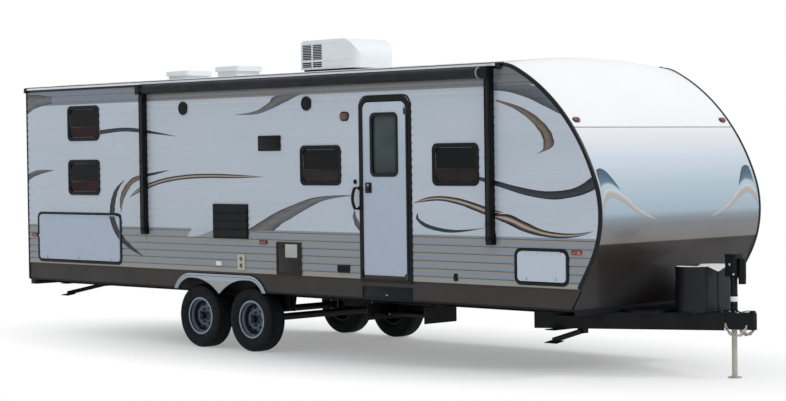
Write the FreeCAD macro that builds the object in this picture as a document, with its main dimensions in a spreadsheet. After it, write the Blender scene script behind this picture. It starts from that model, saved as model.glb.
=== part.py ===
import FreeCAD, Part
import math
import os
import re

import Sketcher

# Travel caravan with a tandem axle, parked on its tongue jack.
# Frame: +X is the way it travels, +Y its left side, +Z up; the origin is on the ground below
# the middle of its length and width. Millimetres.

# Driving sizes. Places along the caravan are measured forward from the outside of the rear wall.
SIZES = {
    # body shell
    "body_width": 2438.0,
    "wall_thick": 45.0,
    "wall_tall": 2075.0,
    "roof_rise": 76.0,
    "roof_thick": 60.0,
    "skirt_tall": 193.0,
    "skirt_thick": 20.0,
    "floor_thick": 50.0,
    "nose_start": 7643.0,
    "nose_top_radius": 405.0,
    "nose_top_angle": 25.6,
    "nose_mid_radius": 1881.0,
    "nose_mid_angle": 44.7,
    "nose_low_radius": 890.0,
    "nose_low_angle": 50.5,
    "crown_fade_share": 0.45,
    # reach of the bumper behind the rear wall
    "bumper_reach": 130.0,
    # windows; how far up the wall their middles are is a share of its height
    "window_long": 610.0,
    "window_tall": 408.0,
    "window_round": 62.0,
    "window_frame": 32.0,
    "window_proud": 12.0,
    "pane_lap": 12.0,
    "pane_thick": 6.0,
    "pane_play": 0.5,
    "bunk_window_at": 1138.0,
    "upper_bunk_share": 0.7913,
    "lower_bunk_share": 0.4901,
    "galley_window_at": 5171.0,
    "bed_window_at": 7060.0,
    "side_window_share": 0.548,
    "dinette_window_at": 4560.0,
    "dinette_window_long": 1420.0,
    "dinette_window_tall": 620.0,
    "dinette_window_share": 0.4949,
    "bath_window_at": 2300.0,
    "bath_window_long": 360.0,
    "bath_window_tall": 300.0,
    "bath_window_share": 0.6733,
    # entry door
    "door_at": 6100.0,
    "door_wide": 594.0,
    "door_lift": 9.0,
    "door_drop": 317.0,
    "door_round": 70.0,
    "door_thick": 40.0,
    "door_gap": 8.0,
    "door_sleeve": 22.0,
    "door_flange": 50.0,
    "door_sill": 24.0,
    "door_window_wide": 381.0,
    "door_window_tall": 624.0,
    "door_window_drop": 421.0,
    "door_window_round": 60.0,
    "door_pane_thick": 8.0,
    "flange_proud": 12.0,
    "hinge_radius": 5.0,
    "hinge_play": 0.5,
    "hinge_clear": 0.3,
    "hinge_leaf": 28.0,
    "hinge_inset": 60.0,
    # luggage and outside kitchen doors
    "hatch_setback": 444.21,
    "hatch_long": 584.0,
    "hatch_lift": 58.0,
    "hatch_tall": 269.0,
    "hatch_round": 40.0,
    "hatch_thick": 30.0,
    "hatch_sleeve": 18.0,
    "hatch_flange": 28.0,
    "kitchen_at": 1019.0,
    "kitchen_long": 1562.0,
    "kitchen_lift": 57.0,
    "kitchen_tall": 517.0,
    # chassis
    "rail_spread": 1790.0,
    "rail_wide": 64.0,
    "rail_tall": 203.0,
    "rail_skin": 8.0,
    "rail_web": 6.0,
    "rail_setback": 10.0,
    "member_tall": 110.0,
    "member_deep": 50.0,
    "member_skin": 5.0,
    "member_first": 380.0,
    "member_pitch": 920.0,
    "outrigger_thick": 6.0,
    "outrigger_toe": 60.0,
    "tongue_back": 7760.0,
    "tongue_front": 9330.0,
    "tongue_back_half": 905.0,
    "tongue_front_half": 75.0,
    "tongue_tall": 152.0,
    "tongue_wide": 50.0,
    "tongue_skin": 6.0,
    "bumper_square": 102.0,
    "bumper_skin": 5.0,
    "bumper_half": 1100.0,
    "bumper_drop": 15.0,
    "bumper_arm_tall": 50.0,
    # coupler, its top plate and the gas tray
    "ball_radius": 29.4,
    "socket_wall": 15.0,
    "socket_deep": 60.0,
    "coupler_wall": 8.0,
    "coupler_tall": 140.0,
    "coupler_half_back": 84.0,
    "coupler_lap": 39.0,
    "coupler_reach": 239.0,
    "plate_thick": 8.0,
    "plate_lap": 285.0,
    "plate_half_back": 200.0,
    "plate_ahead": 135.0,
    "plate_half_front": 44.0,
    "tray_gap": 21.76,
    "tray_half": 330.0,
    "latch_long": 64.0,
    "latch_half": 17.0,
    "latch_tall": 34.0,
    "latch_taper": 20.0,
    # safety chains
    "link_inner_long": 30.0,
    "link_inner_wide": 14.0,
    "link_wire": 8.0,
    "link_corner": 2.0,
    "link_play": 1.4,
    "chain_radius": 105.0,
    "chain_start": 10.0,
    "chain_drop": 90.0,
    "chain_play": 0.3,
    # tongue jack
    "jack_gap": 173.0,
    "jack_radius": 32.0,
    "jack_wall": 6.0,
    "jack_below": 10.0,
    "jack_rise": 332.0,
    "jack_flange": 62.0,
    "jack_hole_play": 0.3,
    "head_long": 130.0,
    "head_wide": 130.0,
    "head_tall": 206.0,
    "head_round": 26.0,
    "motor_radius": 34.0,
    "motor_ahead": 92.0,
    "motor_drop": 68.0,
    "motor_tall": 228.0,
    "leg_radius": 25.4,
    "leg_wall": 4.0,
    "leg_lap": 70.0,
    "foot_radius": 64.0,
    "foot_thick": 8.0,
    # gas bottle cover
    "gas_gap": 53.76,
    "gas_lobe": 165.0,
    "gas_spread": 160.0,
    "gas_tall": 422.0,
    "gas_dip": 55.0,
    "gas_skin": 8.0,
    # wheels, axles and springs
    "rear_axle_at": 3120.0,
    "axle_pitch": 851.0,
    "wheel_track": 2120.0,
    "tyre_radius": 345.0,
    "tyre_wide": 205.0,
    "tyre_seat_play": 0.3,
    "rim_radius": 203.0,
    "rim_half": 86.0,
    "hand_hole_radius": 19.0,
    "hand_hole_ring": 126.0,
    "spindle_radius": 20.0,
    "spindle_play": 0.05,
    "axle_radius": 38.0,
    "axle_half": 925.0,
    "backing_radius": 130.0,
    "backing_thick": 8.0,
    "spring_half": 330.0,
    "spring_camber": 58.0,
    "spring_thick": 26.0,
    "spring_wide": 44.0,
    "spring_seat": 10.0,
    "eye_radius": 22.0,
    "pin_radius": 10.0,
    "pin_play": 0.1,
    "hanger_thick": 6.0,
    "hanger_half": 36.0,
    "hanger_play": 0.4,
    "equaliser_thick": 8.0,
    "equaliser_lift": 44.0,
    "spring_gap": 126.0,
    # fender over both wheels of one side
    "fender_half": 785.0,
    "fender_drop": 26.0,
    "fender_lip": 10.0,
    "fender_band": 50.0,
    "fender_round": 300.0,
    "fender_arch": 650.0,
    "fender_thick": 16.0,
    "wheel_cut_lap": 25.0,
    # awning
    "awning_back": 2290.0,
    "awning_front": 7525.0,
    "awning_lift": 382.0,
    "awning_drop": 81.0,
    "awning_radius": 55.0,
    "awning_play": 2.0,
    "arm_wide": 75.0,
    "arm_deep": 60.0,
    # roof
    "cooler_back": 3880.0,
    "cooler_long": 870.0,
    "cooler_half": 300.0,
    "cooler_tall": 336.0,
    "cooler_round": 60.0,
    "cooler_slope": 225.0,
    "cooler_corner": 110.0,
    "cooler_lift": 18.0,
    "cooler_seat_inset": 60.0,
    "slot_inset": 30.0,
    "slot_step": 165.0,
    "slot_long": 140.0,
    "slot_rise": 28.0,
    "slot_pitch": 26.0,
    "slot_tall": 12.0,
    "slot_deep": 14.0,
    "roof_play": 0.3,
    "roof_vent_half": 200.0,
    "rear_vent_at": 1580.0,
    "rear_vent_tall": 96.0,
    "mid_vent_at": 2480.0,
    "mid_vent_tall": 116.0,
    "vent_base_inset": 30.0,
    "vent_lid_tall": 55.0,
    # fittings on the right wall
    "fitting_proud": 14.0,
    "fridge_vent_at": 3750.0,
    "fridge_vent_long": 570.0,
    "fridge_vent_lift": 365.0,
    "fridge_vent_tall": 365.0,
    "louvre_edge": 32.0,
    "louvre_pitch": 40.0,
    "louvre_tall": 22.0,
    "louvre_deep": 9.0,
    "hood_vent_at": 4394.0,
    "hood_vent_long": 344.0,
    "hood_vent_drop": 782.0,
    "hood_vent_tall": 156.0,
    "heater_at": 4676.0,
    "heater_long": 380.0,
    "heater_lift": 5.0,
    "heater_tall": 338.0,
    "heater_rim": 18.0,
    "heater_deep": 5.0,
    "furnace_at": 3918.0,
    "furnace_long": 110.0,
    "furnace_lift": 33.0,
    "furnace_tall": 162.0,
    "furnace_hole_radius": 25.0,
    "furnace_hole_step": 36.0,
    "furnace_hole_deep": 10.0,
    "small_vent_at": 5499.0,
    "small_vent_long": 170.0,
    "small_vent_lift": 57.0,
    "small_vent_tall": 72.0,
    "inlet_at": 3552.0,
    "inlet_long": 99.0,
    "inlet_lift": 65.0,
    "inlet_tall": 52.0,
    "speaker_back_at": 2973.0,
    "speaker_front_at": 4973.0,
    "speaker_drop": 304.0,
    "speaker_radius": 72.0,
    "handle_at": 5692.0,
    "handle_lift": 691.0,
    "handle_tall": 231.0,
    "handle_bow_radius": 172.0,
    "handle_bow_angle": 37.4,
    "handle_reach": 70.0,
    "handle_radius": 11.0,
    "handle_foot_radius": 9.0,
    # lamps
    "lamp_proud": 22.0,
    "lamp_lift": 313.0,
    "lamp_tall": 42.0,
    "rear_lamp_at": 136.0,
    "mid_lamp_at": 4272.0,
    "front_lamp_at": 8545.0,
    "lamp_long": 128.0,
    "porch_lamp_at": 5532.0,
    "porch_lamp_long": 176.0,
    "porch_lamp_drop": 494.0,
    "porch_lamp_tall": 94.0,
    "porch_lamp_round": 46.0,
    "tail_lamp_spread": 1980.0,
    "tail_lamp_lift": 137.0,
    "tail_lamp_tall": 150.0,
    "tail_lamp_wide": 150.0,
    "clearance_lamp_drop": 68.0,
    "clearance_lamp_spread": 2200.0,
    "clearance_lamp_pitch": 170.0,
    # entry step
    "step_at": 6190.0,
    "step_half": 400.0,
    "step_out": 1190.0,
    "step_in": 740.0,
    "step_drop": 160.0,
    "step_side": 6.0,
    "step_pivot_out": 1100.0,
    "step_pivot_drop": 110.0,
    "step_arm": 250.0,
    "step_arm_wide": 36.0,
    "step_arm_thick": 8.0,
    "step_arm_gap": 8.0,
    "tread_gap": 6.0,
    "tread_deep": 220.0,
    "tread_thick": 30.0,
    "tread_skin": 3.0,
    # stabilisers
    "stab_front_at": 7990.0,
    "stab_rear_at": 330.0,
    "stab_foot_half": 960.0,
    "stab_front_arm": 480.0,
    "stab_rear_arm": 620.0,
    "stab_base_thick": 8.0,
    "stab_base_wide": 120.0,
    "stab_cheek_tall": 60.0,
    "stab_cheek_half": 40.0,
    "stab_pivot_drop": 36.0,
    "stab_arm_wide": 44.0,
    "stab_arm_tall": 40.0,
    "stab_cheek_gap": 5.0,
    "stab_slope_angle": 8.0,
    "stab_foot_long": 110.0,
    "stab_foot_wide": 150.0,
    "stab_foot_thick": 6.0,
}

# Places worked out from the sizes.
PLACES = {
    "nose_reach": (
        "nose_start + nose_top_radius * sin(turn_a) + nose_mid_radius * (sin(turn_b) - sin(turn_a))"
        " + nose_low_radius * (1 - sin(turn_b))"
    ),
    "gas_at": "nose_reach + gas_gap + gas_lobe",
    "jack_at": "gas_at + gas_lobe + jack_gap",
    "tongue_reach": "jack_at + coupler_reach",
    "coupler_back": "jack_at - coupler_lap",
    "plate_back": "jack_at - plate_lap",
    "plate_front": "jack_at + plate_ahead",
    "tray_back": "nose_reach + tray_gap",
    "latch_at": "tongue_reach - latch_long",
    "hatch_at": "nose_siding - rear - hatch_setback",
    "rear": "(bumper_reach - tongue_reach) / 2",
    "side": "body_width / 2",
    "wall_in": "side - wall_thick",
    "rail_low": "eye_high + spring_gap",
    "floor_low": "rail_low + rail_tall",
    "siding_low": "floor_low + floor_thick",
    "skirt_low": "siding_low - skirt_tall",
    "roof_edge": "siding_low + wall_tall",
    "tongue_low": "rail_low - tongue_tall",
    "roof_start": "rear + wall_thick",
    "roof_end": "rear + nose_start",
    "roof_top": "roof_edge + roof_rise",
    "crown_radius": "(wall_in ^ 2 + roof_rise ^ 2) / (2 * roof_rise)",
    "turn_a": "nose_top_angle",
    "turn_b": "nose_top_angle + nose_mid_angle",
    "turn_c": "nose_top_angle + nose_mid_angle + nose_low_angle",
    "nose_ax": "roof_end + nose_top_radius * sin(turn_a)",
    "nose_az": "roof_edge - nose_top_radius * (1 - cos(turn_a))",
    "nose_bx": "nose_ax + nose_mid_radius * (sin(turn_b) - sin(turn_a))",
    "nose_bz": "nose_az - nose_mid_radius * (cos(turn_a) - cos(turn_b))",
    "nose_cx": "nose_bx + nose_low_radius * (sin(turn_c) - sin(turn_b))",
    "nose_cz": "nose_bz - nose_low_radius * (cos(turn_b) - cos(turn_c))",
    "nose_siding": "nose_cx + (nose_cz - siding_low) * cos(turn_c) / sin(turn_c)",
    "nose_skirt": "nose_cx + (nose_cz - skirt_low) * cos(turn_c) / sin(turn_c)",
    "floor_front": "nose_skirt - wall_thick / sin(turn_c)",
    "rail_mid": "rail_spread / 2",
    "rail_in": "rail_mid - rail_web / 2",
    "rail_out": "rail_mid + rail_web / 2",
    "wheels_mid": "rear + rear_axle_at + axle_pitch / 2",
    "wheel_mid": "wheel_track / 2",
    "door_back": "rear + door_at - door_wide / 2",
    "door_front": "rear + door_at + door_wide / 2",
    "upper_bunk_mid": "siding_low + upper_bunk_share * wall_tall",
    "lower_bunk_mid": "siding_low + lower_bunk_share * wall_tall",
    "side_window_mid": "siding_low + side_window_share * wall_tall",
    "dinette_window_mid": "siding_low + dinette_window_share * wall_tall",
    "bath_window_mid": "siding_low + bath_window_share * wall_tall",
    "door_low": "siding_low + door_lift",
    "door_top": "roof_edge - door_drop",
    "door_window_mid": "door_top - door_window_drop",
    "hatch_low": "siding_low + hatch_lift",
    "kitchen_low": "siding_low + kitchen_lift",
    "hinge_out": "side + flange_proud + hinge_radius + hinge_play",
    "hinge_strip_out": "side + flange_proud + hinge_radius",
    "door_axis": "door_front + door_gap / 2",
    "door_strip_low": "door_low + hinge_inset",
    "door_strip_top": "door_top - door_round - hinge_inset",
    "spring_low": "tyre_radius + axle_radius + spring_seat",
    "eye_high": "spring_low + spring_camber + spring_thick / 2",
    "ball_at": "rear + tongue_reach - ball_outer",
    "ball_outer": "ball_radius + socket_wall",
    "plate_top": "rail_low + plate_thick",
    "coupler_low": "rail_low - coupler_tall",
    "jack_x": "rear + jack_at",
    "gas_x": "rear + gas_at",
    "gas_low": "plate_top",
    "jack_low": "coupler_low - jack_below",
    "jack_top": "plate_top + jack_rise",
    "motor_low": "jack_top - motor_drop",
    "motor_top": "motor_low + motor_tall",
    "bumper_low": "rail_low - bumper_drop",
    "fender_top": "siding_low - fender_drop",
    "fender_low": "skirt_low - fender_lip",
    "awning_low": "siding_low + awning_lift",
    "awning_mid": "roof_edge - awning_drop",
    "cooler_top": "roof_top + cooler_tall",
    "rear_vent_top": "roof_top + rear_vent_tall",
    "mid_vent_top": "roof_top + mid_vent_tall",
    "fridge_vent_low": "siding_low + fridge_vent_lift",
    "hood_vent_low": "roof_edge - hood_vent_drop",
    "heater_low": "siding_low + heater_lift",
    "furnace_low": "siding_low + furnace_lift",
    "small_vent_low": "siding_low + small_vent_lift",
    "inlet_low": "siding_low + inlet_lift",
    "speaker_mid": "roof_edge - speaker_drop",
    "handle_low": "siding_low + handle_lift",
    "lamp_low": "siding_low + lamp_lift",
    "porch_lamp_low": "roof_edge - porch_lamp_drop",
    "tail_lamp_low": "siding_low + tail_lamp_lift",
    "clearance_lamp_low": "roof_edge - clearance_lamp_drop",
    "step_low": "rail_low - step_drop",
    "step_pivot_high": "rail_low - step_pivot_drop",
    "tongue_angle": "atan((tongue_back_half - tongue_front_half) / (tongue_front - tongue_back))",
    "tongue_long": "sqrt((tongue_back_half - tongue_front_half) ^ 2 + (tongue_front - tongue_back) ^ 2)",
    "step_x": "rear + step_at",
}

WORDS = re.compile(r"[a-z][a-z_]*")


def spelled(text):
    """An expression with each place worked out and each size read from its cell."""

    def word(found):
        name = found.group(0)
        if name in PLACES:
            return "(" + spelled(PLACES[name]) + ")"
        if name in SIZES:
            return "sizes." + name
        return name

    return WORDS.sub(word, text)


doc = FreeCAD.newDocument("caravan")
sheet = doc.addObject("Spreadsheet::Sheet", "sizes")
for row, (name, size) in enumerate(SIZES.items(), 1):
    sheet.set(f"A{row}", name)
    sheet.set(f"B{row}", str(size))
    sheet.setAlias(f"B{row}", name)
doc.recompute()

NODES = []


def value(text):
    """What an expression comes to, in millimetres or degrees."""
    found = sheet.evalExpression(spelled(text))
    return float(getattr(found, "Value", found))


def node(label, thing):
    """Names a finished sub-part and keeps it for the hand-over."""
    thing.Label = label
    NODES.append(thing)
    return thing


# Outlines and solids


def square(x0, x1, y0, y1):
    """A rectangle's corners, anticlockwise."""
    return [(x0, y0), (x1, y0), (x1, y1), (x0, y1)]


def rounded(x0, x1, y0, y1, r):
    """A rectangle with round corners, anticlockwise: an entry with a centre is reached by an arc."""
    left, right = f"({x0}) + {r}", f"({x1}) - {r}"
    low, high = f"({y0}) + {r}", f"({y1}) - {r}"
    return [
        (left, y0, left, low, 1),
        (right, y0),
        (x1, low, right, low, 1),
        (x1, high),
        (right, y1, right, high, 1),
        (left, y1),
        (x0, high, left, high, 1),
        (x0, low),
    ]


def trace(sketch, loop):
    """Draws one closed outline and ties each of its corners to the sizes."""
    ends = [FreeCAD.Vector(value(corner[0]), value(corner[1]), 0) for corner in loop]
    drawn = []
    for corner, start, end in zip(loop, ends[-1:] + ends[:-1], ends):
        if len(corner) == 2:
            drawn.append((sketch.addGeometry(Part.LineSegment(start, end)), 1, 2, None))
            continue
        middle = FreeCAD.Vector(value(corner[2]), value(corner[3]), 0)
        angles = [math.atan2(p.y - middle.y, p.x - middle.x) for p in (start, end)]
        places = (1, 2) if corner[4] > 0 else (2, 1)
        low, high = angles if corner[4] > 0 else angles[::-1]
        circle = Part.Circle(middle, FreeCAD.Vector(0, 0, 1), (end - middle).Length)
        arc = Part.ArcOfCircle(circle, low, high if high > low else high + 2 * math.pi)
        chord = end - start
        middle_tie = ("DistanceX", corner[2]) if abs(chord.y) > abs(chord.x) else ("DistanceY", corner[3])
        drawn.append((sketch.addGeometry(arc), *places, middle_tie))
    ties, texts = [], []
    first = sketch.ConstraintCount
    for k, (edge, start, end, middle_tie) in enumerate(drawn):
        after = drawn[(k + 1) % len(drawn)]
        ties.append(Sketcher.Constraint("Coincident", edge, end, after[0], after[1]))
        texts.append(None)
        ways = (("DistanceX", loop[k][0], ends[k].x), ("DistanceY", loop[k][1], ends[k].y))
        for kind, text, number in ways:
            ties.append(Sketcher.Constraint(kind, -1, 1, edge, end, number))
            texts.append(text)
        if middle_tie:
            ties.append(Sketcher.Constraint(middle_tie[0], -1, 1, edge, 3, value(middle_tie[1])))
            texts.append(middle_tie[1])
    sketch.addConstraint(ties)
    for k, text in enumerate(texts):
        if text:
            sketch.setExpression(f"Constraints[{first + k}]", spelled(text))


def draw(body, name, plane, loops):
    """A sketch of closed outlines on one of the body's own planes."""
    sketch = body.newObject("Sketcher::SketchObject", name)
    support = [f for f in body.Origin.OriginFeatures if f.Role == plane + "_Plane"][0]
    sketch.AttachmentSupport = (support, [""])
    sketch.MapMode = "FlatFace"
    for loop in loops:
        trace(sketch, loop)
    return sketch


def place(thing, x="0", y="0", z="0"):
    """Ties a thing's place to the sizes."""
    for axis, text in (("x", x), ("y", y), ("z", z)):
        if text != "0":
            thing.setExpression("Placement.Base." + axis, spelled(text))
    return thing


def prism(name, plane, loops, low, high):
    """Outlines padded from low to high along the plane's normal; plane XZ pads along -Y."""
    body = doc.addObject("PartDesign::Body", name)
    outline = draw(body, name + "_outline", plane, loops)
    pad = body.newObject("PartDesign::Pad", name + "_pad")
    pad.Profile = outline
    pad.setExpression("Length", spelled(f"({high}) - ({low})"))
    outline.Visibility = False
    if plane == "XY":
        return place(body, z=low)
    if plane == "XZ":
        return place(body, y=high)
    return place(body, x=low)


def box(name, xs, ys, zs):
    """A box between low and high places along each axis."""
    thing = doc.addObject("Part::Box", name)
    for side, (low, high) in zip(("Length", "Width", "Height"), (xs, ys, zs)):
        thing.setExpression(side, spelled(f"({high}) - ({low})"))
    return place(thing, xs[0], ys[0], zs[0])


TURNS = {
    "X": FreeCAD.Rotation(FreeCAD.Vector(0, 1, 0), 90),
    "Y": FreeCAD.Rotation(FreeCAD.Vector(1, 0, 0), -90),
    "Z": FreeCAD.Rotation(),
}


def rod(name, axis, x, y, z, long, radius):
    """A cylinder that starts at x, y, z and runs along an axis."""
    thing = doc.addObject("Part::Cylinder", name)
    thing.setExpression("Height", spelled(long))
    thing.setExpression("Radius", spelled(radius))
    thing.Placement = FreeCAD.Placement(FreeCAD.Vector(), TURNS[axis])
    return place(thing, x, y, z)


def fuse(name, *parts):
    thing = doc.addObject("Part::MultiFuse", name)
    thing.Shapes = list(parts)
    return thing


def cut(name, base, *tools):
    thing = doc.addObject("Part::Cut", name)
    thing.Base = base
    thing.Tool = tools[0] if len(tools) == 1 else gather(name + "_tools", *tools)
    return thing


def overlap(name, *parts):
    """What several solids have in common."""
    thing = doc.addObject("Part::MultiCommon", name)
    thing.Shapes = list(parts)
    return thing


def gather(name, *parts):
    """Like pieces that don't touch, kept as one thing."""
    thing = doc.addObject("Part::Compound", name)
    thing.Links = list(parts)
    return thing


def mirror(name, source):
    """The same piece on the other side."""
    thing = doc.addObject("Part::Mirroring", name)
    thing.Source = source
    thing.Normal = FreeCAD.Vector(0, 1, 0)
    return thing


# Body shell

NOSE_CENTRES = (
    ("nose_bx - nose_low_radius * sin(turn_b)", "nose_bz - nose_low_radius * cos(turn_b)"),
    ("nose_ax - nose_mid_radius * sin(turn_a)", "nose_az - nose_mid_radius * cos(turn_a)"),
    ("roof_end", "roof_edge - nose_top_radius"),
)

# The windows of each side: middle along, middle up, length and height.
RIGHT_WINDOWS = (
    ("bunk_window_at", "upper_bunk_mid", "window_long", "window_tall"),
    ("bunk_window_at", "lower_bunk_mid", "window_long", "window_tall"),
    ("galley_window_at", "side_window_mid", "window_long", "window_tall"),
    ("bed_window_at", "side_window_mid", "window_long", "window_tall"),
)
LEFT_WINDOWS = (
    ("bath_window_at", "bath_window_mid", "bath_window_long", "bath_window_tall"),
    ("dinette_window_at", "dinette_window_mid", "dinette_window_long", "dinette_window_tall"),
    ("bed_window_at", "side_window_mid", "window_long", "window_tall"),
)


def window_loop(window, inset, play="0"):
    """A window's outline, drawn in from its outside by an inset."""
    at, mid, long, tall = window
    grow = f"({play} - {inset})"
    return rounded(
        f"rear + {at} - {long} / 2 - {grow}",
        f"rear + {at} + {long} / 2 + {grow}",
        f"{mid} - {tall} / 2 - {grow}",
        f"{mid} + {tall} / 2 + {grow}",
        f"(window_round + {grow})",
    )


HATCHES = {
    "luggage": ("hatch_at", "hatch_long", "hatch_low", "hatch_tall"),
    "kitchen": ("kitchen_at", "kitchen_long", "kitchen_low", "kitchen_tall"),
}


def hatch_loop(kind, grow="0"):
    """A hatch door's outline, drawn out from its leaf."""
    at, long, low, tall = HATCHES[kind]
    return rounded(
        f"rear + {at} - {long} / 2 - ({grow})",
        f"rear + {at} + {long} / 2 + ({grow})",
        f"{low} - ({grow})",
        f"{low} + {tall} + ({grow})",
        f"(hatch_round + ({grow}))",
    )


def door_arch(grow, low):
    """The entry door's outline with round upper corners, from its rear foot up and over."""
    back, front = f"(door_back - ({grow}))", f"(door_front + ({grow}))"
    top, r = f"(door_top + ({grow}))", f"(door_round + ({grow}))"
    return [
        (back, low),
        (back, f"{top} - {r}"),
        (f"{back} + {r}", top, f"{back} + {r}", f"{top} - {r}", -1),
        (f"{front} - {r}", top),
        (front, f"{top} - {r}", f"{front} - {r}", f"{top} - {r}", -1),
        (front, low),
    ]


def wall_outline(feet):
    """A side wall seen from the right, with what its lower edge goes round."""
    low, mid, top = NOSE_CENTRES
    return (
        [("rear", "siding_low")]
        + feet
        + [
            ("nose_siding", "siding_low"),
            ("nose_cx", "nose_cz"),
            ("nose_bx", "nose_bz", *low, 1),
            ("nose_ax", "nose_az", *mid, 1),
            ("roof_end", "roof_edge", *top, 1),
            ("rear", "roof_edge"),
        ]
    )


hole_grow = "door_gap + hatch_sleeve + pane_play"
openings = [window_loop(w, "window_frame - pane_lap", "pane_play") for w in RIGHT_WINDOWS]
openings += [hatch_loop(kind, hole_grow) for kind in HATCHES]
doorway = door_arch("door_gap + door_sleeve + pane_play", "siding_low")
right_wall = prism("right_wall", "XZ", [wall_outline(doorway)] + openings, "0 - side", "0 - wall_in")
node("side_wall_right", right_wall)

openings = [window_loop(w, "window_frame - pane_lap", "pane_play") for w in LEFT_WINDOWS]
openings += [hatch_loop("luggage", hole_grow)]
left_wall = prism("left_wall", "XZ", [wall_outline([])] + openings, "wall_in", "side")
node("side_wall_left", left_wall)

# The fender's ends curve down about these two centres, and so does the skirt's opening behind it.
BACK_BEND = ("(wheels_mid - fender_half + fender_round)", "(fender_top - fender_round)")
FRONT_BEND = ("(wheels_mid + fender_half - fender_round)", "(fender_top - fender_round)")


def bend_reach(inset, high):
    """How far a fender's end, drawn in by an inset, reaches past its centre at a height."""
    return f"sqrt((fender_round - {inset}) ^ 2 - ({high} - fender_top + fender_round) ^ 2)"


cut_reach = bend_reach("wheel_cut_lap", "skirt_low")
skirt = [
    ("rear", "skirt_low"),
    (f"{BACK_BEND[0]} - {cut_reach}", "skirt_low"),
    (BACK_BEND[0], "fender_top - wheel_cut_lap", *BACK_BEND, -1),
    (FRONT_BEND[0], "fender_top - wheel_cut_lap"),
    (f"{FRONT_BEND[0]} + {cut_reach}", "skirt_low", *FRONT_BEND, -1),
    ("nose_skirt", "skirt_low"),
    ("nose_siding", "siding_low"),
    ("rear", "siding_low"),
]
right_skirt = prism("right_skirt", "XZ", [skirt], "0 - side", "0 - side + skirt_thick")
node("skirts", gather("both_skirts", right_skirt, mirror("left_skirt", right_skirt)))

floor_half = "(side - skirt_thick)"
deck_ys, deck_zs = (f"0 - {floor_half}", floor_half), ("floor_low", "siding_low")
node("floor", box("deck", ("roof_start", "floor_front"), deck_ys, deck_zs))

crown = ("0", "roof_top - crown_radius", 1)
roof_loop = [
    ("0 - wall_in", "roof_edge - roof_thick"),
    ("wall_in", "roof_edge - roof_thick"),
    ("wall_in", "roof_edge"),
    ("0 - wall_in", "roof_edge", *crown),
]
node("roof", prism("roof_panel", "YZ", [roof_loop], "roof_start", "roof_end"))

rear_loop = [
    ("0 - wall_in", "skirt_low"),
    ("wall_in", "skirt_low"),
    ("wall_in", "roof_edge"),
    ("0 - wall_in", "roof_edge", *crown),
]
node("rear_wall", prism("rear_panel", "YZ", [rear_loop], "rear", "roof_start"))


def nose_point(share):
    """A point of the nose's profile and its outward direction, by its share of the way down."""
    arcs = (
        (value("nose_top_radius"), 0.0, value("turn_a"), NOSE_CENTRES[2]),
        (value("nose_mid_radius"), value("turn_a"), value("turn_b"), NOSE_CENTRES[1]),
        (value("nose_low_radius"), value("turn_b"), value("turn_c"), NOSE_CENTRES[0]),
    )
    lengths = [radius * math.radians(end - start) for radius, start, end, _ in arcs]
    last = math.hypot(value("nose_skirt - nose_cx"), value("nose_cz - skirt_low"))
    way = share * (sum(lengths) + last)
    for length, (radius, start, end, centre) in zip(lengths, arcs):
        if way <= length:
            turn = math.radians(start) + way / radius
            out = (math.sin(turn), math.cos(turn))
            return (value(centre[0]) + radius * out[0], value(centre[1]) + radius * out[1]), out
        way -= length
    turn = math.radians(value("turn_c"))
    out = (math.sin(turn), math.cos(turn))
    return (value("nose_cx") + way * math.cos(turn), value("nose_cz") - way * math.sin(turn)), out


NOSE_SHARES = (0.0, 0.04, 0.08, 0.16, 0.25, 0.34, 0.44, 0.54, 0.64, 0.74, 0.84, 0.92, 1.0)
NOSE_STATION_SHARES = (-1.0, -0.6, 0.0, 0.6, 1.0)


def nose_section(across):
    """The nose panel's closed section at a share of its half width: the roof's crown fades into it."""
    outer, inner = [], []
    y = across * value("wall_in")
    crown_here = value("roof_rise") * (1 - across**2)
    for share in NOSE_SHARES:
        (x, z), (out_x, out_z) = nose_point(share)
        fade = max(0.0, 1 - share / value("crown_fade_share")) ** 2
        lift, depth = crown_here * fade, value("wall_thick")
        outer.append(FreeCAD.Vector(x + out_x * lift, y, z + out_z * lift))
        inner.append(FreeCAD.Vector(x - out_x * depth, y, z - out_z * depth))
    curves = []
    for line in (outer, inner[::-1]):
        curve = Part.BSplineCurve()
        curve.interpolate(line)
        curves.append(curve.toShape())
    bottom = Part.makeLine(outer[-1], inner[-1])
    top = Part.makeLine(inner[0], outer[0])
    return Part.Wire([curves[0], bottom, curves[1], top])


nose = doc.addObject("Part::Feature", "nose_panel")
nose.Shape = Part.makeLoft([nose_section(across) for across in NOSE_STATION_SHARES], True, False)
node("front_cap", nose)

# Windows: frames on the wall's outside, panes behind them in the wall's holes


def sided(right, outer, inner):
    """Low and high places across the caravan for a layer between two distances from its middle."""
    return (f"0 - ({outer})", f"0 - ({inner})") if right else (inner, outer)


frames, panes = [], []
for right, windows in ((True, RIGHT_WINDOWS), (False, LEFT_WINDOWS)):
    for k, window in enumerate(windows):
        tag = f"{'right' if right else 'left'}_{k}"
        ring = [window_loop(window, "0"), window_loop(window, "window_frame")]
        layer = sided(right, "side + window_proud", "side")
        frames.append(prism("window_ring_" + tag, "XZ", ring, *layer))
        layer = sided(right, "side", "side - pane_thick")
        pane_loop = window_loop(window, "window_frame - pane_lap")
        panes.append(prism("window_pane_" + tag, "XZ", [pane_loop], *layer))
node("window_frames", gather("all_window_frames", *frames))
node("window_panes", gather("all_window_panes", *panes))

# Entry door, the hatches and their frames


def door_ring(name, grow, low, low_in, inner, outer):
    """A frame round the entry door: an arch, closed below where its foot lies lower than its hole."""
    outside = door_arch(grow, low)
    inside = door_arch("door_gap", low_in)
    if low == low_in:
        loops = [outside + arch_back(inside)]
    else:
        loops = [outside, inside]
    return prism(name, "XZ", loops, f"0 - ({outer})", f"0 - ({inner})")


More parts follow.
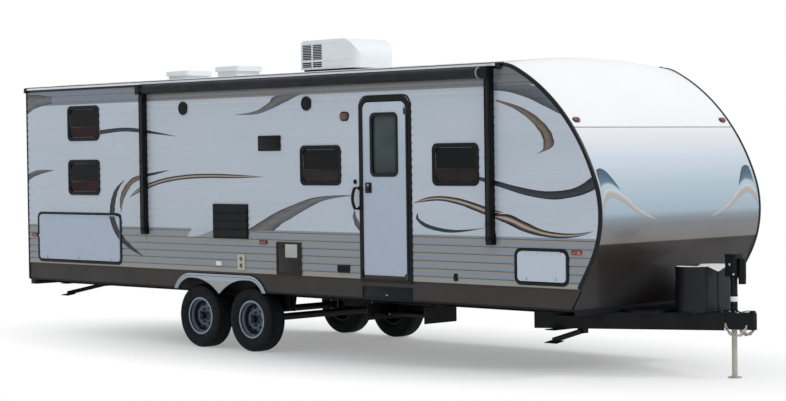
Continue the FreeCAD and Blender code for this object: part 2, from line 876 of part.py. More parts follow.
def arch_back(arch):
    """An arch's corners from its front foot back to its rear foot, with its arcs turned the other way."""
    back, rise, over, along, down, front = arch
    return [
        (front[0], front[1]),
        (down[0], down[1]),
        (along[0], along[1], down[2], down[3], 1),
        (over[0], over[1]),
        (rise[0], rise[1], over[2], over[3], 1),
        (back[0], back[1]),
    ]


sleeve_grow = "door_gap + door_sleeve"
sleeve = door_ring("door_sleeve_ring", sleeve_grow, "siding_low", "siding_low", "wall_in", "side")
sill_low = "(door_low - door_gap - door_sill)"
flange = door_ring(
    "door_flange_ring",
    "door_gap + door_flange",
    sill_low,
    "door_low - door_gap",
    "side",
    "side + flange_proud",
)
door_fixed_strip = box(
    "door_fixed_strip",
    ("door_axis + hinge_radius + hinge_clear", "door_axis + hinge_leaf"),
    sided(True, "hinge_strip_out", "side + flange_proud"),
    ("door_strip_low", "door_strip_top"),
)
entry_frame = fuse("entry_frame", sleeve, flange, door_fixed_strip)


def hatch_frame(name, kind, right):
    """A hatch's frame: a sleeve through the wall, a flange on it and the fixed strip of its hinge."""
    at, long, low, tall = HATCHES[kind]
    hole = hatch_loop(kind, "door_gap")
    sleeve = prism(
        name + "_sleeve",
        "XZ",
        [hatch_loop(kind, "door_gap + hatch_sleeve"), hole],
        *sided(right, "side", "wall_in"),
    )
    flange = prism(
        name + "_flange",
        "XZ",
        [hatch_loop(kind, "door_gap + hatch_flange"), hole],
        *sided(right, "side + flange_proud", "side"),
    )
    axis = f"({low} + {tall} + door_gap / 2)"
    strip = box(
        name + "_strip",
        (f"rear + {at} - {long} / 2 + hinge_inset", f"rear + {at} + {long} / 2 - hinge_inset"),
        sided(right, "hinge_strip_out", "side + flange_proud"),
        (f"{axis} + hinge_radius + hinge_clear", f"{axis} + hinge_leaf"),
    )
    return fuse(name, sleeve, flange, strip)


right_frame = hatch_frame("luggage_frame_right", "luggage", True)
left_frame = hatch_frame("luggage_frame_left", "luggage", False)
kitchen_frame = hatch_frame("kitchen_frame", "kitchen", True)
node("door_frames", gather("all_door_frames", entry_frame, right_frame, left_frame, kitchen_frame))

leaf_out, leaf_in = "side + flange_proud", "side + flange_proud - door_thick"
leaf_arch = door_arch("0", "door_low")
door_window = ("door_at", "door_window_mid", "door_window_wide", "door_window_tall")


def door_window_loop(inset):
    at, mid, wide, tall = door_window
    return rounded(
        f"rear + {at} - {wide} / 2 + {inset}",
        f"rear + {at} + {wide} / 2 - {inset}",
        f"{mid} - {tall} / 2 + {inset}",
        f"{mid} + {tall} / 2 - {inset}",
        f"(door_window_round - {inset})",
    )


leaf_loops = [leaf_arch, door_window_loop("0")]
door_leaf = prism("door_leaf", "XZ", leaf_loops, f"0 - ({leaf_out})", f"0 - ({leaf_in})")
strip_tall = ("door_strip_low", "door_strip_top")
door_strip = box(
    "door_hinge_strip",
    ("door_axis - hinge_leaf", "door_axis"),
    sided(True, "hinge_strip_out", "side + flange_proud + hinge_play"),
    strip_tall,
)
door_pad = box(
    "door_hinge_pad",
    ("door_axis - hinge_leaf", "door_front"),
    sided(True, "side + flange_proud + hinge_play", "side + flange_proud"),
    strip_tall,
)
strip_long = "door_strip_top - door_strip_low"
knuckle_at = ("door_axis", "0 - hinge_out", "door_strip_low")
door_knuckle = rod("door_knuckle", "Z", *knuckle_at, strip_long, "hinge_radius")
node("entry_door", fuse("entry_door_leaf", door_leaf, door_pad, door_strip, door_knuckle))

pane_mid = "(side + flange_proud - door_thick / 2)"
door_pane = prism(
    "door_pane",
    "XZ",
    [door_window_loop("pane_play")],
    f"0 - {pane_mid} - door_pane_thick / 2",
    f"0 - {pane_mid} + door_pane_thick / 2",
)
node("entry_door_pane", door_pane)


def hatch_leaf(name, kind, right):
    """A hatch door with the strip hinge along its upper edge."""
    at, long, low, tall = HATCHES[kind]
    leaf = prism(
        name + "_leaf",
        "XZ",
        [hatch_loop(kind)],
        *sided(right, "side + flange_proud", "side + flange_proud - hatch_thick"),
    )
    back = f"rear + {at} - {long} / 2 + hinge_inset"
    front = f"rear + {at} + {long} / 2 - hinge_inset"
    axis = f"({low} + {tall} + door_gap / 2)"
    outside = "side + flange_proud"
    strip = box(
        name + "_strip",
        (back, front),
        sided(right, "hinge_strip_out", f"{outside} + hinge_play"),
        (f"{axis} - hinge_leaf", axis),
    )
    pad = box(
        name + "_pad",
        (back, front),
        sided(right, f"{outside} + hinge_play", outside),
        (f"{axis} - hinge_leaf", f"{low} + {tall}"),
    )
    across = "0 - hinge_out" if right else "hinge_out"
    knuckle = rod(name + "_knuckle", "X", back, across, axis, f"{front} - ({back})", "hinge_radius")
    return fuse(name + "_door", leaf, pad, strip, knuckle)


node("luggage_door_right", hatch_leaf("luggage_right", "luggage", True))
node("luggage_door_left", hatch_leaf("luggage_left", "luggage", False))
node("kitchen_door", hatch_leaf("kitchen", "kitchen", True))

# Chassis: two I-beams, channels between them, outriggers, bumper and the tongue


def rail():
    """The right main beam, with the arm that carries the bumper."""
    back, front = "roof_start", "(floor_front - rail_setback)"
    low, high = "0 - rail_mid - rail_wide / 2", "0 - rail_mid + rail_wide / 2"
    web = box("rail_web_plate", (back, front), ("0 - rail_out", "0 - rail_in"), ("rail_low", "floor_low"))
    foot = box("rail_foot", (back, front), (low, high), ("rail_low", "rail_low + rail_skin"))
    head = box("rail_head", (back, front), (low, high), ("floor_low - rail_skin", "floor_low"))
    arm = box(
        "bumper_arm",
        ("rear - bumper_reach + bumper_square", back),
        (low, high),
        ("rail_low", "rail_low + bumper_arm_tall"),
    )
    return fuse("right_rail", web, foot, head, arm)


right_rail = rail()
node("frame_rails", gather("both_rails", right_rail, mirror("left_rail", right_rail)))

MEMBERS = 9
MEMBER_SKIP = (3, 4)
members = []
member_low = "(rail_low + (rail_tall - member_tall) / 2)"
member_high = f"({member_low} + member_tall)"
for k in range(MEMBERS):
    back = f"(rear + member_first + member_pitch * {k})"
    front = f"({back} + member_deep)"
    outer = box(f"member_{k}", (back, front), ("0 - rail_in", "rail_in"), (member_low, member_high))
    inner = box(
        f"member_hollow_{k}",
        (f"{back} + member_skin", front),
        ("0 - rail_in", "rail_in"),
        (f"{member_low} + member_skin", f"{member_high} - member_skin"),
    )
    members.append(cut(f"channel_{k}", outer, inner))
    if k in MEMBER_SKIP:
        continue
    reach = "side - skirt_thick"
    wing = [
        ("0 - rail_out", member_low),
        ("0 - rail_out", "floor_low - rail_skin"),
        ("0 - rail_mid - rail_wide / 2", "floor_low - rail_skin"),
        ("0 - rail_mid - rail_wide / 2", "floor_low"),
        (f"0 - ({reach})", "floor_low"),
        (f"0 - ({reach})", "floor_low - outrigger_toe"),
    ]
    plate = prism(f"outrigger_{k}", "YZ", [wing], back, f"{back} + outrigger_thick")
    members += [plate, mirror(f"outrigger_left_{k}", plate)]
node("cross_members", gather("all_members", *members))

bumper = cut(
    "bumper_tube",
    box(
        "bumper_outer",
        ("rear - bumper_reach", "rear - bumper_reach + bumper_square"),
        ("0 - bumper_half", "bumper_half"),
        ("bumper_low", "bumper_low + bumper_square"),
    ),
    box(
        "bumper_inner",
        ("rear - bumper_reach + bumper_skin", "rear - bumper_reach + bumper_square - bumper_skin"),
        ("0 - bumper_half", "bumper_half"),
        ("bumper_low + bumper_skin", "bumper_low + bumper_square - bumper_skin"),
    ),
)
node("rear_bumper", bumper)


def tongue_rail():
    """The right rail of the tongue, a channel open towards the middle."""
    pieces = []
    for name, inset, thick in (("tongue_outer", "0", "0"), ("tongue_inner", "tongue_skin", "tongue_skin")):
        piece = doc.addObject("Part::Box", name)
        piece.setExpression("Length", spelled("tongue_long"))
        piece.setExpression("Width", spelled(f"tongue_wide - {inset}"))
        piece.setExpression("Height", spelled(f"tongue_tall - 2 * {thick}"))
        piece.Placement = FreeCAD.Placement(FreeCAD.Vector(), FreeCAD.Rotation(FreeCAD.Vector(0, 0, 1), 1))
        piece.setExpression("Placement.Rotation.Angle", spelled("tongue_angle"))
        along = f"tongue_wide / 2 - {inset}"
        place(
            piece,
            f"rear + tongue_back + ({along}) * sin(tongue_angle)",
            f"0 - tongue_back_half - ({along}) * cos(tongue_angle)",
            f"tongue_low + {thick}",
        )
        pieces.append(piece)
    return cut("right_tongue_rail", *pieces)


right_tongue = tongue_rail()
node("tongue_rails", gather("both_tongue_rails", right_tongue, mirror("left_tongue_rail", right_tongue)))

# Coupler with its top plate and the tray that carries the gas bottles
shell_loop = [
    ("rear + coupler_back", "0 - coupler_half_back"),
    ("ball_at", "0 - ball_outer"),
    ("ball_at", "ball_outer", "ball_at", "0", 1),
    ("rear + coupler_back", "coupler_half_back"),
]
hollow_loop = [
    ("rear + coupler_back + coupler_wall", "0 - coupler_half_back + coupler_wall"),
    ("ball_at - ball_outer - coupler_wall", "0 - ball_outer + coupler_wall"),
    ("ball_at - ball_outer - coupler_wall", "ball_outer - coupler_wall"),
    ("rear + coupler_back + coupler_wall", "coupler_half_back - coupler_wall"),
]
shell = prism("coupler_shell", "XY", [shell_loop], "coupler_low", "rail_low")
hollow = prism("coupler_hollow", "XY", [hollow_loop], "coupler_low", "rail_low - coupler_wall")
ball_hole = rod("ball_hole", "Z", "ball_at", "0", "coupler_low", "socket_deep", "ball_radius")
plate_loop = [
    ("rear + tray_back", "0 - tray_half"),
    ("rear + plate_back", "0 - tray_half"),
    ("rear + plate_back", "0 - plate_half_back"),
    ("rear + plate_front", "0 - plate_half_front"),
    ("rear + plate_front", "plate_half_front"),
    ("rear + plate_back", "plate_half_back"),
    ("rear + plate_back", "tray_half"),
    ("rear + tray_back", "tray_half"),
]
plate = prism("coupler_plate", "XY", [plate_loop], "rail_low", "plate_top")
jack_hole = rod(
    "jack_hole", "Z", "jack_x", "0", "coupler_low", "plate_top - coupler_low", "jack_radius + jack_hole_play"
)
latch_back, latch_front = "(rear + latch_at)", "(rear + latch_at + latch_long)"
latch_loop = [
    (latch_back, "rail_low"),
    (latch_front, "rail_low"),
    (f"{latch_front} - latch_taper", "rail_low + latch_tall"),
    (f"{latch_back} + latch_taper / 2", "rail_low + latch_tall"),
]
latch = prism("coupler_latch", "XZ", [latch_loop], "0 - latch_half", "latch_half")
coupler_solid = fuse("coupler_solid", shell, plate, latch)
node("coupler", cut("coupler_body", coupler_solid, hollow, ball_hole, jack_hole))

# Safety chains: each hangs in a loop beside the coupler, its links turned a quarter in turn
CHAIN_LINKS = 11


def chain_link():
    """A link bent from square bar, about the origin and long along X."""
    wire = value("link_wire")
    rings = []
    for grow in (wire, 0.0):
        long, wide = value("link_inner_long") / 2 + grow, value("link_inner_wide") / 2 + grow
        corner = value("link_corner") + grow / 2
        quarter = ((long, wide - corner), (long - corner, wide))
        spots = [*quarter, *((-x, y) for x, y in quarter[::-1])]
        spots += [(-x, -y) for x, y in spots]
        corners = [FreeCAD.Vector(x, y, -wire / 2) for x, y in spots]
        rings.append(Part.Face(Part.makePolygon(corners + corners[:1])))
    return rings[0].cut(rings[1]).extrude(FreeCAD.Vector(0, 0, wire))


def safety_chain():
    """The right chain, along the coupler's tapering side and a link's half width clear of it."""
    foot = FreeCAD.Vector(value("rear + coupler_back"), value("0 - coupler_half_back"), 0)
    tip = FreeCAD.Vector(value("ball_at"), value("0 - ball_outer"), 0)
    along = (tip - foot).normalize()
    up = FreeCAD.Vector(0, 0, 1)
    out = along.cross(up)
    radius, clear = value("chain_radius"), value("chain_play + link_inner_wide / 2 + link_wire")
    middle = foot + along * (value("chain_start") + radius) + out * clear
    middle += up * value("rail_low - chain_drop")
    step = 2 * math.asin(value("link_inner_long - link_play") / 2 / radius)
    links = []
    for k in range(CHAIN_LINKS):
        turn = math.pi + step * (k + 0.5)
        outward = along * math.cos(turn) + up * math.sin(turn)
        way = up * math.cos(turn) - along * math.sin(turn)
        wide = out if k % 2 == 0 else outward
        thick = way.cross(wide)
        spot = middle + outward * (radius * math.cos(step / 2))
        link = chain_link()
        link.Placement = FreeCAD.Placement(spot, FreeCAD.Rotation(way, wide, thick, "ZXY"))
        links.append(link)
    return Part.makeCompound(links)


right_chain = doc.addObject("Part::Feature", "right_chain")
right_chain.Shape = safety_chain()
node("safety_chains", gather("both_chains", right_chain, mirror("left_chain", right_chain)))

# Tongue jack
jack_tube = fuse(
    "jack_post",
    rod("jack_outer", "Z", "jack_x", "0", "jack_low", "jack_top - jack_low", "jack_radius"),
    rod("jack_collar", "Z", "jack_x", "0", "plate_top", "plate_thick", "jack_flange"),
)
jack_bore = rod(
    "jack_bore", "Z", "jack_x", "0", "jack_low", "jack_top - jack_low - jack_wall", "jack_radius - jack_wall"
)
jack_head = prism(
    "jack_head_housing",
    "XY",
    [
        rounded(
            "jack_x - head_long / 2",
            "jack_x + head_long / 2",
            "0 - head_wide / 2",
            "head_wide / 2",
            "head_round",
        )
    ],
    "jack_top",
    "jack_top + head_tall",
)
jack_motor = rod(
    "jack_motor", "Z", "jack_x + motor_ahead", "0", "motor_low", "motor_top - motor_low", "motor_radius"
)
node("jack_tube", fuse("jack_upper", cut("jack_pipe", jack_tube, jack_bore), jack_head, jack_motor))

leg_top = "(jack_low + leg_lap)"
leg = cut(
    "leg_pipe",
    fuse(
        "leg_solid",
        rod("leg_outer", "Z", "jack_x", "0", "0", leg_top, "leg_radius"),
        rod("leg_foot", "Z", "jack_x", "0", "0", "foot_thick", "foot_radius"),
    ),
    rod("leg_bore", "Z", "jack_x", "0", "foot_thick", f"{leg_top} - foot_thick", "leg_radius - leg_wall"),
)
node("jack_leg", leg)


def gas_shell(name, inset, low, high):
    """The gas cover's long round plan, drawn in by an inset."""
    r = f"(gas_lobe - {inset})"
    loop = [
        (f"gas_x - {r}", "0 - gas_spread"),
        (f"gas_x + {r}", "0 - gas_spread", "gas_x", "0 - gas_spread", 1),
        (f"gas_x + {r}", "gas_spread"),
        (f"gas_x - {r}", "gas_spread", "gas_x", "gas_spread", 1),
    ]
    return prism(name, "XY", [loop], low, high)


def gas_notch(name, drop):
    """The shallow V that dips across the middle of the cover's top."""
    top = f"(gas_low + gas_tall - {drop})"
    loop = [
        ("0", f"{top} - gas_dip"),
        ("gas_spread", top),
        ("gas_spread + gas_lobe", top),
        ("gas_spread + gas_lobe", f"{top} + gas_dip"),
        ("0 - gas_spread - gas_lobe", f"{top} + gas_dip"),
        ("0 - gas_spread - gas_lobe", top),
        ("0 - gas_spread", top),
    ]
    return prism(name, "YZ", [loop], "gas_x - gas_lobe - gas_skin", "gas_x + gas_lobe + gas_skin")


gas_top = "gas_low + gas_tall"
gas_outside = cut("gas_outside", gas_shell("gas_outer", "0", "gas_low", gas_top), gas_notch("gas_v", "0"))
gas_inside = cut(
    "gas_inside",
    gas_shell("gas_inner", "gas_skin", "gas_low", f"{gas_top} - gas_skin"),
    gas_notch("gas_inner_v", "gas_skin"),
)
node("gas_cover", cut("gas_cover_shell", gas_outside, gas_inside))

# Axles, springs and hangers


def axle(name, at):
    """A straight tube with a brake backing plate and a spindle at each end."""
    tube = rod(name + "_tube", "Y", at, "0 - axle_half", "tyre_radius", "2 * axle_half", "axle_radius")
    spindle_from, spindle_long = "0 - wheel_mid - rim_half / 2", "wheel_track + rim_half"
    spindle = rod(name + "_spindle", "Y", at, spindle_from, "tyre_radius", spindle_long, "spindle_radius")
    plates = []
    for side, low in (("right", "0 - axle_half"), ("left", "axle_half - backing_thick")):
        middle = (at, low, "tyre_radius")
        plates.append(rod(f"{name}_{side}_plate", "Y", *middle, "backing_thick", "backing_radius"))
    return fuse(name, tube, spindle, *plates)


AXLES = {"rear": "rear + rear_axle_at", "front": "rear + rear_axle_at + axle_pitch"}
node("axles", gather("both_axles", *[axle(name + "_axle", at) for name, at in AXLES.items()]))

spring_low_y, spring_high_y = "0 - rail_mid - spring_wide / 2", "0 - rail_mid + spring_wide / 2"
spring_radius = "((spring_half ^ 2 + spring_camber ^ 2) / (2 * spring_camber))"


def spring(name, at):
    """A leaf pack that curves up to its eyes, on a seat over the axle."""
    centre = f"(spring_low + {spring_radius})"
    leaf_top = f"({centre} - sqrt(({spring_radius} - spring_thick) ^ 2 - spring_half ^ 2))"
    band = [
        (f"{at} - spring_half", "spring_low + spring_camber"),
        (f"{at} + spring_half", "spring_low + spring_camber", at, centre, 1),
        (f"{at} + spring_half", leaf_top),
        (f"{at} - spring_half", leaf_top, at, centre, -1),
    ]
    pack = prism(name + "_pack", "XZ", [band], spring_low_y, spring_high_y)
    seat = box(
        name + "_seat",
        (f"{at} - axle_radius", f"{at} + axle_radius"),
        (spring_low_y, spring_high_y),
        ("tyre_radius + axle_radius", "spring_low + spring_thick / 2"),
    )
    eyes, holes = [], []
    for end, sign in (("back", "-"), ("front", "+")):
        eye_at = (f"{at} {sign} spring_half", spring_low_y, "eye_high")
        eyes.append(rod(f"{name}_{end}_eye", "Y", *eye_at, "spring_wide", "eye_radius"))
        holes.append(rod(f"{name}_{end}_hole", "Y", *eye_at, "spring_wide", "pin_radius + pin_play"))
    return cut(name, fuse(name + "_solid", pack, seat, *eyes), *holes)


def hanger(name, at, pin_high, inner_half):
    """Two plates under the beam with a pin between them."""
    plates = []
    for side, low in (
        ("out", f"0 - rail_mid - ({inner_half}) - hanger_thick"),
        ("in", f"0 - rail_mid + ({inner_half})"),
    ):
        plates.append(
            box(
                f"{name}_{side}",
                (f"{at} - hanger_half", f"{at} + hanger_half"),
                (low, f"{low} + hanger_thick"),
                (f"{pin_high} - eye_radius", "rail_low"),
            )
        )
    pin = rod(
        name + "_pin",
        "Y",
        at,
        f"0 - rail_mid - ({inner_half})",
        pin_high,
        f"2 * ({inner_half})",
        "pin_radius",
    )
    return fuse(name, *plates, pin)


def equaliser(name):
    """The rocker between the two springs: cheeks with an end pin for each spring."""
    pivot = "(eye_high + equaliser_lift)"
    half = "(axle_pitch / 2 - spring_half)"
    cheek = [
        (f"wheels_mid - {half} - eye_radius", "eye_high - eye_radius"),
        (f"wheels_mid + {half} + eye_radius", "eye_high - eye_radius"),
        (f"wheels_mid + {half} + eye_radius", "eye_high + pin_radius"),
        ("wheels_mid + eye_radius", f"{pivot} + eye_radius"),
        ("wheels_mid - eye_radius", f"{pivot} + eye_radius"),
        (f"wheels_mid - {half} - eye_radius", "eye_high + pin_radius"),
    ]
    inner = "(spring_wide / 2 + hanger_play)"
    parts = []
    for side, low in (
        ("out", f"0 - rail_mid - {inner} - equaliser_thick"),
        ("in", f"0 - rail_mid + {inner}"),
    ):
        parts.append(prism(f"{name}_{side}", "XZ", [cheek], low, f"{low} + equaliser_thick"))
    for end, sign in (("back", "-"), ("front", "+")):
        parts.append(
            rod(
                f"{name}_{end}_pin",
                "Y",
                f"wheels_mid {sign} {half}",
                f"0 - rail_mid - {inner}",
                "eye_high",
                f"2 * {inner}",
                "pin_radius",
            )
        )
    hole = rod(
        name + "_hole",
        "Y",
        "wheels_mid",
        f"0 - rail_mid - {inner} - equaliser_thick",
        pivot,
        f"2 * {inner} + 2 * equaliser_thick",
        "pin_radius + pin_play",
    )
    return cut(name, fuse(name + "_solid", *parts), hole)


right_springs = [spring(f"{name}_spring", at) for name, at in AXLES.items()]
plain_half = "spring_wide / 2 + hanger_play"
wide_half = "spring_wide / 2 + 2 * hanger_play + equaliser_thick"
for name, hanger_at in (
    ("rear_hanger", AXLES["rear"] + " - spring_half"),
    ("front_hanger", AXLES["front"] + " + spring_half"),
):
    right_springs.append(hanger(name, hanger_at, "eye_high", plain_half))
right_springs.append(hanger("mid_hanger", "wheels_mid", "(eye_high + equaliser_lift)", wide_half))
right_springs.append(equaliser("rocker"))
left_springs = [mirror("left_" + piece.Name, piece) for piece in right_springs]
node("suspension", gather("all_springs", *right_springs, *left_springs))

# Wheels. Sections as shares: along the axle of the rim's half width, outwards of the rim's radius.
RIM_SEAT_SHARE = 0.936
RIM_HUB_SHARE = 0.62
RIM_CAP_SHARE = 0.66
RIM_BARREL_SHARES = (
    (0.95, 1.0), (0.95, RIM_SEAT_SHARE), (0.6, RIM_SEAT_SHARE), (0.5, 0.83), (-0.2, 0.83),
    (-0.4, RIM_SEAT_SHARE), (-0.95, RIM_SEAT_SHARE), (-0.95, 1.0), (-1.0, 1.0), (-1.0, 0.9), (-0.45, 0.9),
    (-0.25, 0.79), (0.05, 0.79),
)
RIM_DRUM_SHARES = ((0.28, 0.5), (-0.8, 0.5), (-0.8, 0.45), (0.2, 0.45), (0.2, 0.22), (-RIM_HUB_SHARE, 0.22))
RIM_FACE_SHARES = (
    (0.9, 0.0), (0.9, 0.13), (0.42, 0.16), (0.34, 0.36), (0.42, 0.5), (0.14, 0.79), (0.5, 0.79), (0.66, 0.9),
    (1.0, 0.9), (1.0, 1.0),
)
# The tyre's section: along the axle as shares of its half width, outwards as shares of the way
# from the rim's seat to the tread.
TYRE_SHARES = (
    (0.775, 0.0), (0.775, 0.1), (1.0, 0.42), (0.96, 0.84), (0.76, 1.0), (-0.76, 1.0), (-0.96, 0.84),
    (-1.0, 0.42), (-0.775, 0.1), (-0.775, 0.0), (-0.58, 0.0), (-0.86, 0.42), (-0.7, 0.87), (0.7, 0.87),
    (0.86, 0.42), (0.58, 0.0),
)


FULL_TURN = 360
HALF_TURN = 180


def turned(name, loop):
    """A section turned once about the axle's line."""
    body = doc.addObject("PartDesign::Body", name)
    section = draw(body, name + "_section", "YZ", [loop])
    revolution = body.newObject("PartDesign::Revolution", name + "_turn")
    revolution.Profile = section
    revolution.ReferenceAxis = (section, ["H_Axis"])
    revolution.Angle = FULL_TURN
    section.Visibility = False
    return body


HAND_HOLES = 8
bore = "(spindle_radius + spindle_play)"
seat_radius = f"({RIM_SEAT_SHARE} * rim_radius + tyre_seat_play)"


def rim_spots(shares):
    """Points of the rim's section from their shares."""
    return [(f"{y} * rim_half", f"{r} * rim_radius") for y, r in shares]


def rim(name):
    """A pressed steel wheel on its drum and hub, with a ring of hand holes."""
    loop = rim_spots(RIM_BARREL_SHARES + RIM_DRUM_SHARES)
    loop += [(f"0 - {RIM_HUB_SHARE} * rim_half", bore), (f"{RIM_CAP_SHARE} * rim_half", bore)]
    loop += [(f"{RIM_CAP_SHARE} * rim_half", "0")] + rim_spots(RIM_FACE_SHARES)
    body = turned(name, loop)
    holes = body.newObject("Sketcher::SketchObject", name + "_hole_sketch")
    support = [f for f in body.Origin.OriginFeatures if f.Role == "XZ_Plane"][0]
    holes.AttachmentSupport = (support, [""])
    holes.MapMode = "FlatFace"
    centre = FreeCAD.Vector(0, value("hand_hole_ring"), 0)
    holes.addGeometry(Part.Circle(centre, FreeCAD.Vector(0, 0, 1), value("hand_hole_radius")))
    holes.addConstraint(
        [
            Sketcher.Constraint("DistanceX", -1, 1, 0, 3, 0),
            Sketcher.Constraint("DistanceY", -1, 1, 0, 3, centre.y),
            Sketcher.Constraint("Radius", 0, value("hand_hole_radius")),
        ]
    )
    holes.setExpression("Constraints[1]", spelled("hand_hole_ring"))
    holes.setExpression("Constraints[2]", spelled("hand_hole_radius"))
    pocket = body.newObject("PartDesign::Pocket", name + "_hole")
    pocket.Profile = holes
    pocket.Reversed = False
    pocket.setExpression("Length", spelled("rim_half"))
    holes.Visibility = False
    doc.recompute()
    ring = body.newObject("PartDesign::PolarPattern", name + "_holes")
    ring.Originals = [pocket]
    ring.Axis = ([f for f in body.Origin.OriginFeatures if f.Role == "Y_Axis"][0], [""])
    ring.Angle = FULL_TURN
    ring.Occurrences = HAND_HOLES
    body.Tip = ring
    return body


def tyre(name):
    """A tyre, open inwards between its beads."""
    tall = f"(tyre_radius - {seat_radius})"
    return turned(name, [(f"{y} * tyre_wide / 2", f"{seat_radius} + {r} * {tall}") for y, r in TYRE_SHARES])


for side in ("right", "left"):
    for end, at in AXLES.items():
        across = "0 - wheel_mid" if side == "right" else "wheel_mid"
        for kind, make in (("tyre", tyre), ("rim", rim)):
            wheel = make(f"{kind}_{end}_{side}_body")
            if side == "right":
                turn = FreeCAD.Rotation(FreeCAD.Vector(0, 0, 1), HALF_TURN)
                wheel.Placement = FreeCAD.Placement(FreeCAD.Vector(), turn)
            place(wheel, at, across, "tyre_radius")
            node(f"{kind}_{end}_{side}", wheel)

# Fenders: a band over both wheels and the V-shaped panel that hangs between them
band_in = "(fender_top - fender_band)"
arch_low = f"({band_in} - fender_arch)"
tip_high = f"({arch_low} + sqrt(fender_arch ^ 2 - (axle_pitch / 2) ^ 2))"
back_axle, front_axle = "(wheels_mid - axle_pitch / 2)", "(wheels_mid + axle_pitch / 2)"
end_outer, end_inner = bend_reach("0", "fender_low"), bend_reach("fender_band", "fender_low")
fender_loop = [
    (f"{BACK_BEND[0]} - {end_outer}", "fender_low", *BACK_BEND, 1),
    (f"{BACK_BEND[0]} - {end_inner}", "fender_low"),
    (BACK_BEND[0], band_in, *BACK_BEND, -1),
    (back_axle, band_in),
    ("wheels_mid", tip_high, back_axle, arch_low, -1),
    (front_axle, band_in, front_axle, arch_low, -1),
    (FRONT_BEND[0], band_in),
    (f"{FRONT_BEND[0]} + {end_inner}", "fender_low", *FRONT_BEND, -1),
    (f"{FRONT_BEND[0]} + {end_outer}", "fender_low"),
    (FRONT_BEND[0], "fender_top", *FRONT_BEND, 1),
    (BACK_BEND[0], "fender_top"),
]
right_fender = prism("right_fender", "XZ", [fender_loop], "0 - side - fender_thick", "0 - side")
node("fenders", gather("both_fenders", right_fender, mirror("left_fender", right_fender)))

# Awning, rolled up
arms = []
for end in ("back", "front"):
    at = f"(rear + awning_{end})"
    span = (f"{at} - arm_wide / 2", f"{at} + arm_wide / 2")
    reach = "side + awning_play + 2 * awning_radius"
    post_ys = sided(True, "side + arm_deep", "side")
    post = box(f"awning_{end}_post", span, post_ys, ("awning_low", "awning_mid"))
    head = box(
        f"awning_{end}_head",
        span,
        sided(True, reach, "side"),
        ("awning_mid - awning_radius", "awning_mid + awning_radius"),
    )
    arms.append(fuse(f"awning_{end}_arm", post, head))
node("awning_arms", gather("both_awning_arms", *arms))
roller_start = "rear + awning_back + arm_wide / 2"
roller = rod(
    "roller",
    "X",
    roller_start,
    "0 - side - awning_play - awning_radius",
    "awning_mid",
    "awning_front - awning_back - arm_wide",
    "awning_radius",
)
node("awning_roller", roller)

# Roof: cooling unit with a rounded front and air slots, and two lidded vents
unit_low = "(roof_top + roof_play)"
shell_low = f"({unit_low} + cooler_lift)"
unit_back, unit_front = "(rear + cooler_back)", "(rear + cooler_back + cooler_long)"
front_bend = (f"{unit_front} - cooler_slope", "cooler_top - cooler_slope")
back_bend = (f"{unit_back} + cooler_round", "cooler_top - cooler_round")
unit_profile = [
    (unit_back, shell_low),
    (unit_front, shell_low),
    (unit_front, front_bend[1]),
    (front_bend[0], "cooler_top", *front_bend, 1),
    (back_bend[0], "cooler_top"),
    (unit_back, back_bend[1], *back_bend, 1),
]
corner_x, corner_y = f"({unit_front} - cooler_corner)", "(cooler_half - cooler_corner)"
unit_plan = [
    (unit_back, "0 - cooler_half"),
    (corner_x, "0 - cooler_half"),
    (unit_front, f"0 - {corner_y}", corner_x, f"0 - {corner_y}", 1),
    (unit_front, corner_y),
    (corner_x, "cooler_half", corner_x, corner_y, 1),
    (unit_back, "cooler_half"),
]
unit_shell = overlap(
    "cooler_shell",
    prism("cooler_profile", "XZ", [unit_profile], "0 - cooler_half", "cooler_half"),
    prism("cooler_plan", "XY", [unit_plan], shell_low, "cooler_top"),
)
unit_seat = box(
    "cooler_seat",
    (f"{unit_back} + cooler_seat_inset", f"{unit_front} - cooler_seat_inset"),
    ("0 - cooler_half + cooler_seat_inset", "cooler_half - cooler_seat_inset"),
    (unit_low, shell_low),
)
SLOT_COLUMNS, SLOT_ROWS, SLOT_RAIL_ROW = 2, 10, 2
side_slots, back_slots = [], []
for row in range(SLOT_ROWS):
    if row == SLOT_RAIL_ROW:
        continue
    slot_low = f"({shell_low} + slot_rise + {row} * slot_pitch)"
    slot_zs = (slot_low, f"{slot_low} + slot_tall")
    for column in range(SLOT_COLUMNS):
        slot_x = f"({unit_back} + slot_inset + {column} * slot_step)"
        slot_ys = ("0 - cooler_half", "0 - cooler_half + slot_deep")
        slot_xs = (slot_x, f"{slot_x} + slot_long")
        side_slots.append(box(f"side_slot_{row}_{column}", slot_xs, slot_ys, slot_zs))
    slot_xs = (unit_back, f"{unit_back} + slot_deep")
    slot_ys = ("0 - cooler_half + 2 * slot_inset", "cooler_half - 2 * slot_inset")
    back_slots.append(box(f"back_slot_{row}", slot_xs, slot_ys, slot_zs))
near_slots = gather("near_slots", *side_slots)
far_slots = mirror("far_slots", near_slots)
cooler_solid = fuse("cooler_solid", unit_shell, unit_seat)
node("air_conditioner", cut("cooler", cooler_solid, near_slots, far_slots, *back_slots))

vents = []
for name in ("rear_vent", "mid_vent"):
    at = f"(rear + {name}_at)"
    lid_low = f"({name}_top - vent_lid_tall)"
    base = box(
        name + "_base",
        (f"{at} - roof_vent_half + vent_base_inset", f"{at} + roof_vent_half - vent_base_inset"),
        ("0 - roof_vent_half + vent_base_inset", "roof_vent_half - vent_base_inset"),
        (unit_low, lid_low),
    )
    lid = prism(
        name + "_lid",
        "XY",
        [
            rounded(
                f"{at} - roof_vent_half",
                f"{at} + roof_vent_half",
                "0 - roof_vent_half",
                "roof_vent_half",
                "vent_base_inset",
            )
        ],
        lid_low,
        f"{name}_top",
    )
    vents.append(fuse(name, base, lid))
node("roof_vents", gather("both_roof_vents", *vents))

# Fittings on the right wall


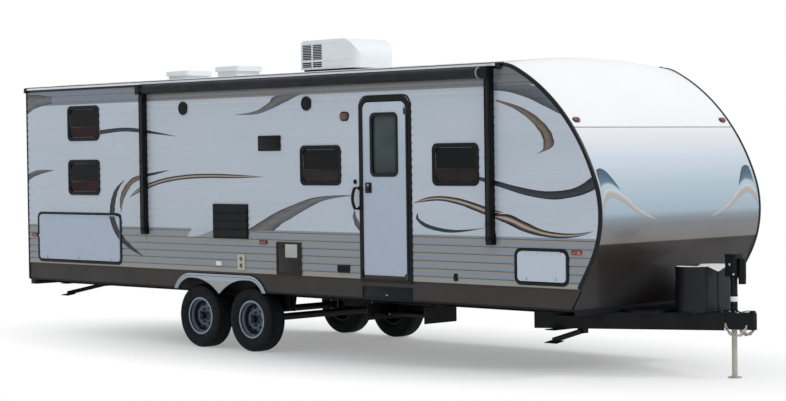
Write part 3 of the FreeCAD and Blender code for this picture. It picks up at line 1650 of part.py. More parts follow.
def wall_plate(name, proud):
    """A plate on the right wall, by the name that its sizes share."""
    at = f"(rear + {name}_at)"
    return box(
        name + "_plate",
        (f"{at} - {name}_long / 2", f"{at} + {name}_long / 2"),
        sided(True, f"side + {proud}", "side"),
        (f"{name}_low", f"{name}_low + {name}_tall"),
    )


LOUVRES = 8
louvre_cuts = []
for k in range(LOUVRES):
    louvre_low = f"(fridge_vent_low + louvre_edge + {k} * louvre_pitch)"
    louvre_cuts.append(
        box(
            f"louvre_{k}",
            (
                "rear + fridge_vent_at - fridge_vent_long / 2 + louvre_edge",
                "rear + fridge_vent_at + fridge_vent_long / 2 - louvre_edge",
            ),
            sided(True, "side + fitting_proud", "side + fitting_proud - louvre_deep"),
            (louvre_low, f"{louvre_low} + louvre_tall"),
        )
    )
heater_panel = box(
    "heater_panel",
    (
        "rear + heater_at - heater_long / 2 + heater_rim",
        "rear + heater_at + heater_long / 2 - heater_rim",
    ),
    sided(True, "side + fitting_proud", "side + fitting_proud - heater_deep"),
    ("heater_low + heater_rim", "heater_low + heater_tall - heater_rim"),
)
furnace_holes = []
for name, sign in (("low", "-"), ("high", "+")):
    furnace_holes.append(
        rod(
            f"furnace_{name}_hole",
            "Y",
            "rear + furnace_at",
            "0 - side - fitting_proud",
            f"furnace_low + furnace_tall / 2 {sign} furnace_hole_step",
            "furnace_hole_deep",
            "furnace_hole_radius",
        )
    )
fittings = [wall_plate(name, "fitting_proud") for name in ("hood_vent", "small_vent", "inlet")]
fittings.append(cut("fridge_vent", wall_plate("fridge_vent", "fitting_proud"), *louvre_cuts))
fittings.append(cut("heater", wall_plate("heater", "fitting_proud"), heater_panel))
fittings.append(cut("furnace", wall_plate("furnace", "fitting_proud"), *furnace_holes))
for name in ("speaker_back", "speaker_front"):
    speaker_at = (f"rear + {name}_at", "0 - side - fitting_proud", "speaker_mid")
    fittings.append(rod(name, "Y", *speaker_at, "fitting_proud", "speaker_radius"))


def bow_spot(radius, sign):
    """An end of the grab handle's bow at a radius from its centre."""
    x = f"rear + handle_at + handle_bow_radius - ({radius}) * cos(handle_bow_angle)"
    return x, f"handle_low + handle_tall / 2 {sign} ({radius}) * sin(handle_bow_angle)"


bow_centre = ("rear + handle_at + handle_bow_radius", "handle_low + handle_tall / 2")
bow_out, bow_in = "handle_bow_radius + handle_radius", "handle_bow_radius - handle_radius"
bow_loop = [
    bow_spot(bow_out, "+"),
    (*bow_spot(bow_out, "-"), *bow_centre, 1),
    bow_spot(bow_in, "-"),
    (*bow_spot(bow_in, "+"), *bow_centre, -1),
]
grip_out = "0 - side - handle_reach"
grip = prism("handle_grip", "XZ", [bow_loop], grip_out, f"{grip_out} + 2 * handle_radius")
feet = []
for name, sign in (("handle_foot_low", "-"), ("handle_foot_top", "+")):
    foot_x, foot_z = bow_spot("handle_bow_radius", sign)
    foot_y = f"{grip_out} + handle_radius"
    feet.append(rod(name, "Y", foot_x, foot_y, foot_z, "handle_reach - handle_radius", "handle_foot_radius"))
fittings.append(fuse("grab_handle", grip, *feet))
node("wall_fittings", gather("all_fittings", *fittings))

lamps = []
for name in ("rear_lamp", "mid_lamp", "front_lamp"):
    at = f"(rear + {name}_at)"
    for right in (True, False):
        lamps.append(
            box(
                f"{name}_{'right' if right else 'left'}",
                (f"{at} - lamp_long / 2", f"{at} + lamp_long / 2"),
                sided(right, "side + lamp_proud", "side"),
                ("lamp_low", "lamp_low + lamp_tall"),
            )
        )
porch_loop = rounded(
    "rear + porch_lamp_at - porch_lamp_long / 2",
    "rear + porch_lamp_at + porch_lamp_long / 2",
    "porch_lamp_low",
    "porch_lamp_low + porch_lamp_tall",
    "porch_lamp_round",
)
lamps.append(prism("porch_lamp", "XZ", [porch_loop], *sided(True, "side + lamp_proud", "side")))
for name, across in (("right", "0 - tail_lamp_spread / 2"), ("left", "tail_lamp_spread / 2")):
    lamps.append(
        box(
            "tail_lamp_" + name,
            ("rear - lamp_proud", "rear"),
            (f"{across} - tail_lamp_wide / 2", f"{across} + tail_lamp_wide / 2"),
            ("tail_lamp_low", "tail_lamp_low + tail_lamp_tall"),
        )
    )
CLEARANCE_LAMPS = {
    "out_right": "0 - clearance_lamp_spread / 2",
    "mid_right": "0 - clearance_lamp_pitch",
    "mid": "0",
    "mid_left": "clearance_lamp_pitch",
    "out_left": "clearance_lamp_spread / 2",
}
for name, across in CLEARANCE_LAMPS.items():
    lamps.append(
        box(
            "clearance_" + name,
            ("rear - lamp_proud", "rear"),
            (f"{across} - lamp_tall", f"{across} + lamp_tall"),
            ("clearance_lamp_low", "clearance_lamp_low + lamp_tall"),
        )
    )
node("marker_lamps", gather("all_lamps", *lamps))

# Entry step, folded under the body
brackets = []
for name, sign in (("back", "-"), ("front", "+")):
    edge = f"step_x {sign} step_half"
    xs = (edge, f"{edge} + step_side") if sign == "-" else (f"{edge} - step_side", edge)
    brackets.append(
        box(f"step_{name}_plate", xs, ("0 - step_out", "0 - step_in"), ("step_low", "rail_low"))
    )
step_tie = box(
    "step_tie",
    ("step_x - step_half", "step_x + step_half"),
    ("0 - rail_mid - rail_wide / 2", "0 - rail_mid + rail_wide / 2"),
    ("rail_low - step_side", "rail_low"),
)
pivot_pins = rod(
    "step_pins",
    "X",
    "step_x - step_half",
    "0 - step_pivot_out",
    "step_pivot_high",
    "step_side + step_arm_gap + step_arm_thick",
    "pin_radius",
)
pivot_pins_front = rod(
    "step_pins_front",
    "X",
    "step_x + step_half - step_side - step_arm_gap - step_arm_thick",
    "0 - step_pivot_out",
    "step_pivot_high",
    "step_side + step_arm_gap + step_arm_thick",
    "pin_radius",
)
node("step_frame", fuse("step_bracket", *brackets, step_tie, pivot_pins, pivot_pins_front))

tread_y = "(0 - step_pivot_out + step_arm)"
arm_out = "(step_half - step_side - step_arm_gap)"
arm_in = f"({arm_out} - step_arm_thick)"
arm_bars = []
for name, sign in (("back", "-"), ("front", "+")):
    reaches = (arm_out, arm_in) if sign == "-" else (arm_in, arm_out)
    low, high = (f"step_x {sign} {reach}" for reach in reaches)
    bar = [
        ("0 - step_pivot_out", "step_pivot_high - step_arm_wide / 2"),
        (tread_y, "step_pivot_high - step_arm_wide / 2"),
        (tread_y, "step_pivot_high + step_arm_wide / 2", tread_y, "step_pivot_high", 1),
        ("0 - step_pivot_out", "step_pivot_high + step_arm_wide / 2"),
    ]
    bar[0] = (*bar[0], "0 - step_pivot_out", "step_pivot_high", 1)
    bars = prism(f"step_arm_{name}", "YZ", [bar], low, high)
    pin_from = f"{low} + step_arm_thick" if sign == "-" else f"{low} - tread_gap - tread_skin"
    pin_at = (pin_from, tread_y, "step_pivot_high")
    pin = rod(f"tread_pin_{name}", "X", *pin_at, "tread_gap + tread_skin", "pin_radius")
    hole_at = (low, "0 - step_pivot_out", "step_pivot_high")
    hole = rod(f"step_arm_hole_{name}", "X", *hole_at, "step_arm_thick", "pin_radius + pin_play")
    arm_bars.append(cut(f"step_arm_{name}_cut", fuse(f"step_arm_{name}_solid", bars, pin), hole))
node("step_arms", gather("both_step_arms", *arm_bars))

tread_half = f"({arm_in} - tread_gap)"
tread_low, tread_high = "step_pivot_high - tread_thick / 2", "step_pivot_high + tread_thick / 2"
tread_outer = box(
    "tread_outer",
    (f"step_x - {tread_half}", f"step_x + {tread_half}"),
    (f"{tread_y} - tread_deep / 2", f"{tread_y} + tread_deep / 2"),
    (tread_low, tread_high),
)
tread_inner = box(
    "tread_inner",
    (f"step_x - {tread_half} + tread_skin", f"step_x + {tread_half} - tread_skin"),
    (f"{tread_y} - tread_deep / 2 + tread_skin", f"{tread_y} + tread_deep / 2 - tread_skin"),
    (tread_low, f"{tread_high} - tread_skin"),
)
tread_hole = rod(
    "tread_hole",
    "X",
    f"step_x - {tread_half}",
    tread_y,
    "step_pivot_high",
    f"2 * {tread_half}",
    "pin_radius + pin_play",
)
node("step_tread", cut("tread_pan", tread_outer, tread_inner, tread_hole))

# Stabilisers: a base plate with cheeks under the chassis and a leg that swings down on a pin
STABILISERS = {
    "front": ("rear + stab_front_at", "tongue_low", "stab_front_arm"),
    "rear": ("rear + stab_rear_at", "rail_low", "stab_rear_arm"),
}
bases, legs = [], []
for name, (at, high, long) in STABILISERS.items():
    pivot_y = f"(0 - stab_foot_half + {long})"
    pivot_z = f"({high} - stab_base_thick - stab_pivot_drop)"
    plate = box(
        f"stab_{name}_plate",
        (f"{at} - stab_base_wide / 2", f"{at} + stab_base_wide / 2"),
        ("0 - stab_foot_half", f"{pivot_y} + stab_cheek_half"),
        (f"{high} - stab_base_thick", high),
    )
    half = "(stab_arm_wide / 2 + stab_cheek_gap)"
    cheeks = []
    for end, low_x in (("back", f"{at} - {half} - step_side"), ("front", f"{at} + {half}")):
        cheeks.append(
            box(
                f"stab_{name}_{end}",
                (low_x, f"{low_x} + step_side"),
                (f"{pivot_y} - stab_cheek_half", f"{pivot_y} + stab_cheek_half"),
                (f"{high} - stab_base_thick - stab_cheek_tall", f"{high} - stab_base_thick"),
            )
        )
    pin = rod(f"stab_{name}_pin", "X", f"{at} - {half}", pivot_y, pivot_z, f"2 * {half}", "pin_radius")
    base = fuse(f"stab_{name}_base", plate, *cheeks, pin)
    bases += [base, mirror(f"stab_{name}_base_left", base)]

    slope = "stab_slope_angle"
    reach = f"({long} - stab_foot_long / 2)"
    tip_y, tip_z = f"({pivot_y} - {reach} * cos({slope}))", f"({pivot_z} - {reach} * sin({slope}))"
    half_tall = "(stab_arm_tall / 2)"
    bar = [
        (f"{pivot_y} - {half_tall} * sin({slope})", f"{pivot_z} + {half_tall} * cos({slope})"),
        (f"{tip_y} - {half_tall} * sin({slope})", f"{tip_z} + {half_tall} * cos({slope})"),
        (f"{tip_y} + {half_tall} * sin({slope})", f"{tip_z} - {half_tall} * cos({slope})"),
        (f"{pivot_y} + {half_tall} * sin({slope})", f"{pivot_z} - {half_tall} * cos({slope})"),
    ]
    bar[0] = (*bar[0], pivot_y, pivot_z, 1)
    beam = prism(f"stab_{name}_beam", "YZ", [bar], f"{at} - stab_arm_wide / 2", f"{at} + stab_arm_wide / 2")
    foot = doc.addObject("Part::Box", f"stab_{name}_foot")
    foot.setExpression("Length", spelled("stab_foot_wide"))
    foot.setExpression("Width", spelled("stab_foot_long"))
    foot.setExpression("Height", spelled("stab_foot_thick"))
    foot.Placement = FreeCAD.Placement(FreeCAD.Vector(), FreeCAD.Rotation(FreeCAD.Vector(1, 0, 0), 1))
    foot.setExpression("Placement.Rotation.Angle", spelled(slope))
    place(
        foot,
        f"{at} - stab_foot_wide / 2",
        f"{pivot_y} - {long} * cos({slope}) + ({half_tall}) * sin({slope})",
        f"{pivot_z} - {long} * sin({slope}) - ({half_tall}) * cos({slope})",
    )
    hole_at = (f"{at} - stab_arm_wide / 2", pivot_y, pivot_z)
    hole = rod(f"stab_{name}_hole", "X", *hole_at, "stab_arm_wide", "pin_radius + pin_play")
    leg_right = cut(f"stab_{name}_leg", fuse(f"stab_{name}_leg_solid", beam, foot), hole)
    legs.append((f"stabiliser_{name}_right", leg_right))
    legs.append((f"stabiliser_{name}_left", mirror(f"stab_{name}_leg_left", leg_right)))
node("stabiliser_bases", gather("all_stabiliser_bases", *bases))
for label, leg_piece in legs:
    node(label, leg_piece)

# Every object is checked before anything is written.
doc.recompute()
for thing in doc.Objects:
    if "Invalid" in thing.State or "Error" in thing.State:
        raise RuntimeError(f"{thing.Label} failed: {thing.State}")
for thing in NODES:
    if thing.Shape.isNull() or not thing.Shape.isValid():
        raise RuntimeError(f"{thing.Label} has no valid shape")

os.makedirs("parts", exist_ok=True)
for thing in NODES:
    thing.Shape.exportStep(f"parts/{thing.Label}.step")
print(f"{len(NODES)} sub-parts written")
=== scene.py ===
import math

import bmesh
import bpy
from mathutils import Matrix, Vector
from mathutils.bvhtree import BVHTree


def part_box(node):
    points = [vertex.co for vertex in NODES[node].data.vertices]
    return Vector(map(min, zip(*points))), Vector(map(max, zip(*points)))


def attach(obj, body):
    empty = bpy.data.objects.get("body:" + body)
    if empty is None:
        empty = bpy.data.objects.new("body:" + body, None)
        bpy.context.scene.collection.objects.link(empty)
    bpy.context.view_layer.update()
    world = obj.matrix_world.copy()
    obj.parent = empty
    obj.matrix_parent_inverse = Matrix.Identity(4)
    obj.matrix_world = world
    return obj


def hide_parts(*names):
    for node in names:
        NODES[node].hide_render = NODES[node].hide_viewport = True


# Travel caravan with a tandem axle: the finish of every surface, and the small pieces on it.
# Metres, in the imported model's frame: +X is the way it travels, +Y its left side, +Z up.

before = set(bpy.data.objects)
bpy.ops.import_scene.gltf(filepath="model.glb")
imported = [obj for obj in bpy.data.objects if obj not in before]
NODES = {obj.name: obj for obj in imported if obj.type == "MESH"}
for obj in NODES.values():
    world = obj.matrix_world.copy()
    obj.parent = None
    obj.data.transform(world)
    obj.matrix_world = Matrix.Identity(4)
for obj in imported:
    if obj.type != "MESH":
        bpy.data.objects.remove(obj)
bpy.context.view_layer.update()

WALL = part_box("side_wall_right")
REAR, SIDE, SIDING_LOW, WALL_TOP = WALL[0].x, -WALL[0].y, WALL[0].z, WALL[1].z
SKIRT_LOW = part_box("skirts")[0].z
NOSE_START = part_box("roof")[1].x
SIDES = {"right": -1, "left": 1}


# Camera

IMAGE_WIDE, IMAGE_HIGH = 786, 401
FOCAL_PIXELS = 2023.43
SENSOR_MM = 36.0
CAMERA_AT = Vector((15.5517, -15.2066, 2.1051))
CAMERA_YAW, CAMERA_PITCH, CAMERA_ROLL = (math.radians(a) for a in (45.2146, -1.3701, -0.7621))


def camera_axes():
    """The camera's right, up and forward directions."""
    forward = Vector((
        -math.sin(CAMERA_YAW) * math.cos(CAMERA_PITCH),
        math.cos(CAMERA_YAW) * math.cos(CAMERA_PITCH),
        math.sin(CAMERA_PITCH),
    ))
    level = Vector((math.cos(CAMERA_YAW), math.sin(CAMERA_YAW), 0))
    upward = level.cross(forward)
    roll = Matrix.Rotation(-CAMERA_ROLL, 3, forward)
    return roll @ level, roll @ upward, forward


def sight(u, v):
    """The direction in which the camera sees a pixel of the photograph."""
    right, up, forward = camera_axes()
    aside, below = u - IMAGE_WIDE / 2, v - IMAGE_HIGH / 2
    return forward + right * aside / FOCAL_PIXELS - up * below / FOCAL_PIXELS


def on_side(u, v):
    """Where a pixel falls on the right wall: (x, z)."""
    ray = sight(u, v)
    found = CAMERA_AT + ray * ((-SIDE - CAMERA_AT.y) / ray.y)
    return found.x, found.z


def make_camera():
    """The camera that took the photograph."""
    data = bpy.data.cameras.new("camera")
    data.sensor_width = SENSOR_MM
    data.lens = FOCAL_PIXELS / IMAGE_WIDE * SENSOR_MM
    data.clip_end = 200.0
    camera = bpy.data.objects.new("camera", data)
    right, up, forward = camera_axes()
    turn = Matrix((right, up, -forward)).transposed()
    camera.matrix_world = Matrix.Translation(CAMERA_AT) @ turn.to_4x4()
    bpy.context.collection.objects.link(camera)
    bpy.context.scene.camera = camera


make_camera()


# Finishes


def rgb(text):
    """A linear colour from the way it looks, such as c8ccd0."""
    parts = [int(text[k : k + 2], 16) / 255 for k in (0, 2, 4)]
    return (*((c / 12.92 if c <= 0.04045 else ((c + 0.055) / 1.055) ** 2.4) for c in parts), 1.0)


def toned(colour, share):
    """A colour made darker or lighter by a share."""
    return (*(min(1.0, c * share) for c in colour[:3]), 1.0)


NOISE_SPAN = (0.3, 0.7)


class Finish:
    """A material whose colour, gloss and relief come from its own nodes."""

    def __init__(self, name, metal=0.0, coat=0.0, shine=0.5):
        self.material = bpy.data.materials.new(name)
        self.material.use_nodes = True
        self.tree = self.material.node_tree
        self.shader = self.tree.nodes["Principled BSDF"]
        self.shader.inputs["Metallic"].default_value = metal
        self.shader.inputs["Coat Weight"].default_value = coat
        self.shader.inputs["Specular IOR Level"].default_value = shine
        self.place = self.node("ShaderNodeTexCoord").outputs["Object"]
        self.relief = None

    def node(self, kind, settings=None, **inputs):
        """A node with its settings and inputs: an input named _0 is the first, and so on."""
        made = self.tree.nodes.new(kind)
        for key, value in (settings or {}).items():
            setattr(made, key, value)
        for key, value in inputs.items():
            socket = made.inputs[int(key[1:])] if key.startswith("_") else made.inputs[key]
            if isinstance(value, bpy.types.NodeSocket):
                self.tree.links.new(value, socket)
            else:
                socket.default_value = value
        return made

    def stretched(self, x=1.0, y=1.0, z=1.0):
        """The object's place, scaled along each axis, so that noise runs out long one way."""
        return self.node("ShaderNodeMapping", Vector=self.place, Scale=(x, y, z)).outputs[0]

    def axis(self, name):
        """The object's place along one axis."""
        return self.node("ShaderNodeSeparateXYZ", Vector=self.place).outputs[name]

    def noise(self, scale, detail=3.0, where=None):
        return self.node("ShaderNodeTexNoise", Vector=where or self.place,
                         Scale=scale, Detail=detail).outputs[0]

    def math(self, operation, a, b=0.0):
        return self.node("ShaderNodeMath", {"operation": operation}, _0=a, _1=b).outputs[0]

    def between(self, value, low, high, to_low=0.0, to_high=1.0):
        return self.node(
            "ShaderNodeMapRange",
            **{"Value": value, "From Min": low, "From Max": high, "To Min": to_low, "To Max": to_high},
        ).outputs[0]

    def ramp(self, value, stops):
        """Colours along a value, each a place from 0 to 1 and the way the colour looks."""
        made = self.node("ShaderNodeValToRGB", Fac=value)
        band = made.color_ramp
        while len(band.elements) < len(stops):
            band.elements.new(0.5)
        for element, (at, look) in zip(band.elements, stops):
            element.position = at
            element.color = rgb(look)
        return made.outputs[0]

    def mix(self, share, one, two):
        return self.node("ShaderNodeMix", {"data_type": "RGBA"}, _0=share, _6=one, _7=two).outputs[2]

    def drift(self, scale, detail=3.0, low=0.0, high=1.0, where=None):
        """Noise stretched from the span that it mostly keeps to another one."""
        return self.between(self.noise(scale, detail, where), *NOISE_SPAN, low, high)

    def feed(self, value, name):
        """Links a value to one of the shader's inputs."""
        self.tree.links.new(value, self.shader.inputs[name])
        return self

    def colour(self, value):
        return self.feed(value, "Base Color")

    def gloss(self, low, high, scale=6.0):
        """Roughness that wanders between two values."""
        return self.feed(self.drift(scale, low=low, high=high), "Roughness")

    def bump(self, height, strength, distance):
        """Fine relief, over any that is already there."""
        made = self.node("ShaderNodeBump", Height=height, Strength=strength, Distance=distance)
        if self.relief:
            self.tree.links.new(self.relief, made.inputs["Normal"])
        self.relief = made.outputs[0]
        return self.feed(self.relief, "Normal")


def painted(name, look, rough=(0.3, 0.45), shade=0.08, scale=2.5,
            grain=0.0, metal=0.0, shine=0.5, worn=None):
    """Paint, plastic or bare metal: its colour drifts a little, and its worn places take another."""
    made = Finish(name, metal, 0.0, shine)
    base = rgb(look)
    tone = made.mix(made.drift(scale, 5.0), toned(base, 1 - shade), toned(base, 1 + shade))
    if worn:
        spots = made.between(made.noise(scale * 9, 8.0), 0.62, 0.7)
        tone = made.mix(made.math("MULTIPLY", spots, 0.5), tone, rgb(worn))
    made.colour(tone).gloss(*rough, scale=scale * 3)
    if grain:
        made.bump(made.noise(grain, 4.0), 0.25, 0.0006)
    return made.material


# Siding: ribs 76.5 mm apart, a shadowed groove under each, and bands of colour by height

RIB_PITCH = 0.0765
RIB_FIRST = 0.896
# Across one rib, from its groove up: share of the pitch and how far it stands out.
RIB_SHAPE = ((0.0, 0.0006), (0.045, 0.0008), (0.075, 0.0052),
             (0.3, 0.0062), (0.62, 0.0048), (0.93, 0.0012))
STRIPES_TOP = 1.306
BAND_LOW = 2.706
GROOVE_SHARE = 0.085
SIDING_SMOOTH = 8.0


def rib_out(z):
    """How far the siding stands out from the wall at a height."""
    share = ((z - RIB_FIRST) / RIB_PITCH) % 1.0
    points = RIB_SHAPE + ((1.0, RIB_SHAPE[0][1]),)
    for (low, out_low), (high, out_high) in zip(points, points[1:]):
        if share <= high:
            return out_low + (out_high - out_low) * (share - low) / (high - low)
    return points[-1][1]


def rib_rows(low, high):
    """The heights at which the siding bends."""
    first = math.floor((low - RIB_FIRST) / RIB_PITCH)
    last = math.ceil((high - RIB_FIRST) / RIB_PITCH)
    rows = [RIB_FIRST + (k + share) * RIB_PITCH for k in range(first, last + 1) for share, _ in RIB_SHAPE]
    return [z for z in rows if low < z < high]


def siding_finish():
    """Aluminium siding: pale between two grey bands. In the grey bands each groove has a painted shadow
    line and each rib painted light and shade; the pale siding's grooves are painted lighter, against the
    shade they get.
    """
    made = Finish("siding_paint", coat=0.15)
    z = made.axis("Z")
    above = made.math("SUBTRACT", z, RIB_FIRST - 20 * RIB_PITCH)
    share = made.math("FRACT", made.math("DIVIDE", above, RIB_PITCH))
    groove = made.math("LESS_THAN", share, GROOVE_SHARE)
    streak = made.drift(1.1, 2.0, where=made.stretched(0.5, 1.0, 3.0))
    white = made.mix(streak, rgb("b9c3ce"), rgb("c0c9d3"))
    # in each groove the pale siding is painted lighter: painted light against the groove's shade
    white = made.mix(made.math("MULTIPLY", groove, 0.7), white, rgb("d3dbe3"))
    # lower bands: warm grey near the top of each rib and blue-grey below, painted light and shade, and a
    # dark brown painted shadow line in the groove
    rib = made.ramp(share, ((0.0, "453d38"), (0.06, "4c4541"), (0.11, "7b8a98"),
                            (0.4, "8593a0"), (0.62, "8f8e8d"), (0.95, "96918b")))
    lowest = made.math("LESS_THAN", z, RIB_FIRST)
    rib = made.mix(lowest, rib, rgb("979590"))
    # upper band: a dark painted shadow line in each groove, and painted light and shade across each rib
    top = made.ramp(share, ((0.0, "555356"), (0.12, "7a8590"), (0.5, "84827e"), (0.95, "87827c")))
    x = made.axis("X")
    top = made.mix(made.between(x, 2.74, 2.9, 0.0, 0.5), top, rgb("4c535c"))
    top = made.mix(made.between(x, -2.8, -2.46, 0.55, 0.0), top, rgb("6b7a92"))
    tone = made.mix(made.math("LESS_THAN", z, STRIPES_TOP), white, rib)
    tone = made.mix(made.math("GREATER_THAN", z, BAND_LOW), tone, top)
    made.colour(tone).gloss(0.26, 0.38, 3.0)
    made.bump(made.noise(900.0, 2.0), 0.08, 0.0003)
    return made.material


NOSE_SEAM = 2.308
NOSE_DARK_TOP = 1.255
NOSE_GREY_TOP = 1.47


def nose_finish():
    """Gel coat on the nose: white above the seam, pale blue fading down to grey, dark brown below."""
    made = Finish("nose_gel_coat", coat=0.08, shine=0.35)
    z = made.axis("Z")
    foot, top = 0.6, 3.0
    height = made.between(z, foot, top)

    def at(level):
        return (level - foot) / (top - foot)

    stops = (
        (0.0, "221d1c"), (at(0.95), "2a2422"), (at(NOSE_DARK_TOP - 0.001), "332a27"),
        (at(NOSE_DARK_TOP), "76716c"),
        (at(NOSE_GREY_TOP - 0.06), "74767a"), (at(NOSE_GREY_TOP), "7f8b95"),
        (at(NOSE_GREY_TOP + 0.06), "9fb0bc"), (at(1.78), "adbdc8"), (at(2.02), "c5ced8"),
        (at(2.16), "d6d9df"), (at(NOSE_SEAM - 0.02), "e0e2e5"),
        (at(NOSE_SEAM), "ececee"), (1.0, "f5f5f5"),
    )
    tone = made.ramp(height, stops)
    tint = made.drift(1.1, 2.0, 0.0, 0.05, made.stretched(0.5, 1.0, 2.0))
    made.colour(made.mix(tint, tone, rgb("b8c4d2")))
    edge = (NOSE_DARK_TOP - 0.01, NOSE_DARK_TOP + 0.01)
    made.feed(made.between(z, *edge, 0.32, 0.2), "Roughness")
    made.feed(made.between(z, *edge, 0.1, 0.35), "Specular IOR Level")
    made.bump(made.noise(5.0, 2.0), 0.1, 0.002)
    return made.material


def stripe_finish(name, stops, streaks):
    """A vinyl stripe whose colour changes across its width, with fine printed streaks along it."""
    made = Finish(name, shine=0.25)
    across = made.node("ShaderNodeAttribute", {"attribute_name": "across"}).outputs["Fac"]
    along = made.node("ShaderNodeAttribute", {"attribute_name": "along"}).outputs["Fac"]
    spot = made.node("ShaderNodeCombineXYZ", X=made.math("MULTIPLY", along, 2.0),
                     Y=made.math("MULTIPLY", across, 9.0))
    wander = made.drift(2.0, 3.0, -streaks, streaks, spot.outputs[0])
    made.colour(made.ramp(made.math("ADD", across, wander), stops)).gloss(0.24, 0.36)
    return made.material


def glass_finish(name, low, high):
    """Tinted glass with the dim inside showing through it as a drift of colour."""
    made = Finish(name, shine=0.1)
    dim = made.drift(2.2, 3.0, where=made.stretched(1.0, 1.0, 1.6))
    made.colour(made.mix(dim, rgb(low), rgb(high))).gloss(0.04, 0.09, 1.5)
    return made.material


def lens_finish(name, deep, bright):
    """A lamp's lens: clear colour with fine ribs moulded in, brighter in patches as a painted highlight
    of its reflector.
    """
    made = Finish(name, coat=0.5)
    ribs = made.node("ShaderNodeTexWave", {"wave_type": "BANDS", "bands_direction": "X"},
                     Vector=made.place, Scale=90.0)
    # bright patches: painted highlight of the reflector behind the lens
    reflector_highlight = made.between(made.noise(26.0, 2.0), 0.42, 0.62)
    made.colour(made.mix(reflector_highlight, rgb(deep), rgb(bright))).gloss(0.1, 0.18)
    made.bump(ribs.outputs["Fac"], 0.3, 0.001)
    return made.material


def tyre_finish():
    """Matt black rubber with a little dust."""
    made = Finish("tyre_rubber", shine=0.2)
    dust = made.between(made.noise(7.0, 8.0), 0.5, 0.75)
    made.colour(made.mix(dust, rgb("0e1013"), rgb("191a1c"))).gloss(0.6, 0.78, 20.0)
    made.bump(made.noise(260.0, 3.0), 0.2, 0.0008)
    return made.material


def steel_finish(name, look, rough):
    """Silver wheel paint or bright metal with faint brushing."""
    made = Finish(name, metal=0.85)
    brush = made.noise(14.0, 2.0, made.stretched(0.4, 1.0, 3.0))
    base = rgb(look)
    made.colour(made.mix(made.between(brush, *NOISE_SPAN), toned(base, 0.94), base))
    made.gloss(*rough, scale=14.0)
    return made.material


def fabric_finish():
    """Rolled awning fabric: dark vinyl with a fine weave."""
    made = Finish("awning_vinyl", shine=0.25)
    weave = made.node("ShaderNodeTexWave", {"bands_direction": "X"},
                      Vector=made.place, Scale=420.0, Distortion=0.4)
    tone = made.mix(made.drift(3.0, 4.0), rgb("12151b"), rgb("1b2029"))
    made.colour(tone).gloss(0.45, 0.6, 8.0)
    made.bump(weave.outputs["Fac"], 0.12, 0.0006)
    return made.material


def panel_finish(name, low, high):
    """A flat white door skin: faintly orange-peeled, its colour cooler and darker towards the bottom and
    lighter towards the front, as painted light and shade.
    """
    made = Finish(name, coat=0.2)
    # lighter near the top and towards the front: painted light and shade
    tone = made.ramp(made.between(made.axis("Z"), 0.8, 2.7), ((0.0, low), (0.7, low), (1.0, high)))
    tone = made.mix(made.between(made.axis("X"), 2.2, 3.0), tone, rgb(high))
    made.colour(made.mix(made.drift(0.7, 1.0, 0.0, 0.25), tone, rgb("a8adc4"))).gloss(0.24, 0.34)
    made.bump(made.noise(300.0, 2.0), 0.012, 0.0002)
    return made.material


WHITE = siding_finish()
NOSE = nose_finish()
GLASS = glass_finish("tinted_glass", "121418", "1c1918")
DOOR_GLASS = glass_finish("door_glass", "38434a", "4a5455")
LOW_GLASS = glass_finish("sliding_glass", "241f1d", "332c28")
BUNK_GLASS = glass_finish("bunk_glass", "1c1214", "38171a")
RUBBER = tyre_finish()
FABRIC = fabric_finish()
DOOR_WHITE = panel_finish("door_white", "adbbcb", "c3cfda")
BLACK = painted("satin_black", "0c0e12", (0.4, 0.5), 0.2, 4.0, shine=0.2)
GLOSS_BLACK = painted("gloss_black", "0a0c0f", (0.3, 0.4), 0.2, 3.0, shine=0.25)
CHASSIS = painted("chassis_paint", "0f1013", (0.42, 0.58), 0.3, 3.0, 300.0, shine=0.2, worn="241f1c")
SKIRT = painted("skirt_brown", "393633", (0.42, 0.54), 0.1, 1.4, 160.0, shine=0.25)
DARK_PLASTIC = painted("dark_plastic", "0d1014", (0.45, 0.58), 0.15, 6.0, 700.0, shine=0.2)
HEATER_BROWN = painted("heater_brown", "242221", (0.42, 0.52), 0.12, 5.0, 400.0, shine=0.25)
CREAM = painted("cream_plastic", "c9c3b2", (0.35, 0.45), 0.06, 8.0)
WHITE_PLASTIC = painted("white_plastic", "e9edf0", (0.32, 0.44), 0.04, 3.0, 500.0, shine=0.4)
ROOF_WHITE = painted("roof_membrane", "dcdedd", (0.5, 0.65), 0.06, 1.5, 90.0, shine=0.3, worn="bdbdb8")
UNDER = painted("underbelly", "151517", (0.5, 0.65), 0.2, 3.0, 120.0, shine=0.2)
FENDER_SILVER = steel_finish("fender_silver", "a9b2bc", (0.28, 0.38))
BRIGHT = steel_finish("bright_metal", "d6dade", (0.16, 0.26))
ZINC = painted("zinc_leg", "b3b1a6", (0.35, 0.5), 0.12, 12.0, 300.0, metal=0.4)
AXLE = painted("axle_black", "131315", (0.45, 0.6), 0.3, 8.0, 200.0, shine=0.25, worn="2e251f")
SEALANT = painted("sealant", "c9cac6", (0.5, 0.6), 0.06, 9.0)
SEAM_GREY = painted("seam_grey", "6f7073", (0.4, 0.5), 0.08, 9.0, shine=0.3)
RED = lens_finish("red_lens", "4a0d0c", "b8321e")
AMBER = lens_finish("amber_lens", "6e1c08", "dd5a1e")
DEEP_RED = lens_finish("deep_red_lens", "3f0d0d", "7a201b")
# Dark sheets at the floors of slots and outlets and behind grilles: painted shade for the dark inside of
# openings.
OPENING_SHADE = painted("painted_opening_shade", "08090a", (0.7, 0.8), 0.2, 5.0, shine=0.1)
FENDER_GREY = painted("fender_grey", "a3a4a6", (0.32, 0.44), 0.05, 4.0, metal=0.1)
# A blue-grey line on the fender's band: painted reflection.
FENDER_REFLECTION = painted("fender_line", "535f76", (0.3, 0.4), 0.08, 6.0)
LIGHT_PLATE = painted("light_plate", "b3b4ae", (0.35, 0.45), 0.05, 9.0)


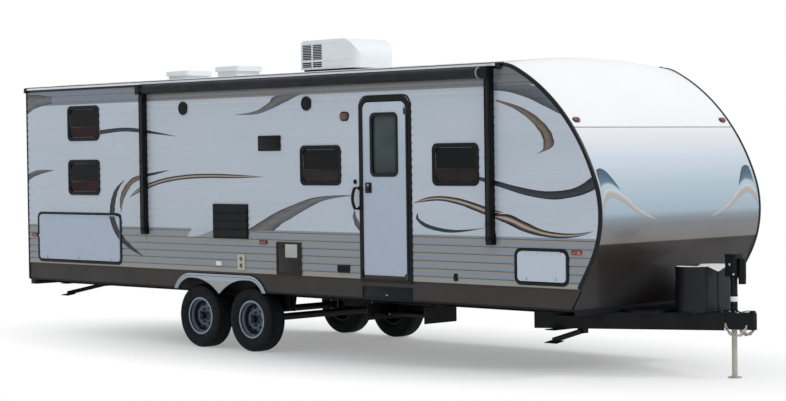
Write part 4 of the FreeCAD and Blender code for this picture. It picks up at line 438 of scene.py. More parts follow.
def bottle_cover_finish():
    """Moulded black cover whose upward faces are painted near-white: a painted reflection of sun and sky.
    """
    made = Finish("bottle_cover", shine=0.25)
    upward = made.node("ShaderNodeSeparateXYZ",
                       Vector=made.node("ShaderNodeNewGeometry").outputs["True Normal"]).outputs["Z"]
    black = made.mix(made.drift(3.0, 4.0), rgb("101216"), rgb("15171b"))
    # upward faces painted near-white: painted reflection of sun and sky
    made.colour(made.mix(made.between(upward, 0.6, 0.8), black, rgb("f0f1f2"))).gloss(0.34, 0.46)
    made.bump(made.noise(420.0, 3.0), 0.15, 0.0005)
    return made.material


BOTTLE_COVER = bottle_cover_finish()


def middle_of(name):
    """The middle of a node's box."""
    low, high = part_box(name)
    return (low + high) / 2


AXLE_PITCH = middle_of("tyre_front_right").x - middle_of("tyre_rear_right").x
WHEELS_MID = middle_of("fenders").x
DISC_AT = middle_of("tyre_front_left").y
AXLE_HIGH = middle_of("tyre_front_right").z


def wheel_finish():
    """Silver wheel paint by distance from the wheel's middle: a dark hub, painted shade in a ring at the
    well, a painted highlight on the brighter outer lip, and painted shade on the rim's inner side.
    """
    made = Finish("wheel_silver", metal=0.7)
    x, z = made.axis("X"), made.axis("Z")
    aside = made.math("ABSOLUTE", made.math("SUBTRACT", x, WHEELS_MID))
    aside = made.math("SUBTRACT", aside, AXLE_PITCH / 2)
    up = made.math("SUBTRACT", z, AXLE_HIGH)
    squares = [made.math("MULTIPLY", part, part) for part in (aside, up)]
    reach = made.math("SQRT", made.math("ADD", *squares))
    # by distance: a dark hub, painted shade in a ring at the well and a painted highlight on the outer
    # lip
    tone = made.ramp(made.math("DIVIDE", reach, 0.21), (
        (0.0, "121518"), (0.22, "171b1f"), (0.25, "3a444f"),
        (0.45, "4f5c6a"), (0.62, "5a6775"), (0.7, "323b45"),
        (0.84, "4c5864"), (0.92, "8f9dac"), (1.0, "7b8896"),
    ))
    brush = made.noise(60.0, 3.0, made.stretched(1.0, 1.0, 8.0))
    tone = made.mix(made.between(brush, *NOISE_SPAN, 0.0, 0.2), tone, rgb("3c4651"))
    # the rim's inner side painted near-black: painted shade
    inner = made.math("LESS_THAN", made.math("ABSOLUTE", made.axis("Y")), DISC_AT - 0.03)
    made.colour(made.mix(inner, tone, rgb("0e1012"))).gloss(0.32, 0.42, 14.0)
    return made.material


WHEEL_SILVER = wheel_finish()

STRIPE_PAINTS = {
    "slate": stripe_finish("slate_vinyl",
                           ((0.0, "191c23"), (0.3, "2a2f39"), (0.65, "353c48"), (1.0, "1c2027")), 0.12),
    "stone": stripe_finish(
        "stone_vinyl",
        ((0.0, "41454b"), (0.12, "5e6269"), (0.5, "777573"), (0.88, "5f636a"), (1.0, "43474d")), 0.16
    ),
    "pewter": stripe_finish("pewter_vinyl", ((0.0, "666a71"), (0.5, "5c6068"), (1.0, "474b54")), 0.1),
    "bronze": stripe_finish(
        "bronze_vinyl",
        ((0.0, "131211"), (0.2, "1e1b19"), (0.3, "6f6156"), (0.5, "bdb5a9"),
         (0.66, "80675a"), (0.8, "28221f"), (1.0, "121110")),
        0.05,
    ),
    "umber": stripe_finish(
        "umber_vinyl",
        ((0.0, "3c3a39"), (0.2, "585049"), (0.45, "756a60"),
         (0.7, "7e6e60"), (0.88, "524a43"), (1.0, "383432")), 0.2
    ),
    "haze": stripe_finish("haze_vinyl",
                          ((0.0, "3d5263"), (0.5, "4f6779"), (0.8, "5d7486"), (1.0, "8fa5b4")), 0.06),
    "pearl": stripe_finish("pearl_vinyl",
                           ((0.0, "bcd0dc"), (0.25, "b7bcbf"), (0.5, "aea6a3"), (1.0, "a9a4a1")), 0.06),
    "wall": stripe_finish("wall_vinyl", ((0.0, "bbc5d0"), (0.85, "bbc5d0"), (1.0, "b0b9c2")), 0.02),
}


# Making pieces


def link(name, bm, paints, body, smooth=30.0):
    """A piece from a bmesh, which is freed: it rides on a body."""
    mesh = bpy.data.meshes.new(name)
    bm.to_mesh(mesh)
    bm.free()
    for paint in paints:
        mesh.materials.append(paint)
    for face in mesh.polygons:
        face.use_smooth = True
    mesh.set_sharp_from_angle(angle=math.radians(smooth))
    piece = bpy.data.objects.new(name, mesh)
    bpy.context.collection.objects.link(piece)
    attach(piece, body)
    return piece


AXES = {"X": Vector((1, 0, 0)), "Y": Vector((0, 1, 0)), "Z": Vector((0, 0, 1))}
# Edges that turn by more than this many radians are rounded.
SHARP = 0.6


def placed(axis, level, a, b):
    """A point at a level of one axis, with its places on the other two."""
    return {"X": (level, a, b), "Y": (a, level, b), "Z": (a, b, level)}[axis]


class Build:
    """Collects shapes in one mesh; each shape names its paint, or else takes the first one."""

    def __init__(self, name, *paints):
        self.name, self.paints, self.bm = name, paints, bmesh.new()

    def take(self, faces, paint=None, edge=0.0, steps=2):
        """Paints new faces and rounds their sharp edges."""
        number = self.paints.index(paint) if paint else 0
        for face in faces:
            face.material_index = number
        if edge:
            sharp = {e for f in faces for e in f.edges
                     if len(e.link_faces) == 2 and e.calc_face_angle() > SHARP}
            made = bmesh.ops.bevel(
                self.bm, geom=list(sharp), offset=edge, segments=steps,
                profile=0.5, affect="EDGES", clamp_overlap=True
            )
            for face in made["faces"]:
                face.material_index = number
        return self

    def ring(self, spots):
        """New points, in order."""
        return [self.bm.verts.new(spot) for spot in spots]

    def circle(self, centre, one, two, radius, sides):
        """A ring of points about a centre, in the plane of two directions."""
        angles = [2 * math.pi * k / sides for k in range(sides)]
        return self.ring(centre + (one * math.cos(a) + two * math.sin(a)) * radius for a in angles)

    def strip(self, rings, closed=False):
        """Faces between rings of as many points each, with the two ends closed or joined."""
        faces = []
        for low, high in zip(rings, rings[1:] + rings[:1] if closed else rings[1:]):
            for k in range(len(low)):
                j = (k + 1) % len(low)
                faces.append(self.bm.faces.new((low[k], low[j], high[j], high[k])))
        if not closed:
            faces.append(self.bm.faces.new(rings[0][::-1]))
            faces.append(self.bm.faces.new(rings[-1]))
        bmesh.ops.recalc_face_normals(self.bm, faces=faces)
        return faces

    def box(self, low, high, paint=None, edge=0.002, steps=2):
        """A block between two corners, given in any order."""
        low, high = (Vector(map(pick, low, high)) for pick in (min, max))
        made = bmesh.ops.create_cube(self.bm, size=1.0)["verts"]
        for vert in made:
            vert.co = Vector(((a + b) / 2 + c * (b - a) for a, b, c in zip(low, high, vert.co)))
        return self.take(list({f for v in made for f in v.link_faces}), paint, edge, steps)

    def slab(self, loop, low, high, axis="Y", paint=None, edge=0.0, steps=2):
        """An outline pushed along an axis; its points are in the other two axes, in order."""
        rings = [self.ring(placed(axis, level, a, b) for a, b in loop) for level in (low, high)]
        faces = [self.bm.faces.new(rings[0]), self.bm.faces.new(rings[1][::-1])]
        for k in range(len(loop)):
            j = (k + 1) % len(loop)
            faces.append(self.bm.faces.new((rings[0][k], rings[1][k], rings[1][j], rings[0][j])))
        bmesh.ops.recalc_face_normals(self.bm, faces=faces)
        return self.take(faces, paint, edge, steps)

    def frame(self, outer, inner, low, high, paint=None, edge=0.0):
        """The ring between two upright outlines with as many points each, from one Y to another."""
        outer_low, outer_high, inner_low, inner_high = (
            self.ring(placed("Y", level, a, b) for a, b in loop)
            for loop in (outer, inner) for level in (low, high)
        )
        round_trip = (outer_low, outer_high, inner_high, inner_low, outer_low)
        faces = []
        for k in range(len(outer)):
            j = (k + 1) % len(outer)
            for one, two in zip(round_trip, round_trip[1:]):
                faces.append(self.bm.faces.new((one[k], two[k], two[j], one[j])))
        bmesh.ops.recalc_face_normals(self.bm, faces=faces)
        return self.take(faces, paint, edge)

    def lathe(self, centre, axis, profile, paint=None, sides=32, edge=0.0):
        """A profile of (along, radius) turned about an axis; a radius of nothing closes to a point."""
        along = AXES[axis]
        one = AXES["Z"] if axis != "Z" else AXES["X"]
        two = along.cross(one)
        rings = []
        for level, radius in profile:
            spot = Vector(centre) + along * level
            if radius < 1e-6:
                rings.append([self.bm.verts.new(spot)] * sides)
            else:
                rings.append(self.circle(spot, one, two, radius, sides))
        faces = []
        for low, high in zip(rings, rings[1:]):
            for k in range(sides):
                j = (k + 1) % sides
                corners = list(dict.fromkeys((low[k], low[j], high[j], high[k])))
                if len(corners) > 2:
                    faces.append(self.bm.faces.new(corners))
        bmesh.ops.recalc_face_normals(self.bm, faces=faces)
        return self.take(faces, paint, edge)

    def bolt(self, spot, axis, radius, tall, paint=None, sides=6):
        """A nut or bolt head with a small washer, standing out along an axis."""
        washer = math.copysign(0.0015, tall)
        self.lathe(spot, axis,
                   ((0, 0), (0, radius * 1.5), (washer, radius * 1.5), (washer, 0)), paint, 20)
        cap = ((washer, radius), (tall * 0.8, radius), (tall, radius * 0.8), (tall, 0))
        return self.lathe(spot, axis, cap, paint, sides)

    def tube(self, path, radius, paint=None, sides=12, closed=False):
        """A round bar along a path of points."""
        points = [Vector(p) for p in path]
        count = len(points)
        rings, side = [], None
        for k, point in enumerate(points):
            before = points[k - 1] if k or closed else point
            after = points[(k + 1) % count] if k < count - 1 or closed else point
            way = (after - before).normalized()
            if side is None:
                side = way.orthogonal().normalized()
            side = (side - way * side.dot(way)).normalized()
            rings.append(self.circle(point, side, way.cross(side), radius, sides))
        return self.take(self.strip(rings, closed), paint)

    def dome(self, foot, right, up, out, half, levels, paint, corner):
        """A moulding over a round-cornered rectangle: each level has its height and its inset."""
        stations = []
        for height, inset in levels:
            wide, tall = half[0] - inset, half[1] - inset
            turn = max(0.001, min(corner, wide, tall) - inset * 0.5)
            loop = round_loop((-wide, -tall), (wide, tall), turn)
            stations.append([foot + right * a + up * b + out * height for a, b in loop])
        return self.sweep(stations, paint)

    def sweep(self, stations, paint=None):
        """A bar through sections that have as many points each, in order."""
        return self.take(self.strip([self.ring(section) for section in stations]), paint)

    def done(self, body, smooth=30.0):
        """Ends the mesh and makes its piece."""
        return link(self.name, self.bm, self.paints, body, smooth)


def round_loop(low, high, radius, steps=6):
    """A rectangle with round corners as points, from (x, z) to (x, z)."""
    (x0, z0), (x1, z1) = low, high
    points = []
    for cx, cz, first in (
        (x1 - radius, z0 + radius, -90), (x1 - radius, z1 - radius, 0),
        (x0 + radius, z1 - radius, 90), (x0 + radius, z0 + radius, 180),
    ):
        for k in range(steps + 1):
            angle = math.radians(first + 90 * k / steps)
            points.append((cx + radius * math.cos(angle), cz + radius * math.sin(angle)))
    return points


def inset_loop(low, high, inset, radius):
    """A box's round-cornered outline seen from the side, drawn in by an inset."""
    return round_loop((low.x + inset, low.z + inset), (high.x - inset, high.z - inset), radius)


def oval(x, z, half_x, half_z, sides):
    """An ellipse as points."""
    angles = [2 * math.pi * k / sides for k in range(sides)]
    return [(x + half_x * math.cos(a), z + half_z * math.sin(a)) for a in angles]


def curve(points, count):
    """A smooth line through points, sampled evenly by their number."""
    out = []
    for k in range(count):
        s = k / (count - 1) * (len(points) - 1)
        i = min(int(s), len(points) - 2)
        t = s - i
        p0, p1, p2, p3 = (Vector(points[max(0, min(len(points) - 1, j))])
                          for j in (i - 1, i, i + 1, i + 2))
        square, cube = 2 * p0 - 5 * p1 + 4 * p2 - p3, 3 * p1 - p0 - 3 * p2 + p3
        out.append(0.5 * (2 * p1 + (p2 - p0) * t + square * t**2 + cube * t**3))
    return out


def node_mesh(name):
    """A node's mesh with its split corners joined, as a bmesh."""
    bm = bmesh.new()
    bm.from_mesh(NODES[name].data)
    bmesh.ops.remove_doubles(bm, verts=bm.verts, dist=1e-5)
    return bm


def pieces_of(name):
    """The low and high corners of each separate solid in a node, from the rear forward."""
    bm = node_mesh(name)
    left, found = set(bm.verts), []
    while left:
        group, edge = set(), [next(iter(left))]
        while edge:
            vert = edge.pop()
            if vert in group:
                continue
            group.add(vert)
            edge.extend(e.other_vert(vert) for e in vert.link_edges)
        left -= group
        low = Vector(min(v.co[k] for v in group) for k in range(3))
        high = Vector(max(v.co[k] for v in group) for k in range(3))
        found.append((low, high))
    bm.free()
    return sorted(found, key=lambda pair: tuple(pair[0]))


def tree_of(name):
    """A node's faces, to find where a ray meets them."""
    bm = node_mesh(name)
    made = BVHTree.FromBMesh(bm)
    bm.free()
    return made


NOSE_TREE = tree_of("front_cap")


def flat_face(name, axis, level):
    """The faces of a node that lie at one level of an axis, with their openings, as a bmesh."""
    bm = node_mesh(name)
    inner = [f for f in bm.faces if any(abs(v.co[axis] - level) > 1e-4 for v in f.verts)]
    bmesh.ops.delete(bm, geom=inner, context="FACES")
    loose = [v for v in bm.verts if not v.link_faces]
    bmesh.ops.delete(bm, geom=loose, context="VERTS")
    return bm


def nose_edge():
    """The wall's front edge from the skirt up to the roof, as (x, z)."""
    bm = flat_face("side_wall_right", 1, -SIDE)
    rim = {v for e in bm.edges if len(e.link_faces) == 1 for v in e.verts}
    hatch_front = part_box("door_frames")[1].x
    spots = {(round(v.co.x, 5), round(v.co.z, 5)) for v in rim}
    bm.free()
    middle = Vector((NOSE_START - 0.4, 1.5))
    front = [s for s in spots if s[0] > NOSE_START - 0.001 and (s[0] > hatch_front + 0.02 or s[1] > 2.25)]
    return sorted(front, key=lambda s: math.atan2(s[1] - middle.y, s[0] - middle.x))


NOSE_EDGE = nose_edge()


def cut(bm, spot, way, faces=None, drop=False):
    """Cuts faces, or all of them, along a plane, and may drop what lies beyond it."""
    if faces is None:
        geom = [*bm.verts, *bm.edges, *bm.faces]
    else:
        verts = {v for f in faces for v in f.verts}
        edges = {e for f in faces for e in f.edges}
        geom = list(verts | edges | set(faces))
    if geom:
        bmesh.ops.bisect_plane(bm, geom=geom, plane_co=spot, plane_no=way, dist=1e-6, clear_outer=drop)


def cut_rows(bm, rows):
    """Cuts a flat mesh along level lines."""
    for z in rows:
        cut(bm, (0, 0, z), (0, 0, 1))


def siding(side):
    """The ribbed skin of a side wall, with the wall's openings."""
    sign = SIDES[side]
    bm = flat_face("side_wall_" + side, 1, sign * SIDE)
    cut_rows(bm, rib_rows(SIDING_LOW, WALL_TOP))
    for vert in bm.verts:
        vert.co.y = sign * (SIDE + rib_out(vert.co.z))
    link("siding_" + side, bm, (WHITE,), "caravan", SIDING_SMOOTH)


def rear_siding():
    """The ribbed skin of the rear wall."""
    bm = flat_face("rear_wall", 0, REAR)
    cut_rows(bm, [SIDING_LOW, *rib_rows(SIDING_LOW, 3.0)])
    below = [f for f in bm.faces if f.calc_center_median().z < SIDING_LOW]
    bmesh.ops.delete(bm, geom=below, context="FACES")
    for vert in bm.verts:
        vert.co.x = REAR - rib_out(vert.co.z)
    link("siding_rear", bm, (WHITE,), "caravan", SIDING_SMOOTH)


for side in SIDES:
    siding(side)
rear_siding()


# Stripes: each is an upper and a lower line of pixels on the photograph, tip to tip

# How thick the vinyl is.
VINYL = 0.0005
STRIPES = {
    "rear_dash": ("slate", ((100, 130.2), (122.5, 127.7), (141, 129.0), (178, 136.5)),
                  ((100, 134.5), (122.5, 131.6), (141, 132.6), (178, 136.5))),
    "rear_wisp": ("pewter", ((26, 175.4), (38, 170.2), (55, 170.2)),
                  ((26, 183.5), (36, 176.0), (55, 170.2))),
    "rear_arc": ("slate",
                 ((125.5, 179), (115, 190), (110.3, 207),
                  (111.6, 222), (119, 238), (130.5, 249), (145, 257)),
                 ((125.5, 179), (118.5, 190.5), (115.2, 207),
                  (116.6, 221), (123, 235.5), (133, 246.5), (145, 257))),
    "rear_tan": ("umber", ((143, 174.2), (131.5, 178.8), (122.8, 190.0), (120.2, 202), (121.4, 213)),
                 ((143, 178.2), (133.5, 183.5), (127.2, 192.6), (123.4, 202), (121.4, 213))),
    "rear_tip": ("slate", ((146, 174.0), (158, 171.8), (170.6, 170)),
                 ((146, 176.6), (158, 174.0), (170.6, 170))),
    "long_bow": ("bronze",
                 ((129, 198), (141, 187.0), (163, 178.6),
                  (186, 174.8), (209, 173.8), (235, 174.6), (266, 177)),
                 ((129, 198), (141.5, 191.5), (163, 183.2),
                  (186, 179.2), (209, 178.0), (235, 178.2), (266, 177))),
    "top_leaf": ("stone", ((234, 114.8), (254, 111.6), (268, 103.5), (276, 96.0), (303, 93)),
                 ((234, 114.8), (256, 114.3), (272, 108.6), (288, 100.8), (303, 93))),
    "sweep": ("stone",
              ((246, 231), (262, 221.0), (278, 211.5), (301, 201.8),
               (316, 197.2), (340, 195.2), (357, 195.6)),
              ((274, 231), (282, 224.0), (292, 218), (306, 209.6),
               (322, 201.4), (340, 197.2), (357, 195.6))),
    "crescent": ("pewter", ((355, 209.4), (356.6, 216), (359.8, 222.3), (364, 227)),
                 ((355, 209.4), (353.2, 216), (355.8, 225.5), (362, 233))),
    "front_bow": ("bronze",
                  ((412.7, 203.4), (426, 197.8), (441, 196.0),
                   (459, 198.3), (476, 203.2), (488, 207.6), (504, 212.4)),
                  ((412.7, 203.4), (426, 201.6), (441, 200.8),
                   (459, 204.6), (476, 211.0), (489, 215.4), (504, 212.4))),
    "front_hook": ("slate",
                   ((417.8, 212.6), (419.8, 219.0), (428.0, 224.2),
                    (443, 228.4), (460, 230.0), (488, 227.8)),
                   ((417.8, 212.6), (416.6, 219.0), (423.6, 226.0),
                    (436, 230.6), (456, 232.6), (488, 227.8))),
    "nose_belt": ("slate",
                  ((477, 176.0), (497, 181), (516, 186),
                   (542.5, 191), (566, 190), (580, 185.5), (596, 174)),
                  ((477, 179.6), (497, 186), (525, 195), (551, 199.5),
                   (569, 198), (584, 194.5), (598, 188))),
    "low_bow": ("bronze",
                ((494, 214.6), (509, 214.4), (525, 221.6),
                 (542.5, 229.6), (560, 233), (578, 233.4), (595, 231)),
                ((494, 217.8), (509, 224.6), (525, 232), (542.5, 236.4),
                 (560, 238.2), (578, 236.8), (595, 231))),
    "moon": ("umber",
             ((496, 99.6), (514, 104.4), (530, 111.6), (540, 119),
              (549, 128.4), (553.6, 138), (552.6, 147), (536, 154.5)),
             ((496, 101), (512, 107.4), (524, 115.0), (533.4, 123.4),
              (541.4, 134.4), (543.6, 142), (543, 149.4), (536, 154.5))),
}
# The grey top band where it turns down at the nose and behind the rear window, with round ends.
BAND_NOSE = ("pewter", ((493, 85), (510, 85), (530, 85), (545, 91), (566, 117)),
             ((493, 90.4), (508, 91.8), (526, 97.2), (541, 104.2), (566, 117)))
BAND_REAR = ("stone", ((25, 95), (38, 95), (52, 97)), ((25, 118), (34, 109.4), (52, 103.4)))
LOW_REAR = ("wall", ((194, 225), (203, 225.4), (214, 226)), ((187.6, 236.6), (198, 235.9), (214, 230.0)))
NOSE_STRIPES = {
    "hook": ("haze",
             ((591, 175), (598.2, 168.6), (604.4, 170.4), (610.4, 176.4), (616, 183.6), (620.4, 190)),
             ((594, 198), (600.0, 188.4), (605.4, 184.0), (610.6, 184.0), (615.6, 186.4), (620.4, 190))),
    "arch": ("pearl",
             ((601.4, 205), (604.6, 191.6), (611.0, 188.4),
              (619.4, 191.9), (628.6, 199.4), (638, 208.2), (658, 220)),
             ((604.0, 211), (607.6, 200.6), (613.0, 197.8),
              (620.4, 200.6), (629.4, 206.8), (640, 214.2), (658, 220))),
}
SAMPLES_ALONG, SAMPLES_ACROSS = 56, 7


def stripe_grid(stripe, place):
    """A stripe's points, along and across, put on their surface by a function of the pixel."""
    _, upper, lower = stripe
    high, low = (curve(line, SAMPLES_ALONG) for line in (upper, lower))
    rows = []
    for k, (a, b) in enumerate(zip(high, low)):
        row = []
        for j in range(SAMPLES_ACROSS):
            share = j / (SAMPLES_ACROSS - 1)
            row.append((place(*a.lerp(b, share)), k / (SAMPLES_ALONG - 1), share))
        rows.append(row)
    return rows


def stripe_mesh():
    """An empty bmesh whose points keep their shares along and across a stripe."""
    bm = bmesh.new()
    for name in ("along", "across"):
        bm.verts.layers.float.new(name)
    return bm


def lay_grid(bm, rows, paint):
    """The faces of a stripe's grid, in the stripe's paint."""
    along, across = (bm.verts.layers.float[name] for name in ("along", "across"))
    number = list(STRIPE_PAINTS).index(paint)
    verts = []
    for row in rows:
        line = []
        for spot, s, t in row:
            vert = bm.verts.new(spot)
            vert[along], vert[across] = s, t
            line.append(vert)
        verts.append(line)
    for one, two in zip(verts, verts[1:]):
        for j in range(SAMPLES_ACROSS - 1):
            face = bm.faces.new((one[j], two[j], two[j + 1], one[j + 1]))
            face.material_index = number


def inside(x, z, low, high):
    """Whether a place lies within a box seen from the side."""
    return low.x < x < high.x and low.z < z < high.z


def clip(bm, low, high, keep_inside):
    """Keeps what lies inside or outside of an upright rectangle of the XZ plane."""
    for spot, way in ((low, (1, 0, 0)), (high, (1, 0, 0)), (low, (0, 0, 1)), (high, (0, 0, 1))):
        cut(bm, spot, way)

    def kept(face):
        middle = face.calc_center_median()
        return inside(middle.x, middle.z, low, high) == keep_inside

    gone = [face for face in bm.faces if not kept(face)]
    bmesh.ops.delete(bm, geom=gone, context="FACES")


def clip_to_wall(bm):
    """Drops what lies ahead of the nose's edge or behind the rear corner."""
    for (x0, z0), (x1, z1) in zip(NOSE_EDGE, NOSE_EDGE[1:]):
        out = Vector((z1 - z0, 0, x0 - x1)).normalized()
        near = [f for f in bm.faces if f.calc_center_median().x > NOSE_START - 0.1]
        cut(bm, Vector((x0, 0, z0)) - out * 0.004, out, near, True)
    cut(bm, (REAR + 0.002, 0, 0), (-1, 0, 0), drop=True)


def flat_stripes(stripes):
    """Stripes laid flat in the XZ plane, from their pixels."""
    bm = stripe_mesh()

    def flat(u, v):
        x, z = on_side(u, v)
        return Vector((x, 0, z))

    for stripe in stripes:
        lay_grid(bm, stripe_grid(stripe, flat), stripe[0])
    return bm


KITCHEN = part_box("kitchen_door")
HINGE_STRIP, HINGE_RISE = 0.036, 0.0052
KITCHEN_OUT = 0.0125
OPENINGS = {"right": ("kitchen_door", "luggage_door_right", "entry_door"), "left": ("luggage_door_left",)}


def wall_stripes(side):
    """The stripes of a side wall, cut out at its doors and laid over the ribs."""
    sign = SIDES[side]
    bm = flat_stripes([*STRIPES.values(), BAND_NOSE, BAND_REAR, LOW_REAR])
    clip_to_wall(bm)
    for name in OPENINGS[side]:
        clip(bm, *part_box(name), False)
    cut_rows(bm, rib_rows(SIDING_LOW, WALL_TOP))
    for vert in bm.verts:
        vert.co.y = sign * (SIDE + rib_out(vert.co.z) + VINYL)
    if sign > 0:
        bmesh.ops.reverse_faces(bm, faces=bm.faces)
    link("wall_stripes_" + side, bm, STRIPE_PAINTS.values(), "caravan", SIDING_SMOOTH)


def door_stripe():
    """The dark arc goes on over the outside kitchen's door."""
    low, high = KITCHEN
    bm = flat_stripes([STRIPES["rear_arc"]])
    inset = Vector((0.001, 0, 0.003))
    clip(bm, low + inset, high - inset, True)
    cut_rows(bm, (high.z - HINGE_STRIP, high.z - HINGE_STRIP + 0.0005))
    for vert in bm.verts:
        raised = HINGE_RISE if vert.co.z > high.z - HINGE_STRIP + 0.0003 else 0.0
        vert.co.y = -SIDE - KITCHEN_OUT - VINYL * 1.6 - raised
    link("kitchen_door_stripe", bm, STRIPE_PAINTS.values(), "kitchen_door")


def nose_stripes():
    """The nose's own stripes, seen by the camera on the near side and mirrored to the far one."""
    bm = stripe_mesh()

    def on_nose(u, v):
        hit, normal, _, _ = NOSE_TREE.ray_cast(CAMERA_AT, sight(u, v).normalized())
        if hit is None:
            x, z = on_side(u, v)
            return Vector((x, -SIDE + 0.05, z))
        return hit + normal * VINYL * 2

    for stripe in NOSE_STRIPES.values():
        rows = stripe_grid(stripe, on_nose)
        lay_grid(bm, rows, stripe[0])
        mirrored = [[(Vector((p.x, -p.y, p.z)), s, t) for p, s, t in row][::-1] for row in rows]
        lay_grid(bm, mirrored, stripe[0])
    link("nose_stripes", bm, STRIPE_PAINTS.values(), "caravan")


for side in SIDES:
    wall_stripes(side)
door_stripe()
nose_stripes()


# Edges of the body: gutters, corner trims, the nose's black edging, the seam and the skirt's rail

GUTTER_LOW = 2.874
TRIM_WIDE = 0.026
TRIM_OUT = 0.008


def nose_normals():
    """Outward direction at each point of the nose's edge."""
    found = []
    for k in range(len(NOSE_EDGE)):
        (x0, z0), (x1, z1) = NOSE_EDGE[max(0, k - 1)], NOSE_EDGE[min(len(NOSE_EDGE) - 1, k + 1)]
        found.append(Vector((z1 - z0, x0 - x1)).normalized())
    return found


def nose_trim(side):
    """An edging that wraps the corner between the side and the nose."""
    sign = SIDES[side]
    build = Build("nose_trim_" + side, GLOSS_BLACK)
    stations = []
    for (x, z), out in zip(NOSE_EDGE, nose_normals()):
        spots = []
        for depth, reach in (
            (-TRIM_WIDE, 0.0005), (-TRIM_WIDE, 0.007),
            (-0.004, TRIM_OUT), (TRIM_OUT * 0.6, TRIM_OUT * 0.7),
            (TRIM_OUT, 0.0), (TRIM_OUT, -0.016),
            (TRIM_OUT * 0.3, -0.021), (-0.002, -0.021), (-0.002, 0.0005),
        ):
            spots.append(Vector((x + out.x * depth, sign * (SIDE + reach), z + out.y * depth)))
        stations.append(spots)
    build.sweep(stations)
    build.done("caravan", 40.0)


def gutter(side):
    """The roof's rail with its rain channel, a spout at each end and the awning's bright rail, a white
    strip along its lip as a painted highlight.
    """
    sign = SIDES[side]
    reach = 1.0 if side == "right" else 0.62
    build = Build("gutter_" + side, GLOSS_BLACK, WHITE_PLASTIC)
    profile = (
        (0.0, GUTTER_LOW), (0.010, GUTTER_LOW), (0.012, 2.892),
        (0.024, 2.896), (0.026, 2.916), (0.021, 2.916),
        (0.019, 2.902), (0.012, 2.904), (0.010, 2.921), (-0.03, 2.934), (-0.03, 2.925), (0.0, 2.918),
    )
    back, front = REAR - 0.004, NOSE_EDGE[-1][0] + 0.02
    build.sweep([[Vector((x, sign * (SIDE + out * reach), z)) for out, z in profile]
                 for x in (back, front)])
    # a white strip along the rail's lip: painted highlight
    highlight_strip = ((0.0255, 2.897), (0.0275, 2.898), (0.0275, 2.9165),
                 (0.0195, 2.9185), (0.0195, 2.9165), (0.0255, 2.9155))
    build.slab([(sign * (SIDE + out * reach), z) for out, z in highlight_strip],
               back + 0.03, front - 0.04, "X", WHITE_PLASTIC)
    spout = ((0.0, 0.018), (0.03, 0.016), (0.034, 0.011), (0.034, 0.0))
    for x, way in ((back + 0.02, -1.0), (front - 0.03, 1.0)):
        middle = sign * (SIDE + 0.012 * reach)
        build.box((x - 0.03, middle - 0.020 * reach, 2.868),
                  (x + 0.03, middle + 0.0165 * reach, 2.926), GLOSS_BLACK, 0.005)
        build.lathe((x, sign * (SIDE + 0.018 * reach), 2.882), "X",
                    [(a * way, r * reach) for a, r in spout], GLOSS_BLACK, 20)
    build.done("caravan", 30.0)


def corner_trims():
    """The black angles on the rear corners with their screws, and the cap strip above them."""
    build = Build("rear_corner_trims", GLOSS_BLACK)
    for sign in SIDES.values():
        loop = [(REAR - 0.006, 0.0), (REAR - 0.006, -0.02), (REAR - 0.001, -0.02), (REAR, -0.002),
                (REAR + 0.020, 0.0005), (REAR + 0.020, 0.0088), (REAR - 0.002, 0.0096)]
        spots = [(x, sign * (SIDE + y)) for x, y in loop]
        build.slab(spots, SKIRT_LOW + 0.004, 2.90, "Z", GLOSS_BLACK)
        for z in [0.95 + 0.155 * k for k in range(13)]:
            build.bolt((REAR + 0.006, sign * (SIDE + 0.008), z), "Y", 0.0035, sign * 0.003, GLOSS_BLACK)
    build.box((REAR - 0.014, -SIDE - 0.002, 2.892),
              (REAR + 0.012, SIDE + 0.002, 2.93), GLOSS_BLACK, 0.004)
    build.done("caravan")


def nose_seam():
    """The joint between the two panels of the nose."""
    build = Build("nose_seam", SEAM_GREY)
    stations = []
    for k in range(41):
        y = (k / 40 - 0.5) * 2 * (SIDE - 0.03)
        section = []
        for up, out in ((-0.0035, 0.0), (-0.0021, 0.0035), (0.0021, 0.0035), (0.0035, 0.0)):
            start = Vector((8, min(max(y, -1.17), 1.17), NOSE_SEAM + up))
            hit, normal, _, _ = NOSE_TREE.ray_cast(start, Vector((-1, 0, 0)))
            section.append(Vector((hit.x, y, hit.z)) + Vector((normal.x, 0, normal.z)) * out)
        stations.append(section)
    build.sweep(stations)
    build.done("caravan")


WHEEL_CUT = (-1.927, -0.476)


def skirt_rails():
    """A black rail along the foot of each skirt and a drip strip where the siding ends."""
    build = Build("skirt_rails", BLACK, SKIRT)
    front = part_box("skirts")[1].x
    rail = ((-0.03, -0.008), (0.003, -0.008), (0.004, -0.004),
            (0.004, 0.008), (0.001, 0.010), (-0.03, 0.0))
    strip = ((0.0, -0.006), (0.008, -0.005), (0.0086, 0.001), (0.001, 0.007))
    doorway_box = pieces_of("door_frames")
    step = [(low.x, high.x) for low, high in doorway_box if high.z - low.z > 1.5][0]
    for sign in SIDES.values():
        for x0, x1 in ((REAR, WHEEL_CUT[0] - 0.006), (WHEEL_CUT[1] + 0.006, front - 0.02)):
            build.slab([(sign * (SIDE + y), SKIRT_LOW + z) for y, z in rail], x0 + 0.002, x1, "X", BLACK)
        ends = [REAR + 0.012, *(step if sign < 0 else ()), front + 0.06]
        for x0, x1 in zip(ends[::2], ends[1::2]):
            build.slab([(sign * (SIDE + y), SIDING_LOW + z) for y, z in strip], x0, x1, "X", SKIRT)
    build.done("caravan")


for side in SIDES:
    nose_trim(side)
    gutter(side)
corner_trims()
nose_seam()
skirt_rails()

# Windows


def ring_loops(low, high, outer, inner, corner, least=0.006):
    """Two outlines with round corners, drawn in from a box's sides by an inset each."""
    return [inset_loop(low, high, inset, max(least, corner - inset)) for inset in (outer, inner)]


